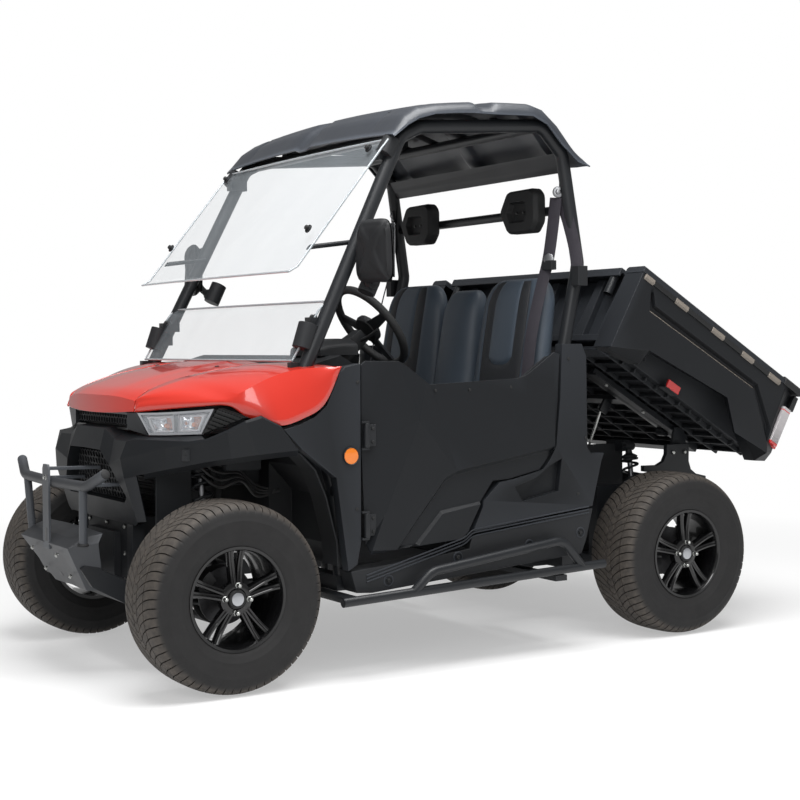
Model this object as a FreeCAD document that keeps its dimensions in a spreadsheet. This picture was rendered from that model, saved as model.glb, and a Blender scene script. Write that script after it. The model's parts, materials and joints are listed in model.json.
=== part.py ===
import FreeCAD, Part
import math
import os

import Sketcher
from FreeCAD import Placement, Rotation, Vector

# Side by side utility vehicle, millimetres. +X forward, +Y left, +Z up.
# The origin is on the ground, at the middle of the vehicle's length and width.

os.makedirs("parts", exist_ok=True)
doc = FreeCAD.newDocument("side_by_side_utv")

# Driving dimensions, by piece
SIZES = {
    # stance
    "front_axle_x": 1055.0,
    "wheelbase": 1880.0,
    "track": 1215.0,
    "tyre_radius": 305.0,
    "front_tyre_width": 240.0,
    "rear_tyre_width": 250.0,
    "tyre_crown": 8.0,
    "tyre_shoulder": 50.0,
    "tyre_bulge": 8.0,
    "bead_radius": 154.0,
    "seat_gap": 0.3,
    "running_gap": 0.05,
    # rims
    "rim_inset": 17.0,
    "rim_flange": 12.0,
    "rim_lip": 7.0,
    "rim_wall": 7.0,
    "rim_well": 16.0,
    "rim_well_back": 60.0,
    "hub_inset": 46.0,
    "hub_thick": 24.0,
    "hub_radius": 52.0,
    "spoke_count": 5.0,
    "spoke_thick": 18.0,
    "spoke_width": 26.0,
    "spoke_splay": 46.0,
    "spindle_radius": 18.0,
    # knuckles and hub carriers
    "kingpin_in": 76.0,
    "upright_height": 170.0,
    "upright_width": 50.0,
    "upright_thick": 30.0,
    "ball_radius": 8.0,
    "ball_reach": 12.0,
    "steer_arm_length": 110.0,
    "steer_arm_thick": 14.0,
    "steer_arm_z": 20.0,
    "disc_radius": 95.0,
    "disc_thick": 5.0,
    "disc_in": 30.0,
    # suspension
    "arm_tube": 13.0,
    "arm_top_z": 400.0,
    "arm_spread": 120.0,
    "shock_body": 25.0,
    "shock_coil": 34.0,
    "shock_wire": 5.5,
    "shock_turns": 7.0,
    "front_shock_z": 725.0,
    "rear_shock_z": 690.0,
    "shock_top_y": 310.0,
    "shock_low_z": 268.0,
    "shock_low_y": 385.0,
    "shock_off": 55.0,
    "half_shaft": 12.0,
    "boot_radius": 30.0,
    "boot_length": 60.0,
    "rack_radius": 20.0,
    "rack_half": 249.0,
    "rod_radius": 8.0,
    "rod_gap": 6.0,
    "rod_drop": 0.5,
    # chassis
    "rail_y": 225.0,
    "rail_width": 50.0,
    "rail_height": 50.0,
    "rail_z": 232.0,
    "rear_rail_z": 500.0,
    "rear_rail_y": 410.0,
    "frame_front": 160.0,
    "frame_rear": 350.0,
    "kick_ahead": 210.0,
    "cross_width": 40.0,
    "tower_width": 44.0,
    "hinge_back": 230.0,
    "hinge_z": 745.0,
    "hinge_pin": 9.0,
    "hinge_lug": 12.0,
    "hinge_ear_gap": 1.0,
    "hinge_bracket": 120.0,
    "drive_length": 300.0,
    "drive_width": 320.0,
    "drive_height": 190.0,
    "battery_length": 380.0,
    "battery_width": 380.0,
    "battery_height": 250.0,
    "receiver_side": 63.5,
    "receiver_bore": 51.0,
    "receiver_length": 160.0,
    "receiver_z": 400.0,
    "hitch_pin_radius": 8.2,
    "hitch_pin_back": 45.0,
    # lower body
    "body_half": 700.0,
    "drawn_half": 700.0,
    "drawn_wheelbase": 1880.0,
    "panel_thick": 40.0,
    "panel_gap": 12.0,
    "pocket_deep": 8.0,
    "floor_z": 350.0,
    "floor_thick": 12.0,
    "floor_in": 140.0,
    "arch_inner": 340.0,
    "sill_low_z": 280.0,
    "door_ahead": 476.5,
    "door_behind": 337.5,
    "door_low_z": 403.5,
    "door_top_z": 1044.0,
    "door_inset": 2.0,
    "door_pin": 6.0,
    "door_barrel": 10.0,
    "door_barrel_length": 80.0,
    "door_hinge_low_z": 465.0,
    "door_hinge_high_z": 760.0,
    "step_bar_out": 40.0,
    "step_bar_radius": 15.5,
    "step_bar_z": 287.0,
    # cage and roof
    "cage_tube": 24.0,
    "roof_in": 68.0,
    "roof_thick": 8.0,
    "roof_crown": 18.0,
    "roof_ahead": 313.0,
    "roof_behind": 527.0,
    "roof_low_z": 1741.0,
    "roof_top_z": 1952.0,
    "glass_thick": 5.0,
    "glass_in": 95.0,
    # front body
    "hood_half": 300.0,
    "hood_thick": 10.0,
    "skin_thick": 12.0,
    "grille_half": 236.0,
    "grille_pitch": 24.0,
    "grille_low_z": 827.0,
    "grille_top_z": 860.0,
    "nose_low_z": 504.0,
    "lamp_depth": 60.0,
    "guard_tube": 17.0,
    # bed, in its lowered place
    "bed_tilt": 30.0,
    "bed_half": 700.0,
    "bed_wall": 110.0,
    "bed_front_ahead": 462.0,
    "bed_rear_back": 497.0,
    "bed_low_z": 745.0,
    "bed_top_z": 1064.0,
    "bed_floor_z": 800.0,
    "bed_floor_thick": 20.0,
    "bed_pad": 3.0,
    "bed_pad_in": 15.0,
    "bed_front_wall": 55.0,
    "tailgate_thick": 40.0,
    "tailgate_gap": 6.0,
    "tailgate_pin": 7.0,
    "strut_y": 200.0,
    "strut_foot_ahead": 130.0,
    "strut_foot_z": 520.0,
    "strut_eye_ahead": 10.0,
    "strut_barrel": 12.0,
    "strut_rod": 5.0,
    "strut_barrel_length": 175.0,
    "sub_rail_y": 320.0,
    "sub_rail_width": 40.0,
    "sub_rail_height": 32.0,
    # cab
    "seat_base_top": 690.0,
    "seat_base_front": 60.0,
    "cushion_top": 800.0,
    "seat_front": 90.0,
    "seat_back_x": 415.0,
    "seat_top_z": 1342.0,
    "seat_in": 140.0,
    "seat_inner_y": 140.0,
    "seat_middle_half": 122.0,
    "seat_back_thick": 90.0,
    "headrest_bar_z": 1592.0,
    "headrest_bar_radius": 17.0,
    "headrest_y": 370.0,
    "headrest_width": 250.0,
    "headrest_height": 160.0,
    "headrest_thick": 85.0,
    "wheel_x": 238.0,
    "wheel_y": 355.0,
    "wheel_z": 1162.0,
    "wheel_radius": 165.0,
    "wheel_grip": 14.0,
    "column_lean": 37.0,
    "column_length": 330.0,
    "column_radius": 22.0,
    "column_shaft": 10.0,
}

sheet = doc.addObject("Spreadsheet::Sheet", "Sizes")
for row, (name, value) in enumerate(SIZES.items(), start=1):
    sheet.set("A%d" % row, name)
    sheet.set("B%d" % row, repr(value))
    sheet.setAlias("B%d" % row, name)
doc.recompute()


class Cells:
    """The sheet's cells by name: as expression text, or as numbers."""

    def __init__(self, as_text):
        self.as_text = as_text

    def __getattr__(self, name):
        if self.as_text:
            return "Sizes." + name
        return float(sheet.get(name))


S = Cells(True)
V = Cells(False)

# Datum lines that follow the sheet
FRONT = V.front_axle_x
REAR = V.front_axle_x - V.wheelbase
MIDDLE = V.front_axle_x - V.wheelbase / 2
FRONT_TEXT = S.front_axle_x
REAR_TEXT = f"({S.front_axle_x} - {S.wheelbase})"
MIDDLE_TEXT = f"({S.front_axle_x} - {S.wheelbase} / 2)"

# Outlines are drawn for one wheelbase and one width, and scale with both
LONG = V.wheelbase / V.drawn_wheelbase
WIDE = V.body_half / V.drawn_half
LONG_TEXT = f"({S.wheelbase} / {S.drawn_wheelbase})"
FLOOR_HALF = V.body_half - V.floor_in
FLOOR_HALF_TEXT = f"({S.body_half} - {S.floor_in})"
STEP_BAR_Y = V.body_half + V.step_bar_out
ROOF_HALF = V.body_half - V.roof_in
GLASS_HALF = V.body_half - V.glass_in
SEAT_OUTER_TEXT = f"({S.body_half} - {S.seat_in})"
DOOR_FRONT_TEXT = f"({MIDDLE_TEXT} + {S.door_ahead} * {LONG_TEXT})"
DOOR_REAR_TEXT = f"({MIDDLE_TEXT} - {S.door_behind} * {LONG_TEXT})"

SUBPARTS = []


def subpart(obj, label):
    """Names a finished piece and lists it for export."""
    obj.Label = label
    SUBPARTS.append(obj)
    return obj


def bind(obj, **expressions):
    """Binds properties to expressions; x, y and z are the placement's base."""
    for key, text in expressions.items():
        path = "Placement.Base." + key if key in ("x", "y", "z") else key
        obj.setExpression(path, str(text))
    return obj


def box(name, x, y, z, length, width, height):
    """A block from its low corner and its three sizes, all expressions."""
    block = doc.addObject("Part::Box", name)
    return bind(block, x=x, y=y, z=z, Length=length, Width=width, Height=height)


TURNS = {
    "z": Rotation(),
    "x": Rotation(Vector(0, 1, 0), 90),
    "y": Rotation(Vector(1, 0, 0), -90),
}


def rod(name, x, y, z, radius, length, along="z"):
    """A round bar from the centre of its low end, along one axis."""
    bar = doc.addObject("Part::Cylinder", name)
    bar.Placement = Placement(Vector(), TURNS[along])
    return bind(bar, x=x, y=y, z=z, Radius=radius, Height=length)


def fuse(name, pieces):
    """One solid from pieces that overlap or touch."""
    whole = doc.addObject("Part::MultiFuse", name)
    whole.Shapes = pieces
    whole.Refine = True
    return whole


def cut(name, base, tool):
    """The base with the tool taken out of it."""
    rest = doc.addObject("Part::Cut", name)
    rest.Base = base
    rest.Tool = tool
    rest.Refine = True
    return rest


def mirror(name, source):
    """The same piece on the vehicle's other side."""
    other = doc.addObject("Part::Mirroring", name)
    other.Source = source
    other.Normal = Vector(0, 1, 0)
    return other


def group(name, pieces):
    """Like pieces that share a node without touching."""
    whole = doc.addObject("Part::Compound", name)
    whole.Links = pieces
    return whole


def both_sides(name, source):
    """A piece and its mirror image in one node."""
    return group(name, [source, mirror(name + "_right_side", source)])


def feature(name, shape):
    """A piece whose shape is worked out from the sheet below."""
    obj = doc.addObject("Part::Feature", name)
    obj.Shape = shape
    return obj


def origin_plane(body, role):
    """One of a body's own origin planes."""
    return [item for item in body.Origin.OriginFeatures if item.Role == role][0]


def outline_sketch(body, name, role, points):
    """A closed outline in a body, each corner bound to two expressions."""
    sketch = body.newObject("Sketcher::SketchObject", name)
    sketch.AttachmentSupport = [(origin_plane(body, role), "")]
    sketch.MapMode = "FlatFace"
    count = len(points)
    angles = [2 * math.pi * i / count for i in range(count)]
    for i in range(count):
        start = Vector(math.cos(angles[i]), math.sin(angles[i]), 0)
        after = (i + 1) % count
        end = Vector(math.cos(angles[after]), math.sin(angles[after]), 0)
        sketch.addGeometry(Part.LineSegment(start, end))
    for i in range(count):
        sketch.addConstraint(Sketcher.Constraint("Coincident", i, 2, (i + 1) % count, 1))
    for i, corner in enumerate(points):
        for kind, text, now in zip(("DistanceX", "DistanceY"), corner, (math.cos(angles[i]), math.sin(angles[i]))):
            index = sketch.addConstraint(Sketcher.Constraint(kind, -1, 1, i, 1, now))
            sketch.setExpression("Constraints[%d]" % index, str(text))
    return sketch


def plate_body(name, role, points, thick, **place):
    """A flat plate: an outline padded by its thickness. On XZ_Plane it grows towards -Y."""
    body = doc.addObject("PartDesign::Body", name)
    sketch = outline_sketch(body, name + "_outline", role, points)
    pad = body.newObject("PartDesign::Pad", name + "_pad")
    pad.Profile = sketch
    bind(pad, Length=thick)
    bind(body, **place)
    return body


def share_text(shares, x_ends, z_ends):
    """Outline corners as expressions, from shares of a span in x and in z."""
    corners = []
    for share_x, share_z in shares:
        x_text = f"{x_ends[0]} + {share_x} * ({x_ends[1]} - ({x_ends[0]}))"
        z_text = f"{z_ends[0]} + {share_z} * ({z_ends[1]} - ({z_ends[0]}))"
        corners.append((x_text, z_text))
    return corners


def spread(shares, x_ends, z_ends):
    """The same corners as numbers."""
    return [
        (x_ends[0] + share_x * (x_ends[1] - x_ends[0]), z_ends[0] + share_z * (z_ends[1] - z_ends[0]))
        for share_x, share_z in shares
    ]


def prism(corners, y_low, y_high):
    """A solid from an outline in x and z, between two y places."""
    points = [Vector(x, y_low, z) for x, z in corners]
    face = Part.Face(Part.makePolygon(points + points[:1]))
    return face.extrude(Vector(0, y_high - y_low, 0))


def closed_skin(outer, inner):
    """A panel between two grids of points, closed round its edges, its faces outwards."""
    rows = len(outer)
    columns = len(outer[0])
    corners = []

    def triangle(a, b, c):
        if (b - a).cross(c - a).Length > 1e-6:
            corners.append((a, b, c))

    def quad(a, b, c, d):
        triangle(a, b, c)
        triangle(a, c, d)

    for i in range(rows - 1):
        for j in range(columns - 1):
            quad(outer[i][j], outer[i][j + 1], outer[i + 1][j + 1], outer[i + 1][j])
            quad(inner[i][j], inner[i + 1][j], inner[i + 1][j + 1], inner[i][j + 1])
    for i in range(rows - 1):
        quad(outer[i][0], outer[i + 1][0], inner[i + 1][0], inner[i][0])
        last = columns - 1
        quad(outer[i][last], inner[i][last], inner[i + 1][last], outer[i + 1][last])
    for j in range(columns - 1):
        quad(outer[0][j], inner[0][j], inner[0][j + 1], outer[0][j + 1])
        last = rows - 1
        quad(outer[last][j], outer[last][j + 1], inner[last][j + 1], inner[last][j])
    return solid_of(corners, 1) or solid_of(corners, -1)


def solid_of(corners, turn):
    """The solid inside the triangles, or None if they face inwards."""
    faces = [Part.Face(Part.makePolygon([a, b, c, a][::turn])) for a, b, c in corners]
    shell = Part.makeShell(faces)
    shell.sewShape()
    solid = Part.Solid(shell)
    if solid.Volume > 0:
        return solid
    return None


def shifted(grid, dx, dy, dz):
    """A grid moved inwards: dy is towards the middle plane on either side."""
    return [
        [Vector(p.x + dx, p.y - math.copysign(dy, p.y) if abs(p.y) > dy else p.y, p.z + dz) for p in row]
        for row in grid
    ]


def mirrored(shape):
    """A shape on the other side of the middle plane."""
    return shape.mirror(Vector(), Vector(0, 1, 0))


def round_tube(points, radius, bend):
    """A bent tube: straight runs joined by tangent arcs of the bend radius."""
    edges = []
    last = points[0]
    for before, corner, after in zip(points, points[1:], points[2:]):
        back = (before - corner).normalize()
        ahead = (after - corner).normalize()
        half = back.getAngle(ahead) / 2
        reach = bend / math.tan(half)
        limit = 0.48 * min((before - corner).Length, (after - corner).Length)
        reach = min(reach, limit)
        size = reach * math.tan(half)
        start = corner + back * reach
        end = corner + ahead * reach
        centre = corner + (back + ahead).normalize() * (size / math.sin(half))
        middle = centre + (corner - centre).normalize() * size
        edges.append(Part.LineSegment(last, start).toShape())
        edges.append(Part.Arc(start, middle, end).toShape())
        last = end
    edges.append(Part.LineSegment(last, points[-1]).toShape())
    path = Part.Wire(edges)
    along = (points[1] - points[0]).normalize()
    ring = Part.Wire([Part.makeCircle(radius, points[0], along)])
    return path.makePipeShell([ring], True, False)


def bar_between(start, end, radius):
    """A straight round bar."""
    return Part.makeCylinder(radius, (end - start).Length, start, end - start)


# Wheels: the tyre and rim sections are turned about Y, which points out of the wheel
def tyre(name, width):
    half = f"{width} / 2"
    bead = f"{half} - {S.rim_inset} - {S.rim_lip} - {S.seat_gap}"
    top = f"{S.tyre_radius} - {S.tyre_crown}"
    side = f"{S.bead_radius} + {S.rim_flange}"
    waist = f"({S.tyre_radius} + {S.bead_radius}) / 2"
    points = [
        (f"-({bead})", S.bead_radius),
        (bead, S.bead_radius),
        (bead, side),
        (half, waist),
        (f"{half} - {S.tyre_bulge} / 2", top),
        ("0", S.tyre_radius),
        (f"-({half} - {S.tyre_bulge} / 2)", top),
        (f"-({half})", waist),
        (f"-({bead})", side),
    ]
    body = doc.addObject("PartDesign::Body", name)
    sketch = outline_sketch(body, name + "_section", "YZ_Plane", points)
    turned = body.newObject("PartDesign::Revolution", name + "_turned")
    turned.Profile = sketch
    turned.ReferenceAxis = (sketch, ["H_Axis"])
    turned.Angle = 360.0
    doc.recompute()
    ends = []
    for number, edge in enumerate(turned.Shape.Edges, start=1):
        curve = edge.Curve
        if isinstance(curve, Part.Circle) and abs(curve.Radius - (V.tyre_radius - V.tyre_crown)) < 0.01:
            ends.append("Edge%d" % number)
    shoulder = body.newObject("PartDesign::Fillet", name + "_shoulder")
    shoulder.Base = (turned, ends)
    bind(shoulder, Radius=S.tyre_shoulder)
    body.Tip = shoulder
    return body


def rim(name, width):
    flange = f"{width} / 2 - {S.rim_inset}"
    lip = f"{width} / 2 - {S.rim_inset} - {S.rim_lip}"
    seat = f"{S.bead_radius} - {S.seat_gap}"
    top = f"{S.bead_radius} + {S.rim_flange}"
    well = f"{S.bead_radius} - {S.rim_well}"
    inner_seat = f"{seat} - {S.rim_wall}"
    inner_well = f"{well} - {S.rim_wall}"
    hub_face = f"{width} / 2 - {S.hub_inset}"
    hub_back = f"{width} / 2 - {S.hub_inset} - {S.hub_thick}"
    points = [
        (f"-({flange})", top),
        (f"-({lip})", top),
        (f"-({lip} - {S.seat_gap})", seat),
        (f"-({S.rim_well_back})", seat),
        (f"-({S.rim_well_back} - {S.rim_well})", well),
        (f"({S.rim_well_back} - {S.rim_well}) / 2", well),
        (f"{S.rim_well_back} / 2 + {S.rim_well} / 2", seat),
        (f"{lip} - {S.seat_gap}", seat),
        (lip, top),
        (flange, top),
        (flange, inner_seat),
        (f"{S.rim_well_back} / 2 + {S.rim_well} / 2", inner_seat),
        (f"({S.rim_well_back} - {S.rim_well}) / 2", inner_well),
        (f"-({S.rim_well_back} - {S.rim_well})", inner_well),
        (f"-({S.rim_well_back})", inner_seat),
        (f"-({flange})", inner_seat),
    ]
    body = doc.addObject("PartDesign::Body", name)
    sketch = outline_sketch(body, name + "_section", "YZ_Plane", points)
    turned = body.newObject("PartDesign::Revolution", name + "_turned")
    turned.Profile = sketch
    turned.ReferenceAxis = (sketch, ["H_Axis"])
    turned.Angle = 360.0
    hub_points = [
        (hub_back, f"{S.spindle_radius} + {S.running_gap}"),
        (f"{hub_face} - {S.hub_thick} / 3", f"{S.spindle_radius} + {S.running_gap}"),
        (f"{hub_face} - {S.hub_thick} / 3", "0"),
        (hub_face, "0"),
        (hub_face, S.hub_radius),
        (hub_back, S.hub_radius),
    ]
    hub_sketch = outline_sketch(body, name + "_hub_section", "YZ_Plane", hub_points)
    hub = body.newObject("PartDesign::Revolution", name + "_hub")
    hub.Profile = hub_sketch
    hub.ReferenceAxis = (hub_sketch, ["H_Axis"])
    hub.Angle = 360.0
    root = f"({S.hub_radius} - {S.rim_lip})"
    end = f"({inner_seat} + {S.rim_lip} / 2)"
    near = f"{S.spoke_width} / 2"
    far = S.spoke_splay
    slot = f"{S.spoke_width} / 4"
    spoke_points = [
        (f"-({near})", root),
        (near, root),
        (far, f"{end} - {S.rim_lip}"),
        (f"{far} - {S.spoke_width} * 0.9", end),
        (slot, f"{root} + {S.spoke_width}"),
        (f"-({slot})", f"{root} + {S.spoke_width}"),
        (f"-({far} - {S.spoke_width} * 0.9)", end),
        (f"-({far})", f"{end} - {S.rim_lip}"),
    ]
    spoke_sketch = outline_sketch(body, name + "_spoke_outline", "XZ_Plane", spoke_points)
    bind_offset = f"-({hub_face})"
    spoke_sketch.setExpression("AttachmentOffset.Base.z", bind_offset)
    spoke = body.newObject("PartDesign::Pad", name + "_spoke")
    spoke.Profile = spoke_sketch
    bind(spoke, Length=S.spoke_thick)
    doc.recompute()
    ring = body.newObject("PartDesign::PolarPattern", name + "_spokes")
    ring.Originals = [spoke]
    ring.Axis = (hub_sketch, ["H_Axis"])
    ring.Angle = 360.0
    bind(ring, Occurrences=S.spoke_count)
    body.Tip = ring
    return body


def set_wheel(piece, axle_text, side):
    """Puts a wheel piece on its axle; the right side is turned half round."""
    turn = Rotation() if side > 0 else Rotation(Vector(0, 0, 1), 180)
    piece.Placement = Placement(Vector(), turn)
    half = f"{S.track} / 2" if side > 0 else f"-{S.track} / 2"
    return bind(piece, x=axle_text, y=half, z=S.tyre_radius)


CORNERS = [
    ("front_left", FRONT_TEXT, 1, S.front_tyre_width),
    ("front_right", FRONT_TEXT, -1, S.front_tyre_width),
    ("rear_left", REAR_TEXT, 1, S.rear_tyre_width),
    ("rear_right", REAR_TEXT, -1, S.rear_tyre_width),
]


def wheels():
    for corner, axle, side, width in CORNERS:
        subpart(set_wheel(tyre("tyre_" + corner, width), axle, side), "tyre_" + corner)
        subpart(set_wheel(rim("rim_" + corner, width), axle, side), "rim_" + corner)


# Uprights: spindle, brake disc and upright, inside the rim
def upright(name, width, axle, steered):
    """The left side's hub carrier, with a steering arm when it is a knuckle."""
    axle_y = f"{S.track} / 2"
    pin_y = f"({axle_y} - {S.kingpin_in})"
    hub_back = f"({axle_y} + {width} / 2 - {S.hub_inset} - {S.hub_thick})"
    upright_block = box(
        name + "_block",
        f"{axle} - {S.upright_width} / 2",
        f"{pin_y} - {S.upright_thick} / 2",
        f"{S.tyre_radius} - {S.upright_height} / 2 + {S.ball_reach}",
        S.upright_width,
        S.upright_thick,
        f"{S.upright_height} - 2 * {S.ball_reach}",
    )
    spindle = rod(
        name + "_spindle",
        axle,
        pin_y,
        S.tyre_radius,
        S.spindle_radius,
        f"{hub_back} + {S.hub_thick} / 2 - {pin_y}",
        "y",
    )
    disc = rod(
        name + "_disc",
        axle,
        f"{pin_y} + {S.disc_in}",
        S.tyre_radius,
        S.disc_radius,
        S.disc_thick,
        "y",
    )
    pieces = [upright_block, spindle, disc]
    if steered:
        arm = box(
            name + "_steer_arm",
            f"{axle} - {S.steer_arm_length}",
            f"{pin_y} - {S.upright_thick} / 2",
            f"{S.tyre_radius} + {S.steer_arm_z}",
            S.steer_arm_length,
            S.steer_arm_thick,
            S.steer_arm_thick,
        )
        pieces.append(arm)
    whole = fuse(name + "_fused", pieces)
    bore = rod(
        name + "_ball_bore",
        axle,
        pin_y,
        f"{S.tyre_radius} - {S.upright_height}",
        f"{S.ball_radius} + {S.running_gap}",
        f"2 * {S.upright_height}",
    )
    keep = rod(
        name + "_ball_core",
        axle,
        pin_y,
        f"{S.tyre_radius} - {S.upright_height} / 2 + 3 * {S.ball_reach}",
        f"{S.ball_radius} + 2 * {S.running_gap}",
        f"{S.upright_height} - 6 * {S.ball_reach}",
    )
    return cut(name + "_bored", whole, cut(name + "_ball_bores", bore, keep))


def uprights():
    left = upright("knuckle_left", S.front_tyre_width, FRONT_TEXT, True)
    subpart(left, "knuckle_left")
    subpart(mirror("knuckle_right", left), "knuckle_right")
    rear = upright("rear_carrier", S.rear_tyre_width, REAR_TEXT, False)
    subpart(both_sides("rear_carriers", rear), "rear_carriers")


# Suspension: arms, shocks, half shafts and steering rods
def axle_arms(axle):
    """Upper and lower arms of the left side: two legs from the frame to the ball joint."""
    pin_y = V.track / 2 - V.kingpin_in
    arms = []
    for level in (-1, 1):
        ball_z = V.tyre_radius + level * (V.upright_height / 2 + V.arm_tube - V.ball_reach + 4)
        outer = Vector(axle, pin_y, ball_z)
        shape = None
        ways = (-1, 1) if level < 0 else (1,)
        for way in ways:
            inner_z = V.rail_z + V.rail_height / 2 if level < 0 else V.arm_top_z
            bush_r = V.arm_tube * 1.4
            inner_y = V.rail_y + V.rail_width / 2 + bush_r + V.seat_gap
            inner = Vector(axle + way * V.arm_spread, inner_y, inner_z)
            leg = bar_between(inner, outer, V.arm_tube)
            shape = leg if shape is None else shape.fuse(leg)
        eye = Part.makeSphere(V.arm_tube * 1.02, outer)
        pin_low = min(0, -level) * (V.arm_tube + V.ball_reach)
        pin = Part.makeCylinder(V.ball_radius, V.arm_tube + V.ball_reach, outer + Vector(0, 0, pin_low))
        bush_start = axle + ways[0] * V.arm_spread - V.arm_tube * 2
        bush_length = axle + V.arm_spread + V.arm_tube * 2 - bush_start
        bush = Part.makeCylinder(bush_r, bush_length, Vector(bush_start, inner_y, inner.z), Vector(1, 0, 0))
        shape = shape.fuse([eye, pin, bush])
        if level < 0:
            saddle = Part.makeBox(
                2 * V.shock_body,
                2 * V.arm_tube,
                2 * V.arm_tube,
                Vector(
                    axle - V.shock_off - V.shock_body,
                    V.shock_low_y - V.arm_tube,
                    V.shock_low_z - 3 * V.arm_tube - V.seat_gap,
                ),
            )
            shape = shape.fuse(saddle)
        arms.append(shape.removeSplitter())
    return arms


def shock(axle, top_z):
    """A coil-over of the left side, leaning in from the lower arm to the tower."""
    low = Vector(axle - V.shock_off, V.shock_low_y, V.shock_low_z)
    top = Vector(axle - V.shock_off, V.shock_top_y, top_z)
    along = (top - low).normalize()
    length = (top - low).Length
    pieces = [Part.makeCylinder(V.shock_body, length * 0.5, low + along * length * 0.45, along)]
    pieces.append(Part.makeCylinder(V.shock_body * 0.5, length, low, along))
    for share in (0.12, 0.9):
        seat = Part.makeCylinder(V.shock_coil, V.shock_wire * 2, low + along * length * share, along)
        pieces.append(seat)
    turns = int(V.shock_turns)
    for turn in range(turns):
        share = 0.16 + 0.7 * turn / (turns - 1)
        place = low + along * (length * share - V.shock_wire)
        pieces.append(Part.makeCylinder(V.shock_coil, 2 * V.shock_wire, place, along))
    for point in (low, top):
        eye_base = point - Vector(V.shock_body, 0, 0)
        pieces.append(Part.makeCylinder(V.arm_tube, 2 * V.shock_body, eye_base, Vector(1, 0, 0)))
    eye = V.arm_tube
    half = V.shock_body
    pieces.append(Part.makeBox(2 * half, eye, 2 * eye, top - Vector(half, eye, eye)))
    pieces.append(Part.makeBox(2 * half, 2 * eye, eye, low - Vector(half, eye, eye)))
    return pieces[0].fuse(pieces[1:]).removeSplitter()


def suspension():
    for label, axle in (("front_arms", FRONT), ("rear_arms", REAR)):
        left = axle_arms(axle)
        subpart(feature(label, Part.makeCompound(left + [mirrored(arm) for arm in left])), label)
    coils = [shock(FRONT, V.front_shock_z), shock(REAR, V.rear_shock_z)]
    subpart(feature("shocks", Part.makeCompound(coils + [mirrored(coil) for coil in coils])), "shocks")
    shafts = []
    for axle in (REAR,):
        start = Vector(axle, V.drive_width / 2 + V.seat_gap, V.tyre_radius)
        end = Vector(axle, V.track / 2 - V.kingpin_in - V.upright_thick / 2 - V.rod_gap, V.tyre_radius)
        way = (end - start).normalize()
        boots = [Part.makeCone(V.half_shaft * 1.5, V.boot_radius, V.boot_length, end - way * V.boot_length, way)]
        boots.append(Part.makeCone(V.boot_radius, V.half_shaft * 1.5, V.boot_length, start, way))
        shafts.append(bar_between(start, end, V.half_shaft).fuse(boots).removeSplitter())
    subpart(feature("half_shafts", Part.makeCompound(shafts + [mirrored(one) for one in shafts])), "half_shafts")
    rod_z = V.tyre_radius + V.steer_arm_z - V.rod_radius - V.rod_drop
    rack_x = FRONT - V.steer_arm_length + V.steer_arm_thick / 2
    housing = bar_between(Vector(rack_x, -V.rack_half, rod_z), Vector(rack_x, V.rack_half, rod_z), V.rack_radius)
    for side in (-1, 1):
        block = Part.makeBox(
            2 * V.rack_radius,
            V.rail_width - 10,
            rod_z - V.rail_z - V.rail_height - V.seat_gap,
            Vector(
                rack_x - V.rack_radius,
                side * V.rail_y - V.rail_width / 2 + 5,
                V.rail_z + V.rail_height + V.seat_gap,
            ),
        )
        housing = housing.fuse(block)
    reach = V.track / 2 - V.kingpin_in
    low = Vector(rack_x, -reach, rod_z)
    high = Vector(rack_x, reach, rod_z)
    bore = bar_between(low, high, V.rod_radius + V.running_gap)
    subpart(feature("steering_rack", housing.cut(bore).removeSplitter()), "steering_rack")
    ends = [
        Part.makeCylinder(V.rod_radius * 1.4, 2 * V.rod_radius, point - Vector(0, 0, V.rod_radius)) for point in (low, high)
    ]
    rods = bar_between(low, high, V.rod_radius).fuse(ends).removeSplitter()
    subpart(feature("steering_rods", rods), "steering_rods")


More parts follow.
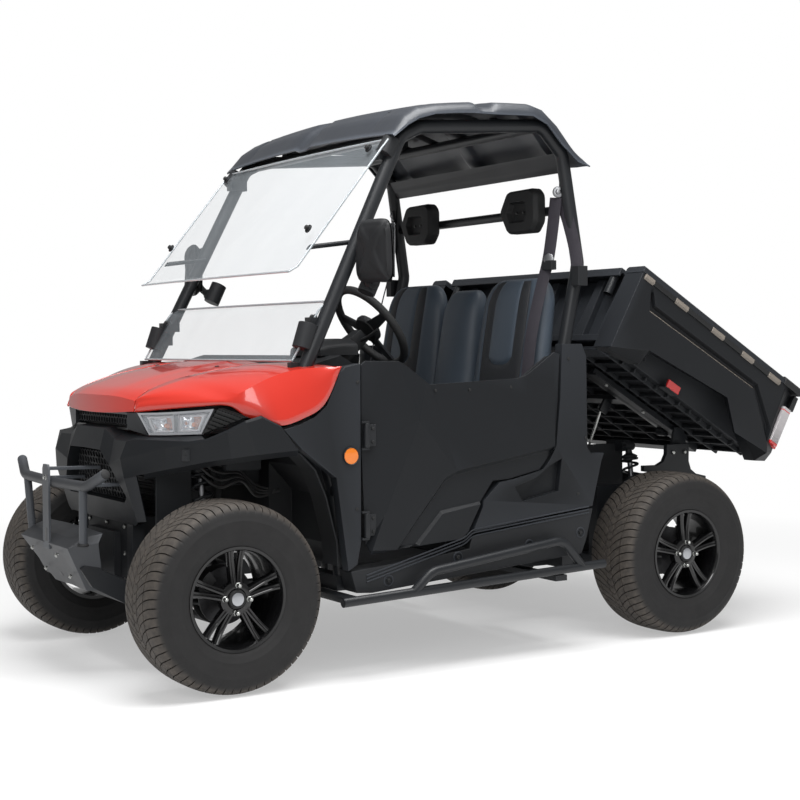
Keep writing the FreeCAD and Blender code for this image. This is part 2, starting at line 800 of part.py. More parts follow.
# Chassis: ladder rails, rear sub-rails over the axle, towers and bed hinge brackets
def chassis():
    front_end = FRONT + V.frame_front
    kick_x = REAR + V.kick_ahead
    rear_end = REAR - V.frame_rear
    low_end = REAR - V.arm_spread - V.tower_width
    pieces = []
    for side in (-1, 1):
        y_mid = side * V.rail_y
        low = Part.makeBox(
            front_end - low_end,
            V.rail_width,
            V.rail_height,
            Vector(low_end, y_mid - V.rail_width / 2, V.rail_z),
        )
        y_rear = side * V.rear_rail_y
        high = Part.makeBox(
            kick_x - rear_end,
            V.rail_width,
            V.rail_height,
            Vector(rear_end, y_rear - V.rail_width / 2, V.rear_rail_z),
        )
        post = Part.makeBox(
            V.tower_width,
            V.rail_width,
            V.rear_rail_z + V.rail_height - V.rail_z,
            Vector(kick_x - V.tower_width, y_rear - V.rail_width / 2, V.rail_z),
        )
        pieces.extend([low, high, post])
        for axle, top_z in ((FRONT, V.front_shock_z), (REAR, V.rear_shock_z)):
            pieces.append(
                Part.makeBox(
                    V.tower_width,
                    V.rail_width,
                    V.arm_top_z + V.tower_width / 2 - V.rail_z,
                    Vector(axle + V.arm_spread - V.tower_width / 2, y_mid - V.rail_width / 2, V.rail_z),
                )
            )
            tower_x = axle - V.shock_off - V.tower_width / 2
            tower_top = top_z + V.tower_width / 2
            pieces.append(
                Part.makeBox(
                    V.tower_width,
                    V.rail_width,
                    tower_top - V.rail_z,
                    Vector(tower_x, y_mid - V.rail_width / 2, V.rail_z),
                )
            )
            reach = V.shock_top_y - V.arm_tube - V.seat_gap
            start = V.rail_y if side > 0 else -reach
            pieces.append(
                Part.makeBox(
                    V.tower_width,
                    reach - V.rail_y,
                    V.tower_width,
                    Vector(tower_x, start, tower_top - V.tower_width),
                )
            )
        hinge_x = REAR - V.hinge_back
        foot = V.hinge_bracket
        bracket = prism(
            [
                (hinge_x + 1.3 * foot, V.rear_rail_z + V.rail_height),
                (hinge_x + 0.5 * foot, V.rear_rail_z + 1.8 * V.rail_height),
                (hinge_x + V.hinge_lug * 2, V.hinge_z + V.hinge_lug * 1.5),
                (hinge_x - V.hinge_lug * 2, V.hinge_z + V.hinge_lug * 1.5),
                (hinge_x - 0.5 * foot, V.rear_rail_z + 1.8 * V.rail_height),
                (hinge_x - foot, V.rear_rail_z + V.rail_height),
            ],
            side * V.rear_rail_y - V.hinge_lug / 2,
            side * V.rear_rail_y + V.hinge_lug / 2,
        )
        pieces.append(bracket)
        pin_low = V.sub_rail_y - V.sub_rail_width / 2
        pin_high = V.rear_rail_y + V.hinge_lug / 2
        pin_y = pin_low if side > 0 else -pin_high
        pin = Part.makeCylinder(
            V.hinge_pin, pin_high - pin_low, Vector(hinge_x, pin_y, V.hinge_z), Vector(0, 1, 0)
        )
        pieces.append(pin)
    wide = 2 * V.rear_rail_y + V.rail_width
    narrow = 2 * V.rail_y + V.rail_width
    cross = V.cross_width
    places = [
        (front_end - cross, narrow, V.rail_z),
        (MIDDLE, narrow, V.rail_z),
        (kick_x - cross, wide, V.rail_z),
        (kick_x - cross, wide, V.rear_rail_z),
        (low_end, narrow, V.rail_z),
        (rear_end, wide, V.rear_rail_z),
    ]
    for x, width, z in places:
        pieces.append(Part.makeBox(cross, width, V.rail_height, Vector(x, -width / 2, z)))
    pieces.append(
        Part.makeBox(
            V.tower_width,
            2 * V.rail_y,
            V.tower_width,
            Vector(FRONT - V.shock_off - V.tower_width / 2, -V.rail_y, V.front_shock_z - V.tower_width / 2),
        )
    )
    rail_top = V.rail_z + V.rail_height
    for side in (-1, 1):
        y_low = side * V.rail_y - V.rail_width / 2
        for x in (MIDDLE + 300 * LONG, MIDDLE - 250 * LONG):
            riser = V.floor_z - V.seat_gap - rail_top
            pieces.append(Part.makeBox(60, V.rail_width, riser, Vector(x, y_low, rail_top)))
        riser = V.nose_low_z - V.seat_gap - rail_top
        pieces.append(Part.makeBox(cross, V.rail_width, riser, Vector(front_end - cross, y_low, rail_top)))
    whole = pieces[0].fuse(pieces[1:]).removeSplitter()
    subpart(feature("chassis_frame", whole), "chassis_frame")


def drivetrain():
    motor = box(
        "drive_unit",
        f"{REAR_TEXT} - {S.drive_length} / 2",
        f"-{S.drive_width} / 2",
        f"{S.rail_z} + {S.rail_height} + {S.seat_gap}",
        S.drive_length,
        S.drive_width,
        S.drive_height,
    )
    subpart(motor, "drive_unit")
    battery = box(
        "battery_pack",
        f"{MIDDLE_TEXT} + {S.seat_base_front} - 35 - {S.battery_length}",
        f"-{S.battery_width} / 2",
        f"{S.floor_z} + {S.floor_thick} + {S.seat_gap}",
        S.battery_length,
        S.battery_width,
        S.battery_height,
    )
    subpart(battery, "battery_pack")


def receiver():
    """A square tube on the rear cross member for a tow bar, with its pin hole."""
    rear_end = f"({REAR_TEXT} - {S.frame_rear})"
    half = f"{S.receiver_side} / 2"
    tube = box(
        "receiver_tube",
        f"{rear_end} - {S.hitch_pin_back} * 0.4",
        f"-{half}",
        f"{S.receiver_z} - {half}",
        S.receiver_length,
        S.receiver_side,
        S.receiver_side,
    )
    hanger = box(
        "receiver_hanger",
        rear_end,
        f"-{half}",
        S.receiver_z,
        S.cross_width,
        S.receiver_side,
        f"{S.rear_rail_z} - {S.receiver_z}",
    )
    inside = box(
        "receiver_inside",
        f"{rear_end} - {S.receiver_length}",
        f"-{S.receiver_bore} / 2",
        f"{S.receiver_z} - {S.receiver_bore} / 2",
        f"3 * {S.receiver_length}",
        S.receiver_bore,
        S.receiver_bore,
    )
    pin = rod(
        "receiver_pin",
        f"{rear_end} + {S.hitch_pin_back} * 0.6",
        f"-{S.receiver_side}",
        S.receiver_z,
        S.hitch_pin_radius,
        f"2 * {S.receiver_side}",
        "y",
    )
    whole = cut("receiver_hollow", fuse("receiver_blank", [tube, hanger]), inside)
    subpart(cut("hitch_receiver", whole, pin), "hitch_receiver")


# Lower body: doors, cowl, sill and corner panels are plates behind one outer plane
DOOR_SHARES = [
    (1.0, 0.97), (0.98, 1.0), (0.825, 0.998), (0.803, 0.986), (0.673, 0.874), (0.224, 0.898), (0.174, 0.917),
    (0.031, 1.0), (0.0, 1.0), (0.013, 0.765), (0.036, 0.512), (0.082, 0.427), (0.108, 0.392), (0.269, 0.351),
    (0.358, 0.346), (0.421, 0.24), (0.429, 0.22), (0.489, 0.084), (0.522, 0.047), (0.86, 0.02), (0.958, 0.0),
    (0.985, 0.056), (0.985, 0.08),
]
DOOR_POCKET_SHARES = [
    (0.058, 0.475), (0.052, 0.497), (0.554, 0.413), (0.611, 0.382), (0.686, 0.274), (0.836, 0.045), (0.737, 0.057),
    (0.617, 0.19), (0.452, 0.218), (0.439, 0.252), (0.372, 0.369), (0.273, 0.374), (0.116, 0.413), (0.093, 0.447),
]
CORNER_POCKET_SHARES = [(0.327, 0.366), (0.355, 0.186), (0.621, 0.143), (0.68, 0.225), (0.52, 0.27), (0.42, 0.33)]
COWL_SHARES = [
    (0.0, 1.0), (0.0, 0.136), (0.05, 0.03), (0.17, 0.0), (0.32, 0.455), (0.345, 0.46),
    (0.74, 0.59), (0.985, 0.695), (0.79, 0.715), (0.59, 0.75), (0.44, 0.8), (0.27, 0.955), (0.2, 0.985),
]
SILL_SHARES = [
    (1.0, 0.32), (0.536, 0.49), (0.525, 0.67), (0.0, 0.94), (0.03, 0.47), (0.05, 0.27), (0.92, 0.0), (0.98, 0.02),
]
CORNER_SHARES = [
    (0.325, 1.0), (0.175, 1.0), (0.14, 0.93), (0.13, 0.42), (0.1, 0.385), (0.0, 0.385), (0.02, 0.34),
    (0.09, 0.09), (0.98, 0.0), (0.91, 0.13), (0.905, 0.16), (0.79, 0.255), (0.67, 0.27), (0.47, 0.31),
    (0.42, 0.36), (0.37, 0.435), (0.34, 0.7),
]


def side_panels():
    door_front = DOOR_FRONT_TEXT
    door_rear = DOOR_REAR_TEXT
    outer = S.body_half
    door_points = share_text(DOOR_SHARES, (door_rear, door_front), (S.door_low_z, S.door_top_z))
    door = plate_body("door_plate", "XZ_Plane", door_points, S.panel_thick, y=outer)
    barrels = []
    slots = []
    for level, height in (("low", S.door_hinge_low_z), ("high", S.door_hinge_high_z)):
        pin_x = f"{door_front} - {S.door_barrel}"
        pin_y = f"{outer} + {S.door_inset}"
        barrels.append(rod("door_barrel_" + level, pin_x, pin_y, height, S.door_barrel, S.door_barrel_length))
        for zone, low in (("under", f"{height} - 15"), ("over", f"{height} + {S.door_barrel_length}")):
            slots.append(
                box(
                    "door_notch_" + level + zone,
                    f"{pin_x} - 14",
                    f"{outer} - 15",
                    low,
                    "40",
                    "30",
                    "15",
                )
            )
        slots.append(
            rod(
                "door_bore_" + level,
                pin_x,
                pin_y,
                f"{height} - {S.door_barrel_length}",
                f"{S.door_pin} + {S.running_gap}",
                f"3 * {S.door_barrel_length}",
            )
        )
    pocket_points = share_text(DOOR_POCKET_SHARES, (door_rear, door_front), (S.door_low_z, S.door_top_z))
    slots.append(plate_body("door_pocket", "XZ_Plane", pocket_points, f"2 * {S.pocket_deep}", y=f"{outer} + {S.pocket_deep}"))
    solid_door = fuse("door_with_barrels", [door] + barrels)
    door_left = cut("door_left", solid_door, fuse("door_bores", slots))
    subpart(door_left, "door_left")
    subpart(mirror("door_right", door_left), "door_right")
    cowl_points = share_text(
        COWL_SHARES,
        (f"({door_front} + {S.panel_gap})", f"({MIDDLE_TEXT} + 777 * {LONG_TEXT})"),
        ("358", "1036"),
    )
    cowl = plate_body("cowl_plate", "XZ_Plane", cowl_points, S.panel_thick, y=outer)
    subpart(both_sides("cowl_panels", cowl), "cowl_panels")
    sill_points = share_text(
        SILL_SHARES,
        (f"({MIDDLE_TEXT} - 488 * {LONG_TEXT})", f"({MIDDLE_TEXT} + 528 * {LONG_TEXT})"),
        (S.sill_low_z, "518"),
    )
    sill = plate_body("sill_plate", "XZ_Plane", sill_points, f"2 * {S.panel_thick}", y=outer)
    subpart(both_sides("sills", sill), "sills")
    corner_points = share_text(
        CORNER_SHARES,
        (f"({MIDDLE_TEXT} - 540 * {LONG_TEXT})", f"({MIDDLE_TEXT} + 53 * {LONG_TEXT})"),
        ("455", "1098"),
    )
    corner_plate = plate_body("corner_plate", "XZ_Plane", corner_points, S.panel_thick, y=outer)
    pocket_points = share_text(
        CORNER_POCKET_SHARES,
        (f"({MIDDLE_TEXT} - 540 * {LONG_TEXT})", f"({MIDDLE_TEXT} + 53 * {LONG_TEXT})"),
        ("455", "1098"),
    )
    foot_hold = plate_body(
        "corner_pocket", "XZ_Plane", pocket_points, f"4 * {S.pocket_deep}", y=f"{outer} + {S.pocket_deep}"
    )
    corner = cut("corner_with_pocket", corner_plate, foot_hold)
    subpart(both_sides("rear_corner_panels", corner), "rear_corner_panels")

def door_hinges():
    """Pins and their lugs on the cowl panels; the door barrels turn on them."""
    pin_x = f"({DOOR_FRONT_TEXT} - {S.door_barrel})"
    pin_y = f"({S.body_half} + {S.door_inset})"
    pieces = []
    for level, height in (("low", S.door_hinge_low_z), ("high", S.door_hinge_high_z)):
        lug = f"{S.door_pin}"
        top = f"({height} + {S.door_barrel_length} + 1)"
        pin = rod("hinge_pin_" + level, pin_x, pin_y, f"{height} - 1 - {lug}", S.door_pin, f"{S.door_barrel_length} + 2 + 2 * {lug}")
        for end, z in (("under", f"{height} - 1 - {lug}"), ("over", top)):
            piece = box(
                "hinge_lug_" + level + end,
                f"{pin_x} - {S.door_pin}",
                f"{pin_y} - {S.door_pin}",
                z,
                f"{S.door_barrel} + {S.panel_gap} + {S.door_pin}",
                f"2 * {S.door_pin}",
                lug,
            )
            pieces.append(piece)
        pieces.append(pin)
    left = fuse("door_hinge_pins", pieces)
    subpart(both_sides("door_hinges", left), "door_hinges")


def step_bars():
    y = STEP_BAR_Y
    low = V.step_bar_z
    front = MIDDLE + 583 * LONG
    rear = MIDDLE - 507 * LONG
    r = V.step_bar_radius
    lower = bar_between(Vector(front, y, low - 22), Vector(rear, y, low + 20), r)
    loop = round_tube(
        [
            Vector(front - 275, y, low - 8),
            Vector(front - 345, y, low + 52),
            Vector(front - 900, y, low + 118),
            Vector(rear + 100, y, low + 18),
        ],
        r,
        70,
    )
    pieces = [lower, loop]
    for x in (front - 60, rear + 170):
        inner = V.rail_y + V.rail_width / 2 + V.seat_gap
        arm = Part.makeBox(50, y - inner, 20, Vector(x, inner, V.rail_z + V.rail_height - 22))
        pieces.append(arm)
    left = pieces[0].fuse(pieces[1:]).removeSplitter()
    subpart(feature("step_bars", Part.makeCompound([left, mirrored(left)])), "step_bars")


# Cage, roof and clear panels
def cage():
    r = V.cage_tube
    hoop_points = [
        Vector(MIDDLE + 505 * LONG, 588 * WIDE, V.rail_z + V.rail_height + 40),
        Vector(MIDDLE + 530 * LONG, 588 * WIDE, 620),
        Vector(MIDDLE + 664 * LONG, 622 * WIDE, 1000),
        Vector(MIDDLE + 258 * LONG, 580 * WIDE, 1802),
        Vector(MIDDLE + 180 * LONG, 580 * WIDE, 1840),
        Vector(MIDDLE - 345 * LONG, 580 * WIDE, 1883),
        Vector(MIDDLE - 440 * LONG, 580 * WIDE, 1788),
        Vector(MIDDLE - 506 * LONG, 590 * WIDE, 1390),
        Vector(MIDDLE - 440 * LONG, 590 * WIDE, 1080),
        Vector(MIDDLE - 442 * LONG, 588 * WIDE, V.rail_z + V.rail_height + 40),
    ]
    left = round_tube(hoop_points, r, 70)
    for x in (MIDDLE + 505 * LONG, MIDDLE - 442 * LONG):
        foot = Part.makeBox(
            50, 588 * WIDE + r - V.rail_y, 50, Vector(x - 25, V.rail_y, V.rail_z + V.rail_height + V.seat_gap)
        )
        left = left.fuse(foot)
    cross = []
    for x, z, y, size in (
        (MIDDLE + 205 * LONG, 1822, 580, 19),
        (MIDDLE - 330 * LONG, 1878, 580, 19),
        (MIDDLE - 441 * LONG, 1040, 588, 17),
        (MIDDLE + 588 * LONG, 785, 604, 19),
    ):
        cross.append(bar_between(Vector(x, -y * WIDE, z), Vector(x, y * WIDE, z), size))
    beam = prism(
        [
            (MIDDLE - 462 * LONG, 1724),
            (MIDDLE - 452 * LONG, 1724),
            (MIDDLE - 418 * LONG, 1790),
            (MIDDLE - 428 * LONG, 1790),
        ],
        -575 * WIDE,
        575 * WIDE,
    )
    whole = left.fuse([mirrored(left), beam] + cross).removeSplitter()
    subpart(feature("roll_cage", whole), "roll_cage")
    clear = round_tube(hoop_points, r + V.seat_gap, 70)
    return clear.fuse(mirrored(clear))


ROOF_TOP_SHARES = [
    (0.0, 0.03), (0.17, 0.73), (0.25, 0.955), (0.31, 1.0), (0.49, 0.965), (0.515, 0.87), (0.575, 0.85),
    (0.6, 0.93), (0.79, 0.845), (0.875, 0.77), (0.935, 0.61), (1.0, 0.29),
]
ROOF_EDGE_SHARES = [
    (0.0, 0.0), (0.11, 0.1), (0.22, 0.62), (0.31, 0.785), (0.43, 0.76), (0.5, 0.74), (0.6, 0.73),
    (0.7, 0.705), (0.8, 0.665), (0.88, 0.57), (0.93, 0.45), (1.0, 0.245),
]


def roof():
    x_ends = (MIDDLE - V.roof_behind * LONG, MIDDLE + V.roof_ahead * LONG)
    z_ends = (V.roof_low_z, V.roof_top_z)
    top = spread(ROOF_TOP_SHARES, x_ends, z_ends)
    edge = spread(ROOF_EDGE_SHARES, x_ends, z_ends)
    outer = []
    inner = []
    for (x, z), (edge_x, edge_z) in zip(top, edge):
        half = ROOF_HALF
        crown = V.roof_crown
        across = [
            (half, edge_x, edge_z),
            (half - 12, x, max(z - 14, edge_z + 4)),
            (half - 60, x, z),
            (half / 2, x, z + crown * 0.7),
        ]
        row = [Vector(px, y, pz) for y, px, pz in across] + [Vector(x, 0, z + crown)]
        outer.append(row + [Vector(p.x, -p.y, p.z) for p in reversed(row[:-1])])
        thick = V.roof_thick
        across = [
            (half - thick, edge_x, edge_z),
            (half - thick - 8, x, max(z - 14 - thick, edge_z)),
            (half - 66, x, max(z - thick, edge_z + 1)),
            (half / 2, x, max(z + crown * 0.7 - thick, edge_z + 2)),
        ]
        row = [Vector(px, y, pz) for y, px, pz in across]
        row.append(Vector(x, 0, max(z + crown - thick, edge_z + 3)))
        inner.append(row + [Vector(p.x, -p.y, p.z) for p in reversed(row[:-1])])
    subpart(feature("roof", closed_skin(outer, inner)), "roof")


def windshields(tubes):
    half = GLASS_HALF
    thick = V.glass_thick
    lower = [(MIDDLE + 690 * LONG, 1046), (MIDDLE + 640 * LONG, 1130), (MIDDLE + 594 * LONG, 1205), (MIDDLE + 580 * LONG, 1222), (MIDDLE + 552 * LONG, 1240)]
    upper = [(MIDDLE + 700 * LONG, 1334), (MIDDLE + 668 * LONG, 1352), (MIDDLE + 500 * LONG, 1562), (MIDDLE + 345 * LONG, 1755), (MIDDLE + 318 * LONG, 1786)]
    panes = []
    for label, line in (("windshield_lower", lower), ("windshield_upper", upper)):
        outer = []
        inner = []
        for x, z in line:
            columns = [-half, -half * 0.5, 0, half * 0.5, half]
            bulge = [0, 12, 18, 12, 0]
            outer.append([Vector(x + b, y, z) for y, b in zip(columns, bulge)])
            inner.append([Vector(x + b - thick, y, z - thick * 0.4) for y, b in zip(columns, bulge)])
        glass = closed_skin(outer, inner).cut(tubes)
        panes.append(glass)
        subpart(feature(label, glass), label)
    pieces = []
    for x, z in ((MIDDLE + 606 * LONG, 1170), (MIDDLE + 636 * LONG, 1116)):
        pieces.append(Part.makeBox(70, 40, 34, Vector(x - 50, 575 * WIDE, z - 17)))
    for x, z in ((MIDDLE + 322 * LONG, 1740),):
        pieces.append(Part.makeBox(70, 40, 44, Vector(x - 52, 545 * WIDE, z - 22)))
    strut = bar_between(Vector(MIDDLE + 440 * LONG, 575 * WIDE, 1440), Vector(MIDDLE + 640 * LONG, 575 * WIDE, 1413), 8)
    pieces.append(strut)
    pieces = [piece.cut([tubes] + panes) for piece in pieces]
    pieces = [sorted(piece.Solids, key=lambda solid: solid.BoundBox.XMin)[0] for piece in pieces]
    subpart(
        feature("windshield_brackets", Part.makeCompound(pieces + [mirrored(piece) for piece in pieces])),
        "windshield_brackets",
    )


# Front body: hood, red side panels, fascia with fenders, grilles, lamps and guard
def full_width(rows):
    """Rows given from the left edge to the middle plane, completed on the right."""
    return [row + [Vector(p.x, -p.y, p.z) for p in reversed(row[:-1])] for row in rows]


def hood():
    front = FRONT
    half = V.hood_half * WIDE
    lines = [(180, 882), (165, 926), (90, 954), (-90, 1001), (-240, 1034), (-285, 1037)]
    outer = []
    for ahead, z in lines:
        drop = 12 if ahead > 100 else 6
        outer.append(
            [
                Vector(front + ahead - drop, half, z),
                Vector(front + ahead, half * 0.55, z - 4),
                Vector(front + ahead + 4, 0, z - 2),
            ]
        )
    outer = full_width(outer)
    subpart(feature("hood", closed_skin(outer, shifted(outer, -V.hood_thick * 0.4, 0, -V.hood_thick))), "hood")


def hood_sides():
    half = V.hood_half * WIDE + 7
    upper = [
        (166, half, 884), (134, half, 930), (50, half, 965), (-40, half, 988), (-120, half, 1008), (-180, half, 1020),
        (-240, half, 1034), (-240, 590, 1024), (-286, 664, 1022),
    ]
    lower = [
        (200, 392, 886), (158, 478, 892), (94, 566, 895), (10, 642, 904), (-95, 691, 864), (-163, 702, 845),
        (-285, 704, 886), (-333, 704, 922), (-372, 704, 1026),
    ]
    outer = []
    for (up_ahead, up_y, up_z), (low_ahead, low_y, low_z) in zip(upper, lower):
        top = Vector(FRONT + up_ahead, half if up_y == half else up_y * WIDE, up_z)
        low = Vector(FRONT + low_ahead, low_y * WIDE, low_z)
        middle = top + (low - top) * 0.6 + Vector(0, 0, 16 if up_y == half else 4)
        outer.append([low, middle, top])
    inner = shifted(outer, -V.hood_thick * 0.5, V.hood_thick * 0.5, -V.hood_thick)
    left = closed_skin(outer, inner)
    elbow = Vector(MIDDLE + 664 * LONG, 622 * WIDE, 1000)
    foot = Vector(MIDDLE + 530 * LONG, 588 * WIDE, 620)
    head = Vector(MIDDLE + 258 * LONG, 580 * WIDE, 1802)
    reach = V.cage_tube + 2
    left = left.cut(bar_between(foot, elbow, reach))
    left = left.cut(bar_between(elbow - (head - elbow) * 0.08, elbow + (head - elbow) * 0.5, reach))
    left = left.cut(cowl_clearance(4))
    subpart(feature("hood_side_panels", Part.makeCompound([left, mirrored(left)])), "hood_side_panels")


def cowl_clearance(gap):
    """The left cowl panel's solid, moved forward by a gap, to trim what meets it."""
    x_ends = (MIDDLE + V.door_ahead * LONG + V.panel_gap + gap, MIDDLE + 777 * LONG + gap)
    return prism(spread(COWL_SHARES, x_ends, (358, 1036)), V.body_half - V.panel_thick - gap, V.body_half + 2 * gap)


def fascia():
    top = [
        (-146, 698, 832), (-95, 690, 848), (-30, 660, 866), (18, 636, 838), (60, 600, 812), (117, 539, 805),
        (158, 477, 800), (190, 400, 796), (172, 306, 808), (172, 0, 812),
    ]
    crease = [
        (-150, 700, 826), (-98, 693, 840), (-30, 672, 832), (-3, 650, 822), (60, 600, 800), (117, 539, 780),
        (178, 442, 755), (205, 380, 742), (225, 306, 726), (232, 0, 740),
    ]
    low = [
        (-218, 702, 762), (-120, 695, 752), (-50, 668, 742), (24, 633, 734), (70, 590, 726), (118, 538, 717),
        (178, 441, 697), (205, 380, 686), (222, 318, 676), (226, 0, 680),
    ]
    outer = [[Vector(FRONT + x, y * WIDE, z) for x, y, z in row] for row in (top, crease, low)]
    back = [Vector(p.x - 12, max(p.y - 70, 0), p.z - 8) for p in outer[-1]]
    outer.append(back)
    thick = V.skin_thick
    inner = [
        [Vector(p.x - thick, max(p.y - thick, 0) if p.y > 0 else 0, p.z - thick * 0.6) for p in outer[0]],
        [Vector(p.x - thick, max(p.y - thick, 0) if p.y > 0 else 0, p.z - thick * 0.3) for p in outer[1]],
        [Vector(p.x - thick, max(p.y - thick, 0) if p.y > 0 else 0, p.z + thick) for p in outer[2]],
        [Vector(p.x - thick, p.y, p.z + thick) for p in outer[3]],
    ]
    skin = closed_skin(full_width(outer), full_width(inner))
    nose_top = 700
    nose_low = V.nose_low_z
    nose = Part.makeLoft(
        [
            Part.makePolygon([Vector(FRONT + x, y * WIDE, nose_top) for x, y in ((222, -308), (222, 308), (120, 330), (120, -330), (222, -308))]),
            Part.makePolygon([Vector(FRONT + x, y * WIDE, nose_low) for x, y in ((170, -285), (170, 285), (110, 300), (110, -300), (170, -285))]),
        ],
        True,
    )
    hollow = Part.makeLoft(
        [
            Part.makePolygon([Vector(FRONT + x, y * WIDE, nose_top + 60) for x, y in ((400, -170), (400, 170), (60, 170), (60, -170), (400, -170))]),
            Part.makePolygon([Vector(FRONT + x, y * WIDE, nose_low + 40) for x, y in ((400, -215), (400, 215), (60, 215), (60, -215), (400, -215))]),
        ],
        True,
    )
    mask = prism([(FRONT + 150, 808), (FRONT + 172, 802), (FRONT + 172, 869.5), (FRONT + 150, 869.5)], -306 * WIDE, 306 * WIDE)
    grille_hole = prism(
        [
            (FRONT + 100, V.grille_low_z),
            (FRONT + 300, V.grille_low_z),
            (FRONT + 300, V.grille_top_z),
            (FRONT + 100, V.grille_top_z),
        ],
        -V.grille_half * WIDE,
        V.grille_half * WIDE,
    )
    trim = cowl_clearance(5)
    whole = skin.fuse([nose, mask.cut(grille_hole)]).cut([hollow, trim, mirrored(trim)]).removeSplitter()
    subpart(feature("front_fascia", whole), "front_fascia")
    upper = prism(
        [
            (FRONT + 156, V.grille_low_z),
            (FRONT + 164, V.grille_low_z),
            (FRONT + 164, V.grille_top_z),
            (FRONT + 156, V.grille_top_z),
        ],
        -V.grille_half * WIDE,
        V.grille_half * WIDE,
    )
    lower = prism([(FRONT + 150, 544), (FRONT + 158, 544), (FRONT + 190, 735), (FRONT + 182, 735)], -300 * WIDE, 300 * WIDE)
    lower = lower.common(hollow)
    cells = []
    for low, high, half_width, x in ((834, 856, V.grille_half - 8, 140), (560, 728, 150, 120)):
        pitch = V.grille_pitch
        row = 0
        z = low + pitch * 0.45
        while z < high:
            y = -half_width * WIDE + pitch * 0.5 * (row % 2) + pitch * 0.5
            while y < half_width * WIDE - pitch * 0.4:
                ring = [
                    Vector(FRONT + x, y + pitch * 0.42 * math.cos(k * math.pi / 3), z + pitch * 0.42 * math.sin(k * math.pi / 3))
                    for k in range(6)
                ]
                cells.append(Part.Face(Part.makePolygon(ring + [ring[0]])).extrude(Vector(100, 0, 0)))
                y += pitch
            row += 1
            z += pitch * 0.87
    holes = Part.makeCompound(cells)
    upper = upper.cut(holes)
    lower = lower.cut(holes)
    subpart(feature("front_grilles", Part.makeCompound([upper, lower])), "front_grilles")


def headlamps():
    top = [(196, 398, 868), (155, 478, 872), (92, 566, 874), (12, 640, 882)]
    low = [(188, 408, 810), (156, 477, 813), (112, 540, 817), (55, 604, 825)]
    outer = [[Vector(FRONT + x, y * WIDE, z) for x, y, z in row] for row in (top, low)]
    inner = [[Vector(p.x - V.lamp_depth, p.y - V.lamp_depth * 0.3, p.z) for p in row] for row in outer]
    left = closed_skin(outer, inner)
    subpart(feature("headlamps", Part.makeCompound([left, mirrored(left)])), "headlamps")


def brush_guard():
    r = V.guard_tube
    plate = Part.makeLoft(
        [
            Part.makePolygon([Vector(FRONT + x, y, 447) for x, y in ((382, -262), (382, 262), (315, 262), (315, -262), (382, -262))]),
            Part.makePolygon([Vector(FRONT + x, y, 281) for x, y in ((284, -178), (284, 178), (240, 178), (240, -178), (284, -178))]),
        ],
        True,
    )
    top = round_tube(
        [
            Vector(FRONT + 314, 405, 690),
            Vector(FRONT + 338, 300, 642),
            Vector(FRONT + 342, 0, 638),
            Vector(FRONT + 338, -300, 642),
            Vector(FRONT + 314, -405, 690),
        ],
        r,
        45,
    )
    pieces = [top]
    for side in (-1, 1):
        pieces.append(bar_between(Vector(FRONT + 340, side * 250, 430), Vector(FRONT + 339, side * 270, 640), r * 0.8))
        pieces.append(
            prism(
                [
                    (FRONT + V.frame_front + V.seat_gap, V.rail_z),
                    (FRONT + V.frame_front + V.seat_gap, V.rail_z + V.rail_height),
                    (FRONT + 300, 400),
                    (FRONT + 300, 320),
                ],
                side * V.rail_y - 8 if side < 0 else V.rail_y - 80,
                side * V.rail_y + 80 if side < 0 else V.rail_y + 8,
            )
        )
    pieces.append(Part.makeBox(10, 40, 230, Vector(FRONT + 352, -20, 420)))
    whole = plate.fuse(pieces).removeSplitter()
    subpart(feature("brush_guard", whole), "brush_guard")


def panel_brackets(tubes):
    """Stays between the frame or cage and the panels they carry, trimmed to meet them."""
    shapes = {obj.Label: obj.Shape for obj in SUBPARTS}
    panel_in = V.body_half - V.panel_thick
    stays = [
        (Vector(MIDDLE - 200 * LONG, FLOOR_HALF - 5, V.floor_z), (400, 70, V.floor_thick), ("cab_floor", "sills")),
        (Vector(MIDDLE + 520 * LONG, 600 * WIDE, 600), (30, panel_in - 600 * WIDE, 30), ("cowl_panels",)),
        (Vector(MIDDLE - 457 * LONG, 600 * WIDE, 880), (30, panel_in - 600 * WIDE, 30), ("rear_corner_panels",)),
        (Vector(MIDDLE + 565 * LONG, 300 * WIDE, 790), (18, 40, 45), ("roll_cage", "dashboard")),
        (Vector(FRONT + 60, 500 * WIDE, 780), (40, 40, 60), ("front_fascia", "headlamps")),
        (Vector(MIDDLE + 660 * LONG, 600 * WIDE, 930), (45, 24, 110), ("hood_side_panels", "windshield_lower")),
        (Vector(MIDDLE + 195 * LONG, 300 * WIDE, 1830), (24, 40, 105), ("roll_cage", "roof")),
        (Vector(MIDDLE - 342 * LONG, 300 * WIDE, 1884), (24, 40, 80), ("roll_cage", "roof")),
    ]
    pieces = []
    for corner, (length, width, height), neighbours in stays:
        stay = Part.makeBox(length, width, height, corner)
        for shape in [tubes] + [shapes[name] for name in neighbours]:
            stay = stay.cut(shape)
        solids = sorted(stay.Solids, key=lambda solid: solid.BoundBox.ZMin)
        pieces.append(solids[0])
    subpart(feature("panel_brackets", Part.makeCompound(pieces + [mirrored(one) for one in pieces])), "panel_brackets")


# Cargo bed: built level, then all its pieces turn up together about the hinge
def raised(obj):
    """Turns a bed piece from level to the raised place it rests in."""
    hinge = Vector(REAR - V.hinge_back, 0, V.hinge_z)
    turn = Placement(Vector(), Rotation(Vector(0, 1, 0), -V.bed_tilt), hinge)
    obj.Placement = turn.multiply(obj.Placement)
    return obj


BED_SIDE_SHARES = [
    (1.0, 1.0), (0.984, 0.0), (0.846, 0.02), (0.805, 0.28), (0.34, 0.43), (0.224, 0.14), (0.102, -0.08),
    (0.0, 0.19), (0.022, 1.0),
]


BED_POCKET_SHARES = [(0.93, 0.92), (0.93, 0.72), (0.15, 0.72), (0.09, 0.35), (0.075, 0.4), (0.075, 0.92)]


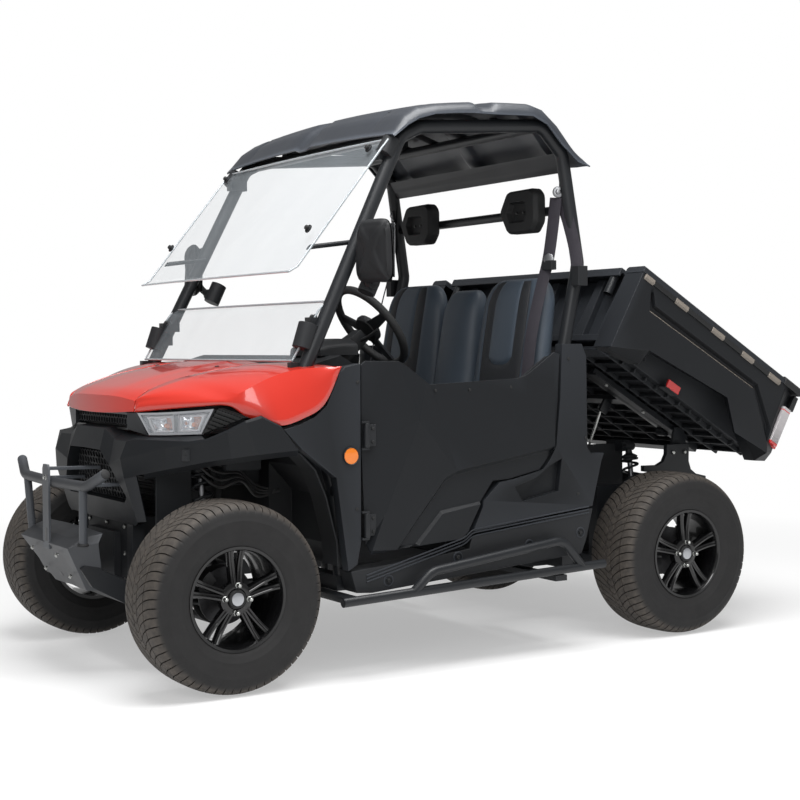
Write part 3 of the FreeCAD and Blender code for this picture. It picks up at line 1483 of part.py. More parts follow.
def cargo_bed():
    x_ends = (REAR - V.bed_rear_back * LONG, REAR + V.bed_front_ahead * LONG)
    z_ends = (V.bed_low_z, V.bed_top_z)
    corners = spread(BED_SIDE_SHARES, x_ends, z_ends)
    half = V.bed_half
    side = prism(corners, half - V.bed_wall, half)
    under = V.bed_floor_z - V.bed_floor_thick
    inner = Part.makeBox(
        x_ends[1] - x_ends[0],
        V.bed_wall * 0.5,
        under - z_ends[0] + 40,
        Vector(x_ends[0], half - V.bed_wall, z_ends[0] - 40),
    )
    side = side.cut(inner)
    pocket_line = spread(BED_POCKET_SHARES, x_ends, z_ends)
    side = side.cut(prism(pocket_line, half - V.pocket_deep, half + V.pocket_deep))
    for share in (0.1, 0.22, 0.34, 0.46, 0.58, 0.7, 0.82):
        slot_x = x_ends[0] + share * (x_ends[1] - x_ends[0])
        slot = Part.makeBox(90 * LONG, V.bed_wall * 0.3, 24, Vector(slot_x, half - V.bed_wall * 0.7, V.bed_top_z - 12))
        side = side.cut(slot)
    floor = Part.makeBox(
        x_ends[1] - x_ends[0] - 74,
        2 * (half - V.bed_wall) + 2,
        V.bed_floor_thick,
        Vector(x_ends[0] + 58, -(half - V.bed_wall) - 1, under),
    )
    wall = Part.makeBox(
        V.bed_front_wall,
        2 * (half - V.bed_wall) + 2,
        V.bed_top_z - under,
        Vector(x_ends[1] - V.bed_front_wall - 12, -(half - V.bed_wall) - 1, under),
    )
    pad = Part.makeBox(
        x_ends[1] - x_ends[0] - 74 - V.bed_front_wall - 2 * V.bed_pad_in,
        2 * (half - V.bed_wall - V.bed_pad_in),
        V.bed_pad,
        Vector(x_ends[0] + 58 + V.bed_pad_in, -(half - V.bed_wall - V.bed_pad_in), V.bed_floor_z),
    )
    ribs = [pad]
    for share in (-0.75, -0.45, -0.15, 0.15, 0.45, 0.75):
        rib_y = share * (half - V.bed_wall)
        ribs.append(
            Part.makeBox(12, 70, V.bed_top_z - under - 90, Vector(x_ends[1] - 14, rib_y - 35, under + 45))
        )
    whole = side.fuse([mirrored(side), floor, wall] + ribs).removeSplitter()
    lamp = Part.makeBox(24, 50, 180, Vector(x_ends[0] + 4, half - 75, V.bed_floor_z + 30))
    pocket = Part.makeBox(
        80, 50 + 2 * V.seat_gap, 180 + 2 * V.seat_gap,
        Vector(x_ends[0] + 28 + V.seat_gap - 80, half - 75 - V.seat_gap, V.bed_floor_z + 30 - V.seat_gap),
    )
    whole = whole.cut(pocket.fuse(mirrored(pocket)))
    hinge_x = REAR - V.hinge_back
    rails = []
    rail_top = under - V.seat_gap
    for way in (-1, 1):
        rail = Part.makeBox(
            x_ends[1] - x_ends[0] - 160,
            V.sub_rail_width,
            V.sub_rail_height,
            Vector(x_ends[0] + 80, way * V.sub_rail_y - V.sub_rail_width / 2, rail_top - V.sub_rail_height),
        )
        lug = Part.makeCylinder(
            V.hinge_pin + V.hinge_lug,
            V.sub_rail_width,
            Vector(hinge_x, way * V.sub_rail_y - V.sub_rail_width / 2, V.hinge_z),
            Vector(0, 1, 0),
        )
        bore = Part.makeCylinder(
            V.hinge_pin + V.running_gap,
            2 * V.sub_rail_width,
            Vector(hinge_x, way * V.sub_rail_y - V.sub_rail_width, V.hinge_z),
            Vector(0, 1, 0),
        )
        rails.append(rail.fuse(lug).cut(bore))
    ties = []
    for x in (x_ends[0] + 80, REAR + V.strut_eye_ahead - V.sub_rail_width / 2, x_ends[1] - 140):
        ties.append(
            Part.makeBox(
                V.sub_rail_width,
                2 * V.sub_rail_y,
                V.sub_rail_height,
                Vector(x, -V.sub_rail_y, rail_top - V.sub_rail_height),
            )
        )
    lug = Part.makeBox(
        V.sub_rail_width,
        V.hinge_lug,
        V.sub_rail_height + 50,
        Vector(
            REAR + V.strut_eye_ahead - V.sub_rail_width / 2,
            V.strut_y + V.strut_barrel,
            rail_top - V.sub_rail_height - 50,
        ),
    )
    frame = rails[0].fuse([rails[1], lug] + ties).removeSplitter()
    subpart(raised(feature("bed_subframe", frame)), "bed_subframe")
    gate_low = V.bed_floor_z + 10
    gate_half = half - V.bed_wall - V.tailgate_gap
    gate = Part.makeBox(
        V.tailgate_thick,
        2 * gate_half,
        V.bed_top_z - 10 - gate_low,
        Vector(x_ends[0] + 4, -gate_half, gate_low),
    )
    pin_x = x_ends[0] + 16
    pin_z = gate_low + 12
    bore = Part.makeCylinder(
        V.tailgate_pin + V.running_gap, 2 * gate_half, Vector(pin_x, -gate_half, pin_z), Vector(0, 1, 0)
    )
    core = Part.makeCylinder(
        V.tailgate_pin + 2 * V.running_gap, 2 * gate_half - 60, Vector(pin_x, -gate_half + 30, pin_z), Vector(0, 1, 0)
    )
    gate = gate.cut(bore.cut(core))
    subpart(raised(feature("tailgate", gate)), "tailgate")
    pins = []
    for way in (-1, 1):
        start = half - V.bed_wall + 5 if way > 0 else -(half - V.bed_wall + 5)
        pins.append(
            Part.makeCylinder(V.tailgate_pin, V.tailgate_gap + 25, Vector(pin_x, start, pin_z), Vector(0, -way, 0))
        )
    whole = whole.fuse(pins).removeSplitter()
    subpart(raised(feature("cargo_bed", whole)), "cargo_bed")
    subpart(raised(feature("tail_lamps", Part.makeCompound([lamp, mirrored(lamp)]))), "tail_lamps")


def lift_strut():
    """A gas strut from the frame to the bed: a barrel that swings and a rod that slides."""
    foot = Vector(REAR + V.strut_foot_ahead, V.strut_y, V.strut_foot_z)
    hinge = Vector(REAR - V.hinge_back, 0, V.hinge_z)
    level_eye = Vector(REAR + V.strut_eye_ahead, V.strut_y, V.hinge_z - 25)
    eye = hinge + Rotation(Vector(0, 1, 0), -V.bed_tilt).multVec(level_eye - hinge)
    along = (eye - foot).normalize()
    r = V.strut_barrel
    barrel = Part.makeCylinder(r, V.strut_barrel_length, foot + along * r, along)
    knob = Part.makeCylinder(r, 2 * r, foot - Vector(0, r, 0), Vector(0, 1, 0))
    bore = Part.makeCylinder(V.strut_rod + V.running_gap, V.strut_barrel_length, foot + along * 1.5 * r, along)
    pin_hole = Part.makeCylinder(5 + V.running_gap, 3 * r, foot - Vector(0, 1.5 * r, 0), Vector(0, 1, 0))
    subpart(feature("strut_barrel", barrel.fuse(knob).cut(bore).cut(pin_hole)), "strut_barrel")
    rod_start = foot + along * (V.strut_barrel_length * 0.8)
    rod_end = eye - along * r
    piston = Part.makeCylinder(V.strut_rod, (rod_end - rod_start).Length, rod_start, along)
    eye_knob = Part.makeCylinder(r * 1.1, 1.4 * r, eye - Vector(0, 0.7 * r, 0), Vector(0, 1, 0))
    subpart(feature("strut_rod", piston.fuse(eye_knob).removeSplitter()), "strut_rod")
    pin = Part.makeCylinder(5, 3 * r, foot - Vector(0, 1.5 * r, 0), Vector(0, 1, 0))
    ears = []
    for way in (-1, 1):
        ears.append(
            Part.makeBox(
                30,
                6,
                24,
                Vector(foot.x - 15, foot.y + way * (r + 4) - 3, foot.z - 12),
            )
        )
    face = REAR + V.kick_ahead - V.cross_width - V.seat_gap
    back = Part.makeBox(
        face - foot.x - 14,
        2 * r + 14,
        V.rail_height - 10,
        Vector(foot.x + 14, foot.y - r - 7, V.rear_rail_z + 5),
    )
    subpart(feature("strut_bracket", pin.fuse(ears + [back]).removeSplitter()), "strut_bracket")


def seat_belts(tubes):
    pieces = []
    for way in (-1, 1):
        for y in (way * 545 * WIDE,):
            strap = prism(
                [
                    (MIDDLE - 452 * LONG, 1640),
                    (MIDDLE - 448 * LONG, 1640),
                    (MIDDLE - 416 * LONG, 1000),
                    (MIDDLE - 420 * LONG, 1000),
                ],
                y - 24,
                y + 24,
            )
            pieces.append(strap.cut(tubes))
    subpart(feature("seat_belts", Part.makeCompound(pieces)), "seat_belts")


# Cab: floor, seats, dash, steering, mirrors
def column_line():
    """The steering wheel's centre and the column's direction, towards the driver."""
    lean = math.radians(V.column_lean)
    return Vector(MIDDLE + V.wheel_x * LONG, V.wheel_y * WIDE, V.wheel_z), Vector(-math.cos(lean), 0, math.sin(lean))


def wheel_liners():
    """Liners between the wheel arches and the cage legs, outside the cab floor."""
    line = [(556, 372), (560, 450), (600, 600), (640, 690), (700, 750)]
    points = [(MIDDLE + x * LONG, z) for x, z in line] + [(MIDDLE + (x - 6) * LONG, z + 3) for x, z in reversed(line)]
    left = prism(points, FLOOR_HALF + V.seat_gap, V.body_half - V.panel_thick - V.seat_gap)
    subpart(feature("wheel_liners", Part.makeCompound([left, mirrored(left)])), "wheel_liners")


def cab(tubes):
    thick = V.floor_thick
    floor_line = [
        (MIDDLE - 400 * LONG, V.floor_z), (MIDDLE + 470 * LONG, V.floor_z), (MIDDLE + 640 * LONG, V.floor_z + 170), (MIDDLE + 640 * LONG, 760),
        (MIDDLE + 640 * LONG - thick, 760), (MIDDLE + 640 * LONG - thick, V.floor_z + 170 + thick * 0.5),
        (MIDDLE + 465 * LONG, V.floor_z + thick), (MIDDLE - 400 * LONG, V.floor_z + thick),
    ]
    arch_line = [
        (MIDDLE - 400 * LONG, V.floor_z), (MIDDLE + 470 * LONG, V.floor_z), (MIDDLE + 552 * LONG, V.floor_z + 90), (MIDDLE + 552 * LONG, 600),
        (MIDDLE + 640 * LONG, 700), (MIDDLE + 640 * LONG, 760), (MIDDLE + 640 * LONG - thick, 760), (MIDDLE + 640 * LONG - thick, 705),
        (MIDDLE + 552 * LONG - thick, 606), (MIDDLE + 552 * LONG - thick, V.floor_z + 95), (MIDDLE + 465 * LONG, V.floor_z + thick),
        (MIDDLE - 400 * LONG, V.floor_z + thick),
    ]
    cheek_line = [
        (MIDDLE + 470 * LONG, V.floor_z), (MIDDLE + 640 * LONG, V.floor_z + 170), (MIDDLE + 640 * LONG, 760), (MIDDLE + 552 * LONG - thick, 606),
        (MIDDLE + 552 * LONG - thick, V.floor_z + 95), (MIDDLE + 465 * LONG, V.floor_z + thick),
    ]
    inner = V.arch_inner
    whole = prism(floor_line, -inner, inner)
    pieces = []
    for low, high in ((inner - thick, FLOOR_HALF), (-FLOOR_HALF, thick - inner)):
        pieces.append(prism(arch_line, low, high))
    for low in (inner - thick, -inner):
        pieces.append(prism(cheek_line, low, low + thick))
    subpart(feature("cab_floor", whole.fuse(pieces).removeSplitter().cut(tubes)), "cab_floor")
    base_front = MIDDLE + V.seat_base_front * LONG
    outer = prism(
        [
            (base_front - 470 * LONG, V.floor_z + thick), (base_front, V.floor_z + thick), (base_front, V.seat_base_top),
            (base_front - 470 * LONG, V.seat_base_top),
        ],
        -FLOOR_HALF,
        FLOOR_HALF,
    )
    inside = prism(
        [
            (base_front - 450 * LONG, V.floor_z), (base_front - 20, V.floor_z), (base_front - 20, V.seat_base_top - 20),
            (base_front - 450 * LONG, V.seat_base_top - 20),
        ],
        -FLOOR_HALF + 20,
        FLOOR_HALF - 20,
    )
    subpart(feature("seat_base", outer.cut(inside)), "seat_base")
    dash_line = [
        (MIDDLE + 585 * LONG, 1030), (MIDDLE + 470 * LONG, 1062), (MIDDLE + 400 * LONG, 1020), (MIDDLE + 390 * LONG, 860), (MIDDLE + 470 * LONG, 830),
        (MIDDLE + 585 * LONG, 830),
    ]
    dash = prism(dash_line, -FLOOR_HALF + 20, FLOOR_HALF - 20)
    centre, along = column_line()
    clear = Part.makeCylinder(V.column_radius + V.seat_gap, 800, centre - along * 800, along)
    subpart(feature("dashboard", dash.cut(clear)), "dashboard")


def seats(tubes):
    places = [
        (S.seat_inner_y, SEAT_OUTER_TEXT),
        (f"-{S.seat_middle_half}", S.seat_middle_half),
        (f"-{SEAT_OUTER_TEXT}", f"-{S.seat_inner_y}"),
    ]
    cushions = []
    backs = []
    for number, (low, high) in enumerate(places):
        cushions.append(
            box(
                "cushion_%d" % number,
                f"{MIDDLE_TEXT} - ({S.seat_back_x} - 60) * {LONG_TEXT}",
                low,
                f"{S.seat_base_top} + {S.seat_gap}",
                f"({S.seat_front} + {S.seat_back_x} - 60) * {LONG_TEXT}",
                f"({high}) - ({low})",
                f"{S.cushion_top} - {S.seat_base_top} - {S.seat_gap}",
            )
        )
        back_x = f"({MIDDLE_TEXT} - {S.seat_back_x} * {LONG_TEXT})"
        points = [
            (f"{back_x} + {S.seat_back_thick} * 1.35", f"{S.cushion_top} + {S.seat_gap}"),
            (f"{back_x} + {S.seat_back_thick} * 0.5", f"{S.seat_top_z} - 40"),
            (f"{back_x} + {S.seat_back_thick} * 0.2", S.seat_top_z),
            (f"{back_x} - {S.seat_back_thick} * 0.15", S.seat_top_z),
            (f"{back_x} - {S.seat_back_thick} * 0.1", f"{S.seat_top_z} - 60"),
            (f"{back_x} + {S.seat_back_thick} * 0.3", f"{S.cushion_top} + {S.seat_gap}"),
        ]
        backs.append(plate_body("seat_back_%d" % number, "XZ_Plane", points, f"({high}) - ({low})", y=high))
    subpart(group("seat_cushions", cushions), "seat_cushions")
    subpart(group("seat_backs", backs), "seat_backs")
    bar_half = 588 * WIDE
    bar = bar_between(
        Vector(MIDDLE - 478 * LONG, -bar_half, V.headrest_bar_z),
        Vector(MIDDLE - 478 * LONG, bar_half, V.headrest_bar_z),
        V.headrest_bar_radius,
    )
    subpart(feature("headrest_bar", bar.cut(tubes)), "headrest_bar")
    rests = []
    for way in (-1, 1):
        rest = Part.makeBox(
            V.headrest_thick,
            V.headrest_width,
            V.headrest_height,
            Vector(
                MIDDLE - 478 * LONG + V.headrest_bar_radius + V.seat_gap,
                way * V.headrest_y * WIDE - V.headrest_width / 2,
                V.headrest_bar_z - V.headrest_height / 2,
            ),
        )
        rests.append(rest)
    subpart(feature("headrests", Part.makeCompound(rests)), "headrests")


def steering():
    centre, along = column_line()
    ring = Part.makeTorus(V.wheel_radius, V.wheel_grip, centre, along)
    hub = Part.makeCylinder(38, 30, centre - along * 45, along)
    pieces = [hub]
    for angle in (0, 120, 240):
        turn = Rotation(along, angle)
        way = turn.multVec(Vector(0, 0, -1).cross(along).cross(along).normalize())
        pieces.append(bar_between(centre - along * 30, centre + way * V.wheel_radius, 10))
    shaft = Part.makeCylinder(V.column_shaft, 120, centre - along * 150, along)
    pieces.append(shaft)
    subpart(feature("steering_wheel", ring.fuse(pieces).removeSplitter()), "steering_wheel")
    column = Part.makeCylinder(V.column_radius, V.column_length, centre - along * (60 + V.column_length), along)
    bore = Part.makeCylinder(V.column_shaft + V.running_gap, 100, centre - along * 155, along)
    subpart(feature("steering_column", column.cut(bore)), "steering_column")


def mirrors(tubes):
    body = Part.makeBox(50, 160, 205, Vector(MIDDLE + 415 * LONG, 632 * WIDE, 1303))
    arm = bar_between(Vector(MIDDLE + 450 * LONG, 622 * WIDE, 1400), Vector(MIDDLE + 450 * LONG, 650 * WIDE, 1400), 10)
    left = body.fuse(arm).removeSplitter().cut(tubes)
    subpart(feature("mirrors", Part.makeCompound([left, mirrored(left)])), "mirrors")
    disc = Part.makeCylinder(16, 6, Vector(MIDDLE + 528 * LONG, V.body_half, 735), Vector(0, 1, 0))
    subpart(feature("side_reflectors", Part.makeCompound([disc, mirrored(disc)])), "side_reflectors")


wheels()
uprights()
suspension()
chassis()
drivetrain()
receiver()
side_panels()
door_hinges()
step_bars()
hoop_tubes = cage()
roof()
windshields(hoop_tubes)
hood()
hood_sides()
fascia()
headlamps()
brush_guard()
cargo_bed()
lift_strut()
cab(hoop_tubes)
wheel_liners()
seats(hoop_tubes)
seat_belts(hoop_tubes)
steering()
mirrors(hoop_tubes)
doc.recompute()
panel_brackets(hoop_tubes)

doc.recompute()
for obj in doc.Objects:
    if "Invalid" in obj.State or "Error" in obj.State:
        raise RuntimeError("%s did not build: %s" % (obj.Label, obj.State))
for obj in SUBPARTS:
    if obj.Shape.isNull() or not obj.Shape.isValid():
        raise RuntimeError("%s has no valid shape" % obj.Label)
for obj in SUBPARTS:
    obj.Shape.exportStep("parts/%s.step" % obj.Label)
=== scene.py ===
import json
from math import cos, pi, radians, sin

import bmesh
import bpy
import numpy as np
from mathutils import Matrix, Vector
from numpy import arange, array, asarray, concatenate, interp, linspace, stack

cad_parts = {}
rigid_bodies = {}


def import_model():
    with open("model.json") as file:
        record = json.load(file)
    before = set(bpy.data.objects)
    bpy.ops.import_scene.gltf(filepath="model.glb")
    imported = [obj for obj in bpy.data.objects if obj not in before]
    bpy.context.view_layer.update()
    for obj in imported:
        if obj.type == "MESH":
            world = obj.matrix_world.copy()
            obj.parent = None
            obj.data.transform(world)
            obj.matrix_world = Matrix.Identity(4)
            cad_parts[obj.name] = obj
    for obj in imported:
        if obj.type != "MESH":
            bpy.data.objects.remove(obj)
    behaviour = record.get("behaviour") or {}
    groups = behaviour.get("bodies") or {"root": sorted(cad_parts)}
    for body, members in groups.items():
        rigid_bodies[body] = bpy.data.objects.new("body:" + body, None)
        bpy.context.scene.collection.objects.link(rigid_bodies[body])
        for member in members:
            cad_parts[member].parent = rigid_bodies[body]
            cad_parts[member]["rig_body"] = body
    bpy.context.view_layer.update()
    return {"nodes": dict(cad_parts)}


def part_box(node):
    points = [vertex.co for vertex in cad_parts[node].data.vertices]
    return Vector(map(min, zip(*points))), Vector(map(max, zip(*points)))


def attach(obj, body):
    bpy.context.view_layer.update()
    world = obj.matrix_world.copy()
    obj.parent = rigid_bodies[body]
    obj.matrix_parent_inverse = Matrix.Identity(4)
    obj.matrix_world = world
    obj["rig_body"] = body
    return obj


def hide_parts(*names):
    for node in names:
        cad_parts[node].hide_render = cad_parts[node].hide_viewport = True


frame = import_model()

bl_info = {
    "name": "Side by side utility vehicle",
    "version": (1, 0, 0),
    "blender": (4, 5, 0),
    "location": "View3D > Sidebar > Vehicle",
    "description": "Builds the vehicle's detailed pieces round its solid model",
    "category": "Object",
}

MM = 0.001
SIDES = (("left", 1), ("right", -1))


def mm(*places):
    """Places typed in millimetres, in metres."""
    return array(places) * MM


def middle_of(node):
    """Middle of a node's box."""
    low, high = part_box(node)
    return (low + high) / 2


FRONT = middle_of("tyre_front_left").x
REAR = middle_of("tyre_rear_left").x
MIDDLE = (FRONT + REAR) / 2
BED_TILT = radians(30)
BED_HINGE = array([REAR - 0.23, 0.0, 0.745])


def spot(x, y, z, start=MIDDLE):
    """A place typed in millimetres from a station along the vehicle, in metres."""
    return mm(x, y, z) + [start, 0, 0]


# Shapes: grids of points worked out as whole arrays
def surface(points, close_u=False, close_v=False, ends=False):
    """A grid of points as quads: rows run along u, columns along v; ends closes both end rows."""
    grid = asarray(points, float)
    rows, columns = grid.shape[:2]
    u = arange(rows if close_u else rows - 1)
    v = arange(columns if close_v else columns - 1)
    u_next, v_next = (u + 1) % rows, (v + 1) % columns
    corners = [
        u[:, None] * columns + v,
        u[:, None] * columns + v_next,
        u_next[:, None] * columns + v_next,
        u_next[:, None] * columns + v,
    ]
    faces = stack(np.broadcast_arrays(*corners), -1).reshape(-1, 4).tolist()
    if ends:
        faces.append(list(range(columns))[::-1])
        faces.append([(rows - 1) * columns + k for k in range(columns)])
    return grid.reshape(-1, 3), faces


def lofted(rings):
    """Closed rings joined in turn, with both end rings closed."""
    return surface(rings, close_v=True, ends=True)


def joined(*shells):
    """Several shells as one."""
    points, faces, start = [], [], 0
    for shell_points, shell_faces in shells:
        points.append(asarray(shell_points, float))
        faces += [[index + start for index in face] for face in shell_faces]
        start += len(shell_points)
    return concatenate(points), faces


def moved(shell, offset):
    """The shell set off by an offset."""
    return asarray(shell[0]) + asarray(offset, float), shell[1]


def mirrored(shell):
    """The same shell on the right side, its faces turned to keep pointing out."""
    return asarray(shell[0]) * [1, -1, 1], [face[::-1] for face in shell[1]]


def both(*shells):
    """The shells with their mirror images."""
    return joined(*shells, mirrored(joined(*shells)))


def turned(shell, matrix, about=(0, 0, 0)):
    """The shell turned about a point."""
    about = asarray(about, float)
    return (asarray(shell[0]) - about) @ asarray(matrix, float)[:3, :3].T + about, shell[1]


def through(points, count):
    """A smooth curve through the points: each span blends four neighbours, count samples in all."""
    p = asarray(points, float)
    last = len(p) - 1
    u = linspace(0, last, count)
    k = np.minimum(u.astype(int), last - 1)
    t = (u - k).reshape((-1,) + (1,) * (p.ndim - 1))
    padded = concatenate([[2 * p[0] - p[1]], p, [2 * p[-1] - p[-2]]])
    a, b, c, d = padded[k], padded[k + 1], padded[k + 2], padded[k + 3]
    return 0.5 * (2 * b + (c - a) * t + (2 * a - 5 * b + 4 * c - d) * t**2 + (3 * b - a - 3 * c + d) * t**3)


def softened(rows, reach, steps=4, closed=False):
    """Each inner row is replaced by a quadratic curve that starts and ends a reach from it."""
    rows = [asarray(row, float) for row in rows]
    reaches = reach if hasattr(reach, "__len__") else [reach] * len(rows)
    out = [] if closed else [rows[0]]
    count = len(rows)
    for k in range(count) if closed else range(1, count - 1):
        a, b, c = rows[k - 1], rows[k], rows[(k + 1) % count]
        back, ahead = a - b, c - b
        long_back = np.linalg.norm(back, axis=-1, keepdims=True) + 1e-9
        long_ahead = np.linalg.norm(ahead, axis=-1, keepdims=True) + 1e-9
        start = b + back / long_back * np.minimum(reaches[k], 0.45 * long_back)
        end = b + ahead / long_ahead * np.minimum(reaches[k], 0.45 * long_ahead)
        for t in linspace(0, 1, steps):
            out.append((1 - t) ** 2 * start + 2 * t * (1 - t) * b + t**2 * end)
    if not closed:
        out.append(rows[-1])
    return array(out)


def panel(outer, wall):
    """A closed panel: the grid, and the same grid moved in along its normals by the wall."""
    grid = asarray(outer, float)
    normal = np.cross(np.gradient(grid, axis=0), np.gradient(grid, axis=1))
    normal /= np.linalg.norm(normal, axis=-1, keepdims=True) + 1e-12
    ring = concatenate([grid, (grid - normal * wall)[:, ::-1]], axis=1)
    points, faces = surface(ring, close_v=True)
    columns = ring.shape[1]
    half = grid.shape[1]
    last = (grid.shape[0] - 1) * columns
    for k in range(half - 1):
        faces.append([k, columns - 1 - k, columns - 2 - k, k + 1])
        faces.append([last + k + 1, last + columns - 2 - k, last + columns - 1 - k, last + k])
    return points, faces


def carried(line, side, over, section, size):
    """A section at each point of a line, in the plane of the two directions there."""
    across = side[:, None] * section[None, :, :1] + over[:, None] * section[None, :, 1:2]
    return line[:, None] + across * size


def swept(path, section, up=(0, 0, 1), scale=None, ends=True):
    """A closed section carried along a path, its own up kept near the given one."""
    line = asarray(path, float)
    along = np.gradient(line, axis=0)
    along /= np.linalg.norm(along, axis=1, keepdims=True)
    side = np.cross(along, asarray(up, float))
    side /= np.linalg.norm(side, axis=1, keepdims=True) + 1e-12
    over = np.cross(side, along)
    section = asarray(section, float)
    sizes = np.ones(len(line)) if scale is None else asarray(scale, float)
    grid = carried(line, side, over, section, sizes[:, None, None])
    return surface(grid, close_v=True, ends=ends)


def circle(radius, sides=16, start=0.0):
    """Points round a circle, from a start angle."""
    angle = arange(sides) * 2 * pi / sides + start
    return stack([np.cos(angle), np.sin(angle)], -1) * radius


def tube(path, radius, sides=16, up=None, scale=None):
    """A round bar along a path."""
    line = asarray(path, float)
    if up is None:
        span = line[-1] - line[0]
        up = np.eye(3)[np.argmin(np.abs(span))]
    return swept(line, circle(radius, sides), up, scale)


def revolved(profile, centre, sides, axis="y", closed=True):
    """A profile of (radius, place along the axis) turned round the axis through the centre."""
    profile = asarray(profile, float)
    angle = arange(sides) * 2 * pi / sides
    radius, along = profile[:, 0], profile[:, 1]
    a = radius[None] * np.cos(angle)[:, None]
    b = radius[None] * np.sin(angle)[:, None]
    c = np.broadcast_to(along, a.shape)
    grid = stack({"y": (a, c, b), "x": (c, a, b), "z": (a, b, c)}[axis], -1) + asarray(centre, float)
    return surface(grid, close_u=True, close_v=closed)


def disc(centre, direction, profile, sides=16):
    """A turned piece: (radius, height) pairs from the foot's rim to the top, closed at both ends."""
    direction = Vector(direction).normalized()
    profile = array([(1e-5, profile[0][1])] + list(profile) + [(1e-5, profile[-1][1])])
    shell = revolved(profile, (0, 0, 0), sides, "z", closed=False)
    turn = Vector((0, 0, 1)).rotation_difference(direction).to_matrix()
    return turned(shell, turn)[0] + asarray(centre, float), shell[1]


def block(low, high):
    """A box as a closed grid."""
    (x0, y0, z0), (x1, y1, z1) = low, high
    ring = [[(x, y0, z0), (x, y1, z0), (x, y1, z1), (x, y0, z1)] for x in (x0, x1)]
    return lofted(ring)


def box(low, high, start=MIDDLE):
    """A box between two corners typed in millimetres from a station."""
    return block(spot(*low, start), spot(*high, start))


def bar(section, *ends):
    """A section of (y, z) carried between two places along the vehicle, in millimetres from its middle."""
    return lofted([[spot(x, y, z) for y, z in section] for x in ends])


def stud(place, direction, profile, sides, start=MIDDLE):
    """A turned piece whose place and profile are typed in millimetres from a station."""
    return disc(spot(*place, start), direction, mm(*profile), sides)


def slab(outline, low, high, start=MIDDLE):
    """An upright sheet: its outline of (x, z) and its two sides in millimetres from a station."""
    return plate(mm(*outline) + [start, 0], low * MM, high * MM)


def plate(outline, low, high, plane="xz"):
    """A flat outline given in one plane, given a thickness along the third axis."""
    outline = asarray(outline, float)
    order = {"xz": (0, 2, 1), "yz": (1, 2, 0), "xy": (0, 1, 2)}[plane]
    grid = np.zeros((2, len(outline), 3))
    grid[:, :, order[0]] = outline[:, 0]
    grid[:, :, order[1]] = outline[:, 1]
    grid[0, :, order[2]], grid[1, :, order[2]] = low, high
    return lofted(grid)


def hexagons(width, height, pitch, bar, deep):
    """A honeycomb: each cell is a ring of six walls between two hexagons, front and back."""
    rows = int(height / (pitch * 0.866)) + 1
    columns = int(width / pitch) + 1
    i, j = np.meshgrid(arange(columns), arange(rows), indexing="ij")
    a = (i + 0.5 * (j % 2)) * pitch - width / 2
    b = j * pitch * 0.866 - height / 2
    centres = stack([a.ravel(), b.ravel()], -1)
    keep = (np.abs(centres[:, 0]) < width / 2 - pitch * 0.2) & (np.abs(centres[:, 1]) < height / 2)
    centres = centres[keep]
    angle = arange(6) * pi / 3 + pi / 6
    unit = stack([np.cos(angle), np.sin(angle)], -1)
    outer = centres[:, None] + unit * (pitch / 2 / 0.866)
    inner = centres[:, None] + unit * ((pitch - bar) / 2 / 0.866)
    count = len(centres)
    points = np.zeros((count, 4, 6, 3))
    points[:, 0, :, :2], points[:, 1, :, :2] = outer, inner
    points[:, 2, :, :2], points[:, 3, :, :2] = inner, outer
    points[:, 2:, :, 2] = -deep
    start = (arange(count) * 24)[:, None, None]
    ring = arange(4)[None, :, None] * 6
    side = arange(6)[None, None, :]
    side_next = (side + 1) % 6
    ring_next = (ring + 6) % 24
    corners = [start + ring + side, start + ring + side_next]
    corners += [start + ring_next + side_next, start + ring_next + side]
    return points.reshape(-1, 3), stack(corners, -1).reshape(-1, 4).tolist()


def place_plane(shell, origin, across, up):
    """A flat shell moved from its own plane to the plane of two directions through a point."""
    across, up = Vector(across).normalized(), Vector(up).normalized()
    out = across.cross(up)
    matrix = array([across, up, out]).T
    return asarray(shell[0]) @ matrix.T + asarray(origin, float), shell[1]


def raised(shell):
    """Turns a bed shell from level to its raised place, about the bed's hinge."""
    return turned(shell, Matrix.Rotation(BED_TILT, 3, "Y").inverted(), BED_HINGE)


# Finishes
def linear(code, alpha=1.0):
    """An sRGB hex colour as the linear colour that a shader takes."""
    part = [int(code[k : k + 2], 16) / 255 for k in (1, 3, 5)]
    return [c / 12.92 if c <= 0.04045 else ((c + 0.055) / 1.055) ** 2.4 for c in part] + [alpha]


def fill(tree, node, inputs):
    """Sets or links the inputs of a node."""
    for name, value in inputs.items():
        if isinstance(value, bpy.types.NodeSocket):
            tree.links.new(value, node.inputs[name])
        else:
            node.inputs[name].default_value = value


def add(tree, kind, inputs=None, **settings):
    """Adds one node with its settings and inputs."""
    made = tree.nodes.new(kind)
    for name, value in settings.items():
        setattr(made, name, value)
    fill(tree, made, inputs or {})
    return made


def new_material(name):
    """A new material with its node tree and its shader."""
    made = bpy.data.materials.new(name)
    made.use_nodes = True
    return made, made.node_tree, made.node_tree.nodes["Principled BSDF"]


def look(colour, second, rough, grain, depth, cloud, **more):
    """A finish: two near colours, roughness, grain in mm, bump, clouds in mm, and what more it has."""
    return dict(more, colour=colour, second=second, rough=rough, grain=grain, depth=depth, cloud=cloud)


GRAPHITE, BLACK, SATIN = "graphite_polypropylene", "black_polypropylene", "satin_powder_coat"


def noise(tree, place, scale, detail):
    """Soft noise over the object's own places."""
    return add(tree, "ShaderNodeTexNoise", {"Vector": place, "Scale": scale, "Detail": detail}).outputs["Fac"]


def blend(tree, share, first, second):
    """Two colours mixed by a share."""
    return add(tree, "ShaderNodeMixRGB", {"Fac": share, "Color1": first, "Color2": second}).outputs["Color"]


def ranged(tree, value, low, high, start=0.0, end=1.0):
    """A value between start and end brought to between low and high."""
    limits = {"From Min": start, "From Max": end, "To Min": low, "To Max": high}
    return add(tree, "ShaderNodeMapRange", {"Value": value, **limits}).outputs["Result"]


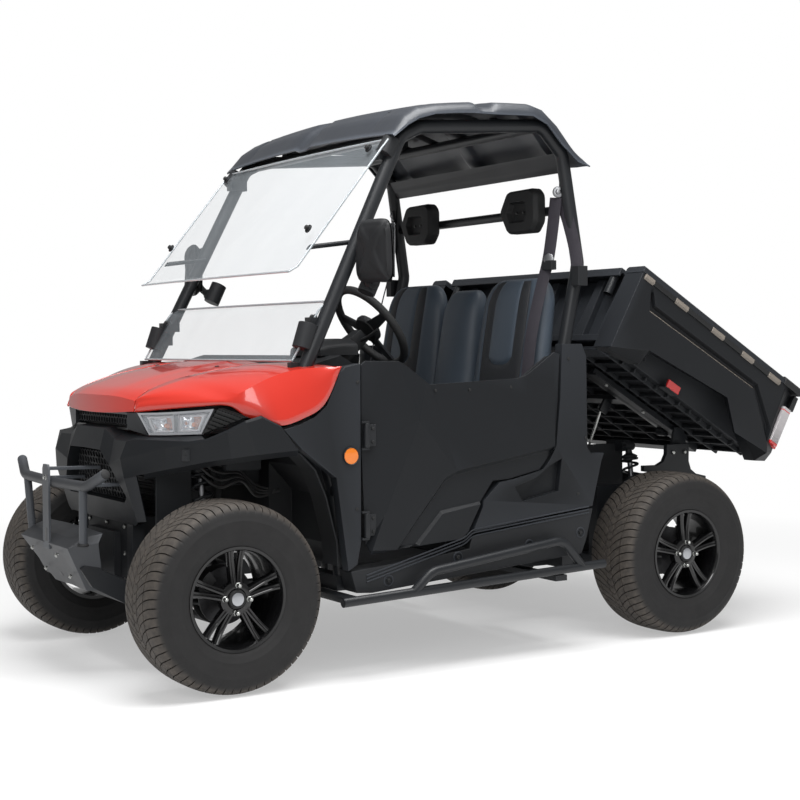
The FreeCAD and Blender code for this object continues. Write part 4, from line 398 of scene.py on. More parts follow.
def reckon(tree, operation, first, second):
    """One sum on two values."""
    return add(tree, "ShaderNodeMath", {0: first, 1: second}, operation=operation).outputs["Value"]


FINISHES = {
    # the lighter edge colour in the finishes below is part wear and part painted highlight on sharp edges
    # moulded polypropylene, spark-eroded grain: a soft sheen with no clear reflection
    GRAPHITE: look("#191B1E", "#15171A", 0.46, 2.2, 0.16, 140, worn="#33363B", level=0.26),
    # the roof's polypropylene: greyer and paler than the body panels, painted light for its sky-lit top, and
    # with a broader sheen
    "painted_skylit_polypropylene": look("#2E3238", "#282B31", 0.4, 2.2, 0.16, 140, worn="#4A4F57"),
    # unpainted black polypropylene: deeper and duller than the body panels
    BLACK: look("#17181A", "#1D1E20", 0.58, 2.6, 0.2, 90, worn="#2B2D30", level=0.3),
    # orange-red moulded-in colour under clear lacquer: sharp gloss with faint orange peel
    "gloss_red_plastic": look("#C12714", "#C42513", 0.3, 14, 0.02, 300, coat=1.0),
    # styrene-butadiene tread rubber: dull, brown with dust where it has rolled
    "tread_rubber": look("#222223", "#1B1B1C", 0.72, 3.0, 0.2, 60, dust="#5A534C", level=0.36),
    # black enamel on cast alloy: mirror gloss, slightly uneven
    "gloss_black_enamel": look("#0B0B0C", "#101011", 0.22, 9, 0.02, 60, coat=0.5, level=0.3),
    # satin powder coat on steel tube: fine orange peel
    SATIN: look("#1A1C1F", "#212326", 0.42, 3.5, 0.1, 120, level=0.36),
    # textured dark grey powder coat on the guard: coarse and dry
    "dark_grey_powder_coat": look("#2C2E32", "#27292C", 0.52, 2.4, 0.28, 90, worn="#5A5E64"),
    # sand-cast iron: grey, rough, grainy
    "cast_iron": look("#4A4A4B", "#3A3A3B", 0.6, 3.0, 0.35, 40, metallic=0.7),
    # brake discs: dark grey iron with a dull turned face
    "brake_iron": look("#3C3C3E", "#2E2E30", 0.42, 5, 0.05, 30, metallic=0.6),
    # turned steel, oiled
    "turned_steel": look("#9A9B9D", "#7C7D80", 0.32, 5, 0.05, 30, metallic=1.0),
    # bright zinc plate on nuts and bolts
    "zinc_plate": look("#C4C5C3", "#A9AAA6", 0.28, 4, 0.05, 20, metallic=1.0),
    # vacuum-metallised reflector: bright mirror
    "metallised_reflector": look("#E6E7E9", "#D4D6D9", 0.12, 30, 0.03, 25, metallic=1.0),
    # satin silver paint on the wheel caps and lamp bezels
    "satin_silver": look("#B4B6BA", "#A6A8AC", 0.35, 6, 0.03, 30, metallic=0.7),
    # expanded vinyl over foam: leather grain about 3 mm across, blue-grey
    "seat_vinyl": look("#46505B", "#3E4853", 0.5, 3.2, 0.3, 120, cells=True),
    # dark embossed vinyl inset
    "inset_vinyl": look("#26282C", "#202226", 0.62, 2.4, 0.4, 80, cells=True),
    # woven polyester webbing, ribs about 2 mm apart, drawn at 4 mm so that they show
    "polyester_webbing": look("#2C2830", "#25222A", 0.7, 4.0, 0.5, 60, weave=True),
    # skin of closed-cell foam and rubber
    "soft_rubber": look("#141516", "#1A1B1C", 0.7, 2.0, 0.3, 50),
    # red, amber and white lens plastics, prism-backed: glossy, with small cells
    "red_lens": look("#D0100C", "#B80C09", 0.3, 5, 0.3, 30, cells=True, coat=1.0),
    "amber_lens": look("#E67C06", "#D86C04", 0.16, 4, 0.35, 30, cells=True, coat=1.0),
    "white_lens": look("#B9B5B6", "#ABA7A9", 0.12, 6, 0.3, 30, cells=True, coat=1.0),
    # cable insulation and hoses
    "cable_sheath": look("#1B1B1B", "#262626", 0.5, 4, 0.1, 20),
    # painted highlight for the bright line along a clear sheet's edge: pale and bright
    "pane_edge": look("#AEB4B8", "#9DA4A9", 0.2, 6, 0.05, 40, coat=1.0),
    # lower lips of the bed's rails and ledges of its side channel: a paler, brownish grey, painted light for
    # their lit, up-facing faces
    "worn_lip": look("#857D74", "#736C64", 0.5, 2.4, 0.2, 40),
    # near-black plastic of slats and dark backs, also thin dark sheets set in slots and holes as painted
    # shade: a low satin sheen
    "louvre_black": look("#101112", "#161718", 0.4, 3, 0.1, 60),
}
POLYCARBONATE_IOR = 1.58
CHOSEN = {"gloss_red_plastic": "hood", GRAPHITE: "panels", "seat_vinyl": "seats"}


def finish(name):
    """One opaque finish: two near colours in slow clouds, grain or weave as bump, and edges painted lighter,
    part wear and part painted highlight.
    """
    found = bpy.data.materials.get(name)
    if found:
        return found
    spec = dict(FINISHES[name])
    if name in CHOSEN:
        spec["colour"] = getattr(bpy.context.scene.studio_colours, CHOSEN[name])
    made, tree, shader = new_material(name)
    place = add(tree, "ShaderNodeTexCoord").outputs["Object"]
    clouds = noise(tree, place, 1 / (spec["cloud"] * MM), 3.0)
    colour = blend(tree, clouds, linear(spec["colour"]), linear(spec["second"]))
    # painted highlight: sharp edges, picked out by pointiness, get a lighter colour, part edge wear and part
    # painted highlight
    if "worn" in spec:
        edge = ranged(tree, add(tree, "ShaderNodeNewGeometry").outputs["Pointiness"], 0.0, 1.0, 0.53, 0.6)
        colour = blend(tree, edge, colour, linear(spec["worn"]))
    if "dust" in spec:
        dust = add(tree, "ShaderNodeAttribute", attribute_name="dust").outputs["Fac"]
        amount = reckon(tree, "MULTIPLY", dust, noise(tree, place, 55.0, 4.0))
        colour = blend(tree, amount, colour, linear(spec["dust"]))
    scale = 1 / (spec["grain"] * MM)
    if "weave" in spec:
        waves = {"Vector": place, "Scale": scale / 3.1, "Distortion": 0.6}
        height = add(tree, "ShaderNodeTexWave", waves, bands_direction="Z").outputs["Fac"]
    elif "cells" in spec:
        cells = add(tree, "ShaderNodeTexVoronoi", {"Vector": place, "Scale": scale}, feature="SMOOTH_F1")
        height = cells.outputs["Distance"]
    else:
        height = noise(tree, place, scale, 2.0)
    bump = add(tree, "ShaderNodeBump", {"Height": height, "Strength": spec["depth"], "Distance": 0.001})
    fill(tree, shader, {
        "Base Color": colour,
        "Roughness": ranged(tree, clouds, spec["rough"] - 0.06, spec["rough"] + 0.06),
        "Metallic": spec.get("metallic", 0.0),
        "Coat Weight": spec.get("coat", 0.0),
        "Coat Roughness": 0.06,
        "Specular IOR Level": spec.get("level", 0.5),
        "Normal": bump.outputs["Normal"],
    })
    return made


def clear_finish(name, colour, alpha, rough):
    """A thin clear sheet: most light passes, the rest is a faint tint with a sharp gloss."""
    found = bpy.data.materials.get(name)
    if found:
        return found
    made, tree, shader = new_material(name)
    haze = noise(tree, add(tree, "ShaderNodeTexCoord").outputs["Object"], 6.0, 3.0)
    fill(tree, shader, {
        "Base Color": linear(colour),
        "Roughness": rough,
        "IOR": POLYCARBONATE_IOR,
        "Coat Weight": 0.4,
        "Alpha": ranged(tree, haze, alpha * 0.8, alpha * 1.2),
    })
    return made


def linked(name, data):
    """A new object in the scene."""
    obj = bpy.data.objects.new(name, data)
    bpy.context.scene.collection.objects.link(obj)
    return obj


# Pieces: points nearer than a merge distance become one, and a solid's faces flatter than the limit join
MERGE = 2e-6
SOLID_MERGE = 1e-5
FLAT_LIMIT = radians(1.2)


def piece(
    name, shell, material, replaces=(), body="chassis", bevel=0, angle=30, segments=2, wall=0,
    dust=None, marks=None,
):
    """A mesh object from a shell, or a list of shells, for each finish; marks choose between two finishes.
    Pieces of the bed and its gate are given level. The bevel and the wall are in millimetres."""
    if marks is not None:
        shell = [shell, (np.zeros((0, 3)), [])]
    if isinstance(material, str):
        shell, material = [shell], [material]
    shells = [one if isinstance(one, tuple) else joined(*one) for one in shell]
    pairs = list(zip(shells, material))
    points, faces = joined(*[pair[0] for pair in pairs])
    if body in ("bed", "gate"):
        points, faces = raised((points, faces))
    mesh = bpy.data.meshes.new(name)
    mesh.from_pydata(points.tolist(), [], faces)
    names = []
    index = []
    for one, finish_name in pairs:
        if finish_name not in names:
            names.append(finish_name)
            mesh.materials.append(CLEAR[finish_name]() if finish_name in CLEAR else finish(finish_name))
        index += [names.index(finish_name)] * len(one[1])
    mesh.polygons.foreach_set("material_index", array(index if marks is None else marks, np.int32))
    if dust is not None:
        mesh.attributes.new("dust", "FLOAT", "POINT").data.foreach_set("value", asarray(dust, np.float32))
    tool = bmesh.new()
    tool.from_mesh(mesh)
    bmesh.ops.remove_doubles(tool, verts=tool.verts, dist=MERGE)
    bmesh.ops.recalc_face_normals(tool, faces=tool.faces)
    tool.to_mesh(mesh)
    tool.free()
    return dressed(name, mesh, body, replaces, bevel, angle, segments, wall)


def dressed(name, mesh, body, replaces, bevel, angle, segments, wall=0):
    """Links a mesh as a piece: smooth with sharp edges kept, an optional bevel, and its body."""
    mesh.validate()
    mesh.shade_smooth()
    mesh.set_sharp_from_angle(angle=radians(angle if not bevel else 50))
    obj = linked(name, mesh)
    if wall:
        skin = obj.modifiers.new("wall", "SOLIDIFY")
        skin.thickness = wall * MM
        skin.offset = -1
    if bevel:
        edge = obj.modifiers.new("bevel", "BEVEL")
        edge.width = bevel * MM
        edge.segments = segments
        edge.limit_method = "ANGLE"
        edge.angle_limit = radians(angle)
        edge.harden_normals = True
        edge.use_clamp_overlap = True
    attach(obj, body)
    if replaces:
        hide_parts(*replaces)
    return obj


def body_of_node(node):
    """The body that a CAD node rides on."""
    return frame["nodes"][node]["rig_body"]


def moulded(node, material, bevel):
    """A merged copy of a CAD node with rounded edges, which stands for the node."""
    source = frame["nodes"][node].data
    tool = bmesh.new()
    tool.from_mesh(source)
    bmesh.ops.remove_doubles(tool, verts=tool.verts, dist=SOLID_MERGE)
    bmesh.ops.dissolve_limit(tool, angle_limit=FLAT_LIMIT, verts=tool.verts, edges=tool.edges)
    for face in tool.faces:
        face.material_index = 0
    mesh = bpy.data.meshes.new(node + "_finished")
    tool.to_mesh(mesh)
    tool.free()
    mesh.materials.clear()
    mesh.materials.append(CLEAR[material]() if material in CLEAR else finish(material))
    return dressed(node + "_finished", mesh, body_of_node(node), (node,), bevel, 25, 2)


# the windshield's clear sheet, faintly grey, and the brighter, sharper plastic over the headlamps
CLEAR = {
    "clear_polycarbonate": lambda: clear_finish("clear_polycarbonate", "#AEB6BC", 0.17, 0.04),
    "lamp_lens": lambda: clear_finish("lamp_lens", "#DDE2E8", 0.22, 0.03),
}


# Wheels
WHEELS = {
    "front_left": ("wheel_fl", 1),
    "front_right": ("wheel_fr", -1),
    "rear_left": ("wheel_rl", 1),
    "rear_right": ("wheel_rr", -1),
}
TYRE_PROFILE = mm(
    (305.0, 0), (304.8, 20), (304.2, 45), (302.8, 65), (300.0, 84), (295.0, 98), (287.0, 108), (276.0, 114.5),
    (262.0, 118.5), (245.0, 120), (225.0, 119), (205.0, 116), (188.0, 111), (175.0, 106.5), (167.0, 101),
    (160.0, 93),
)
TREAD_ROWS = mm(
    0, 6, 12, 14, 14.8, 17.2, 18, 26, 36, 46, 56, 59.2, 60, 62.4, 63.2, 70, 78, 86, 94, 100, 106, 112, 118,
    124, 130, 140, 151, 153, 156, 158, 175, 192, 200, 203, 206, 209, 222, 236,
)
LUG_STATIONS = [0.0, 0.045, 0.075, 0.28, 0.5, 0.72, 0.925, 0.955]


def within(value, low, high):
    """Where a value lies between two limits."""
    return (value > low) & (value < high)


def tyres(size):
    """Tread: a V of narrow grooves. A lug's columns follow its groove, so column angle = (lug + station
    - sweep(s)) * pitch, with sweep steep at the crown and nearly square at the shoulder."""
    profile = through(TYRE_PROFILE, 400)
    length = concatenate([[0], np.cumsum(np.linalg.norm(np.diff(profile, axis=0), axis=1))])
    half_rows = concatenate([TREAD_ROWS[TREAD_ROWS < length[-1] - 0.002], [length[-1]]])
    s = concatenate([-half_rows[:0:-1], half_rows])
    lugs = size.lug_count
    station = array(LUG_STATIONS)
    phase = (arange(lugs)[:, None] + station).ravel()
    local = np.tile(station, lugs)
    groove = interp(np.abs(local - 0.5), [0.0, 0.425, 0.455, 0.5], [0, 0, 1, 1])
    zigzag = (np.abs(local * 2 - 1) - 0.5) * 0.004
    distance = np.abs(s)[:, None]
    place = distance + zigzag[None] * (distance < 0.03) * (distance > 0.001)
    radius = interp(place, length, profile[:, 0])
    across = interp(place, length, profile[:, 1]) * np.sign(s)[:, None]
    slope_r = np.gradient(profile[:, 0], length)
    slope_w = np.gradient(profile[:, 1], length)
    normal_r = interp(place, length, slope_w)
    normal_w = -interp(place, length, slope_r) * np.sign(s)[:, None]
    sweep = 33 * (distance - distance**2 / 0.24) * (distance < 0.12) + 33 * 0.06 * (distance >= 0.12)
    angle = (phase[None] - sweep) * 2 * pi / lugs
    tread = interp(distance, [0, 0.104, 0.127], [1, 1, 0])
    ring = within(distance, 0.0145, 0.0175) | within(distance, 0.0595, 0.063)
    cut = np.maximum(groove[None] * interp(distance, [0, 0.008, 0.012], [0.25, 0.6, 1]), ring * 0.8) * tread
    rib = within(distance, 0.1525, 0.1565) * 0.0009 + within(distance, 0.2025, 0.2065) * 0.0012
    depth = cut * size.groove_depth - rib
    radius = radius - normal_r * depth
    across = across - normal_w * depth
    dust = np.clip(tread * (1.3 - cut * 0.9) + 0.05, 0, 1)
    for name, (body, side) in WHEELS.items():
        centre = middle_of("tyre_" + name)
        low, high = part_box("tyre_" + name)
        widen = (high.y - low.y) / 2 / 0.1205
        x, z = centre.x + radius * np.sin(angle), centre.z + radius * np.cos(angle)
        grid = stack([x, centre.y + across * widen * side, z], -1)
        piece(
            "tyre_" + name + "_treaded", surface(grid, close_u=True, close_v=True), "tread_rubber",
            ["tyre_" + name], body, angle=38, dust=np.broadcast_to(dust, radius.shape).ravel(),
        )


RIM_BARREL = mm(
    (166, 0), (166, -7), (158, -10), (153, -30), (146, -60), (146, -130), (153, -175), (158, -196),
    (166, -199), (166, -206), (154, -206), (149, -180), (141, -135), (141, -62), (148, -28), (153, -8),
    (157, -1),
)


def spoke(angle, lean):
    """One bar of a pair: a ridged section carried from the hub ring to the barrel, splayed by lean."""
    stations = linspace(0, 1, 9)
    reach = (47 + (151 - 47) * stations) * MM
    sideways = (lean * (9 + 8 * stations + 3 * stations**2)) * MM
    face = (-13 - 8 * np.sin(stations * pi / 2) + 10 * stations**3) * MM
    half = (10.4 - 0.4 * stations + 3.2 * np.clip(stations - 0.8, 0, 1) * 5 * 0.4) * MM
    deep = (26 - 8 * stations) * MM
    section = [
        (-1, -1.0), (-1.0, -0.25), (-0.8, -0.04), (-0.28, 0.0), (0.0, -0.12), (0.28, 0.0), (0.8, -0.04),
        (1.0, -0.25), (1, -1.0),
    ]
    section = array(section)
    a = sideways[:, None] + half[:, None] * section[None, :, 0]
    b = face[:, None] + deep[:, None] * section[None, :, 1]
    turn_cos, turn_sin = cos(angle), sin(angle)
    r = np.broadcast_to(reach[:, None], a.shape)
    return lofted(stack([r * turn_cos - a * turn_sin, b, r * turn_sin + a * turn_cos], -1))


def rims(size):
    """Barrel, hub, paired spokes, nuts and a plain cap, in wheel axes, then set on each axle."""
    for name, (body, side) in WHEELS.items():
        low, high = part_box("rim_" + name)
        outer = high.y if side > 0 else -low.y
        centre = middle_of("rim_" + name)
        barrel = revolved(RIM_BARREL, (0, 0, 0), 96)
        hub = revolved(
            mm((0.01, -45), (54, -45), (56, -30), (54, -17), (48, -14), (34, -14), (31, -17), (0.01, -17)),
            (0, 0, 0), 60,
        )
        turns = [pi / 2 + k * 2 * pi / size.spoke_count for k in range(size.spoke_count)]
        spokes = [spoke(angle, lean) for angle in turns for lean in (-1, 1)]
        nuts = []
        for k in range(4):
            angle = 0.08 + k * pi / 2
            at = array([cos(angle) * 0.043, -0.014, sin(angle) * 0.043])
            nuts.append(disc(at, (0, 1, 0), mm((9.5, 0), (9.5, 3), (8.2, 4), (8.2, 13), (6.5, 16.5)), 6))
            nuts.append(disc(at + [0, 0.012, 0], (0, 1, 0), mm((5.5, 0), (5.2, 5), (3.5, 7)), 12))
        ring = revolved(
            mm((21.5, -17), (29.5, -17), (29.5, -8), (27.5, -5.5), (23.5, -5.5), (21.5, -8)), (0, 0, 0), 48
        )
        cap = disc(
            (0, -0.016, 0), (0, 1, 0), mm((21.3, 0), (21.3, 9), (20.5, 10.6), (15, 12.2), (8, 12.8)), 40
        )
        valve = tube([(0.15, -0.016, 0), (0.143, -0.006, 0), (0.139, 0.004, 0)], 0.0032, 10, (0, 0, 1))
        shells = [joined(barrel, hub, *spokes), joined(*nuts), ring, cap, valve]
        names = ["gloss_black_enamel", "zinc_plate", "soft_rubber", "satin_silver", "soft_rubber"]
        offset = [centre.x, outer * side, centre.z]
        placed = [(points * [1, side, 1] + offset, faces) for points, faces in shells]
        piece("rim_" + name + "_spoked", placed, names, ["rim_" + name], body, angle=32)


def brakes():
    """Discs with callipers, seen between the spokes, their drilled holes painted shade as thin dark dots on
    the face; each stays with its knuckle or carrier.
    """
    for name, (_, side) in WHEELS.items():
        centre = middle_of("rim_" + name)
        front = name.startswith("front")
        node = ("knuckle_left" if side > 0 else "knuckle_right") if front else "rear_carriers"
        y = side * 0.612
        ring = revolved(mm((58, -2.2), (92, -2.2), (92, 2.2), (58, 2.2)), (centre.x, y, centre.z), 72)
        bell = revolved(mm((20, -12), (60, -2), (60, 2), (20, 6)), (centre.x, y, centre.z), 40)
        # the holes are painted shade: thin dark discs on the face, with no hole cut
        holes = []
        for k in range(24):
            angle = k * 2 * pi / 24
            reach = (0.067, 0.075, 0.083)[k % 3]
            at = (centre.x + reach * cos(angle), y + side * 0.0021, centre.z + reach * sin(angle))
            holes.append(disc(at, (0, side, 0), mm((2.6, 0), (2.6, 0.5)), 10))
        turn = 0.6 if front else 2.4
        angle = turn + linspace(-0.34, 0.34, 9)
        arc = stack([np.cos(angle), np.sin(angle)], -1)
        outline = concatenate([arc * 0.104, arc[::-1] * 0.066])
        calliper = plate(outline + [centre.x, centre.z], y - 0.02, y + 0.02)
        piece(
            "brake_" + name, [[ring, bell], holes, calliper], ["brake_iron", "soft_rubber", "cast_iron"],
            body=body_of_node(node),
        )


# Front body
def facets(places, faces, start=MIDDLE):
    """Flat faces over named places in millimetres from a station; a wall is given to the sheet afterwards."""
    index = {name: k for k, name in enumerate(places)}
    points = mm(*places.values()) + [start, 0, 0]
    return points, [[index[name] for name in face.split()] for face in faces]


def numbered(letter, places):
    """Places named by a letter and their number in the row."""
    return {letter + str(k): place for k, place in enumerate(places)}


FENDER_TOP = [
    (1142, 306, 786), (1132, 350, 795), (1071, 455, 793), (1024, 532, 793), (991, 583, 801),
    (945, 642, 830), (898, 680, 860), (850, 694, 876), (784, 702, 842),
]
FENDER_CREASE = [
    (1165, 306, 731), (1122, 380, 748), (1074, 460, 771), (1027, 538, 783), (992, 590, 795),
    (944, 649, 823), (897, 686, 852), (848, 699, 867), (780, 704, 835),
]
FENDER_LOW = [
    (1157, 319, 666), (1116, 386, 683), (1071, 460, 700), (1024, 538, 717), (980, 602, 731),
    (935, 655, 741), (860, 693, 752), (800, 701, 757), (722, 703, 762),
]
LAMP_SHELF = [(1080, 350, 802), (1045, 402, 803), (1008, 460, 806), (972, 515, 809)]


def fascia():
    """Left half as flat faces: grille shelf, face round the opening, leg, fender top, side and inner lip."""
    p = {}
    p.update(numbered("t", FENDER_TOP))
    p.update(numbered("c", FENDER_CREASE))
    p.update(numbered("l", FENDER_LOW))
    p.update(numbered("b", [(x - 16, y - 36, z - 20) for x, y, z in FENDER_LOW]))
    p.update({f"u{k + 1}": place for k, place in enumerate(LAMP_SHELF)})
    p.update(
        a0=(1098, 0, 828), a1=(1098, 130, 828), a2=(1098, 200, 812), a3=(1090, 306, 804),
        s0=(1149, 0, 822), s1=(1147, 130, 822), s2=(1143, 200, 788),
        o0=(1172, 0, 752), o1=(1170, 140, 750), o2=(1160, 197, 702), o3=(1135, 285, 600),
        w0=(1118, 0, 752), w1=(1118, 136, 750), w2=(1108, 190, 702), w3=(1085, 276, 600),
        k0=(1130, 0, 582), k1=(1129, 250, 580), j0=(1085, 0, 587), j1=(1085, 245, 585),
        m0=(1118, 0, 508), m1=(1114, 262, 510), m2=(1110, 296, 506), m3=(1112, 318, 520),
        n1=(1128, 352, 676), n2=(1088, 338, 522),
    )
    faces = [
        "a0 a1 s1 s0", "a1 a2 s2 s1", "a2 a3 t0 s2", "s0 s1 o1 o0", "s1 s2 o2 o1", "s2 t0 c0 o2", "o2 c0 l0"
    ]
    faces += [
        "o2 l0 o3", "o3 l0 m3 m2", "o3 m2 m1 k1", "k0 k1 m1 m0", "l0 n1 n2 m3", "o0 o1 w1 w0", "o1 o2 w2 w1"
    ]
    faces += ["o2 o3 w3 w2", "k0 k1 j1 j0", "k1 o3 w3 j1"]
    faces += ["a3 u1 t1 t0", "u1 u2 t2 t1", "u2 u3 t3 t2", "u3 u4 t4 t3"]
    for k in range(8):
        faces += [f"t{k} t{k + 1} c{k + 1} c{k}", f"c{k} c{k + 1} l{k + 1} l{k}"]
        if k:
            faces.append(f"l{k} l{k + 1} b{k + 1} b{k}")
    left = facets(p, faces)
    mask = dict(
        a=(1112, 238, 876), b=(1112, 238, 822), c=(1085, 346, 804), d=(1108, 314, 879),
        e=(1080, 234, 876), f=(1080, 234, 822),
    )
    mask = facets(mask, ["a b c d", "a b f e"])
    piece(
        "front_fascia_facets", joined(both(left), both(mask)), GRAPHITE,
        ["front_fascia"], bevel=4, angle=14, segments=3, wall=7,
    )


def grilles():
    """Two honeycombs in their frames; cells are rings of six walls."""
    upper = hexagons(0.47, 0.045, 0.0235, 0.0045, 0.014)
    upper = place_plane(upper, (MIDDLE + 1.102, 0, 0.848), (0, 1, 0), (0, 0, 1))
    lower = hexagons(0.44, 0.175, 0.0255, 0.0055, 0.016)
    lower = place_plane(lower, (MIDDLE + 1.112, 0, 0.66), (0, 1, 0), (0.21, 0, 1))
    backs = joined(
        box((1060, -240, 822), (1078, 240, 874)),
        box((1084, -238, 869), (1108, 238, 876)),
        box((1084, -238, 818), (1108, 238, 826)),
    )
    piece(
        "grille_mesh", [[upper, lower], backs], [BLACK, "louvre_black"],
        ["front_grilles"], angle=30,
    )


HOOD_CENTRE = mm((1137, 931), (1105, 951), (1060, 967), (960, 996), (840, 1022), (700, 1041), (655, 1044))
HOOD_EDGE = mm((1110, 916), (1088, 936), (1050, 957), (953, 989), (833, 1014), (700, 1033), (655, 1036))


def hood():
    """Height falls from the centre line to the seam with the fourth power of the width."""
    centre = through(HOOD_CENTRE, 30)
    edge = through(HOOD_EDGE, 30)
    share = array([0, 0.2, 0.4, 0.55, 0.6, 0.75, 0.88, 1.0])
    share = concatenate([-share[:0:-1], share])
    fall = np.abs(share) ** 4
    raised_band = interp(np.abs(share), [0.55, 0.62], [0.004, 0.0])
    x = centre[:, :1] + (edge[:, :1] - centre[:, :1]) * share**2
    z = centre[:, 1:] + (edge[:, 1:] - centre[:, 1:]) * fall + raised_band * linspace(0.2, 1, 30)[:, None]
    lip_x = 1.142 + (1.116 - 1.142) * share**2
    lip_z = 0.872 + 0.01 * share**2
    x = concatenate([lip_x[None] - 0.012, lip_x[None], x])
    z = concatenate([lip_z[None], lip_z[None], z])
    y = np.broadcast_to(share * 0.3025, x.shape)
    top = panel(stack([x + MIDDLE, y, z], -1)[:, ::-1], 4 * MM)
    stops = [stud((790, y, 1023.5), (0.12, 0, 1), [(8, 0), (8, 3), (5, 4.5)], 16) for y in (-253, 253)]
    piece(
        "hood_curved", [top, stops], ["gloss_red_plastic", "soft_rubber"], ["hood"],
        bevel=2.5, angle=30, segments=3,
    )


HOOD_SEAM = mm(
    (1112.5, 306.5, 884), (1107, 306.5, 917), (1087, 306.5, 936), (1050, 306.5, 957), (990, 306.5, 979),
    (930, 306.5, 995), (860, 306.5, 1009), (780, 306.5, 1022), (700, 306.5, 1033), (645, 306.5, 1036),
)
HOOD_SHOULDER = mm(
    (1111.5, 310, 883.5), (1100, 322, 914), (1047, 398, 924), (974, 508, 927), (920, 592, 929),
    (880, 638, 952), (826, 652, 981), (753, 660, 1008), (680, 672, 1021), (580, 700, 1026.5),
)
HOOD_SKIRT = mm(
    (1110.5, 312, 881), (1104, 320, 881), (1048, 402, 890), (974, 513, 901), (916, 598, 904), (872, 648, 868),
    (790, 697, 842), (705, 703.5, 862), (625, 704.5, 908), (562, 705, 1027.5),
)


def hood_sides():
    """Side panel lofted from three lines: a crowned slope from the seam to the shoulder crease, then a face
    that bulges a little down to the skirt; the crease itself stays sharp."""
    seam, shoulder, skirt = (through(line, 72) for line in (HOOD_SEAM, HOOD_SHOULDER, HOOD_SKIRT))
    u = linspace(0, 1, 9)[:, None, None]
    slope = seam * (1 - u) + shoulder * u + array([0, 0, 0.008]) * np.sin(u * pi)
    u = linspace(0, 1, 8)[1:, None, None]
    face = shoulder * (1 - u) + skirt * u + array([0.003, 0.006, 0.0]) * np.sin(u * pi)
    grid = concatenate([slope, face]) + array([MIDDLE, 0, 0])
    piece(
        "hood_side_facets", both(surface(grid)), "gloss_red_plastic", ["hood_side_panels"],
        angle=24, wall=4,
    )


LAMP_TOP = mm((1107, 316, 877), (1055, 391, 880), (1000, 474, 886), (946, 555, 894))
LAMP_LOW = mm((1082, 353, 806), (1045, 406, 807), (1008, 462, 810), (972, 517, 813))


def lamp_place(s, t, depth):
    """Point on the lamp's face: s along it, t up it, and depth behind it, along its outward line."""
    s, t, depth = np.broadcast_arrays(asarray(s, float), asarray(t, float), asarray(depth, float))
    low, top = through(LAMP_LOW, 61), through(LAMP_TOP, 61)
    u = s * 60
    k = np.clip(u.astype(int), 0, 59)
    part = (u - k)[..., None]
    a = low[k] * (1 - part) + low[k + 1] * part
    b = top[k] * (1 - part) + top[k + 1] * part
    point = a + (b - a) * t[..., None]
    along = b * 0 + low[k + 1] - low[k]
    out = stack([along[..., 1], -along[..., 0], 0.15 * np.linalg.norm(along, axis=-1)], -1)
    out /= np.linalg.norm(out, axis=-1, keepdims=True)
    return point - out * depth[..., None] + [MIDDLE, 0, 0]


def lamp_frame(s0, s1, t0, t1, band_s, band_t, front, back):
    """A four-sided frame on the lamp's face, its section a rectangle between two depths."""
    s = concatenate([linspace(s0, s1, 12), np.full(4, s1), linspace(s1, s0, 12), np.full(4, s0)])
    t = concatenate([np.full(12, t0), linspace(t0, t1, 4), np.full(12, t1), linspace(t1, t0, 4)])
    centre_s, centre_t = (s0 + s1) / 2, (t0 + t1) / 2
    half_s, half_t = (s1 - s0) / 2, (t1 - t0) / 2
    inner_s = centre_s + (s - centre_s) * (half_s - band_s) / half_s
    inner_t = centre_t + (t - centre_t) * (half_t - band_t) / half_t
    rings = [
        lamp_place(s, t, back), lamp_place(s, t, front), lamp_place(inner_s, inner_t, front),
        lamp_place(inner_s, inner_t, back),
    ]
    return surface(stack(rings, 1), close_u=True, close_v=True)


def reflector(s0, s1, t0, t1, deep):
    """A bowl on the lamp's face: depth falls with the fourth power of the distance from its middle."""
    a = linspace(-1, 1, 13)[:, None]
    b = linspace(-1, 1, 11)[None]
    bowl = deep * (1 - a**4) * (1 - b**4)
    grid = lamp_place((s0 + s1) / 2 + a * (s1 - s0) / 2, (t0 + t1) / 2 + b * (t1 - t0) / 2, bowl + 0.01)
    return panel(grid, -2 * MM)


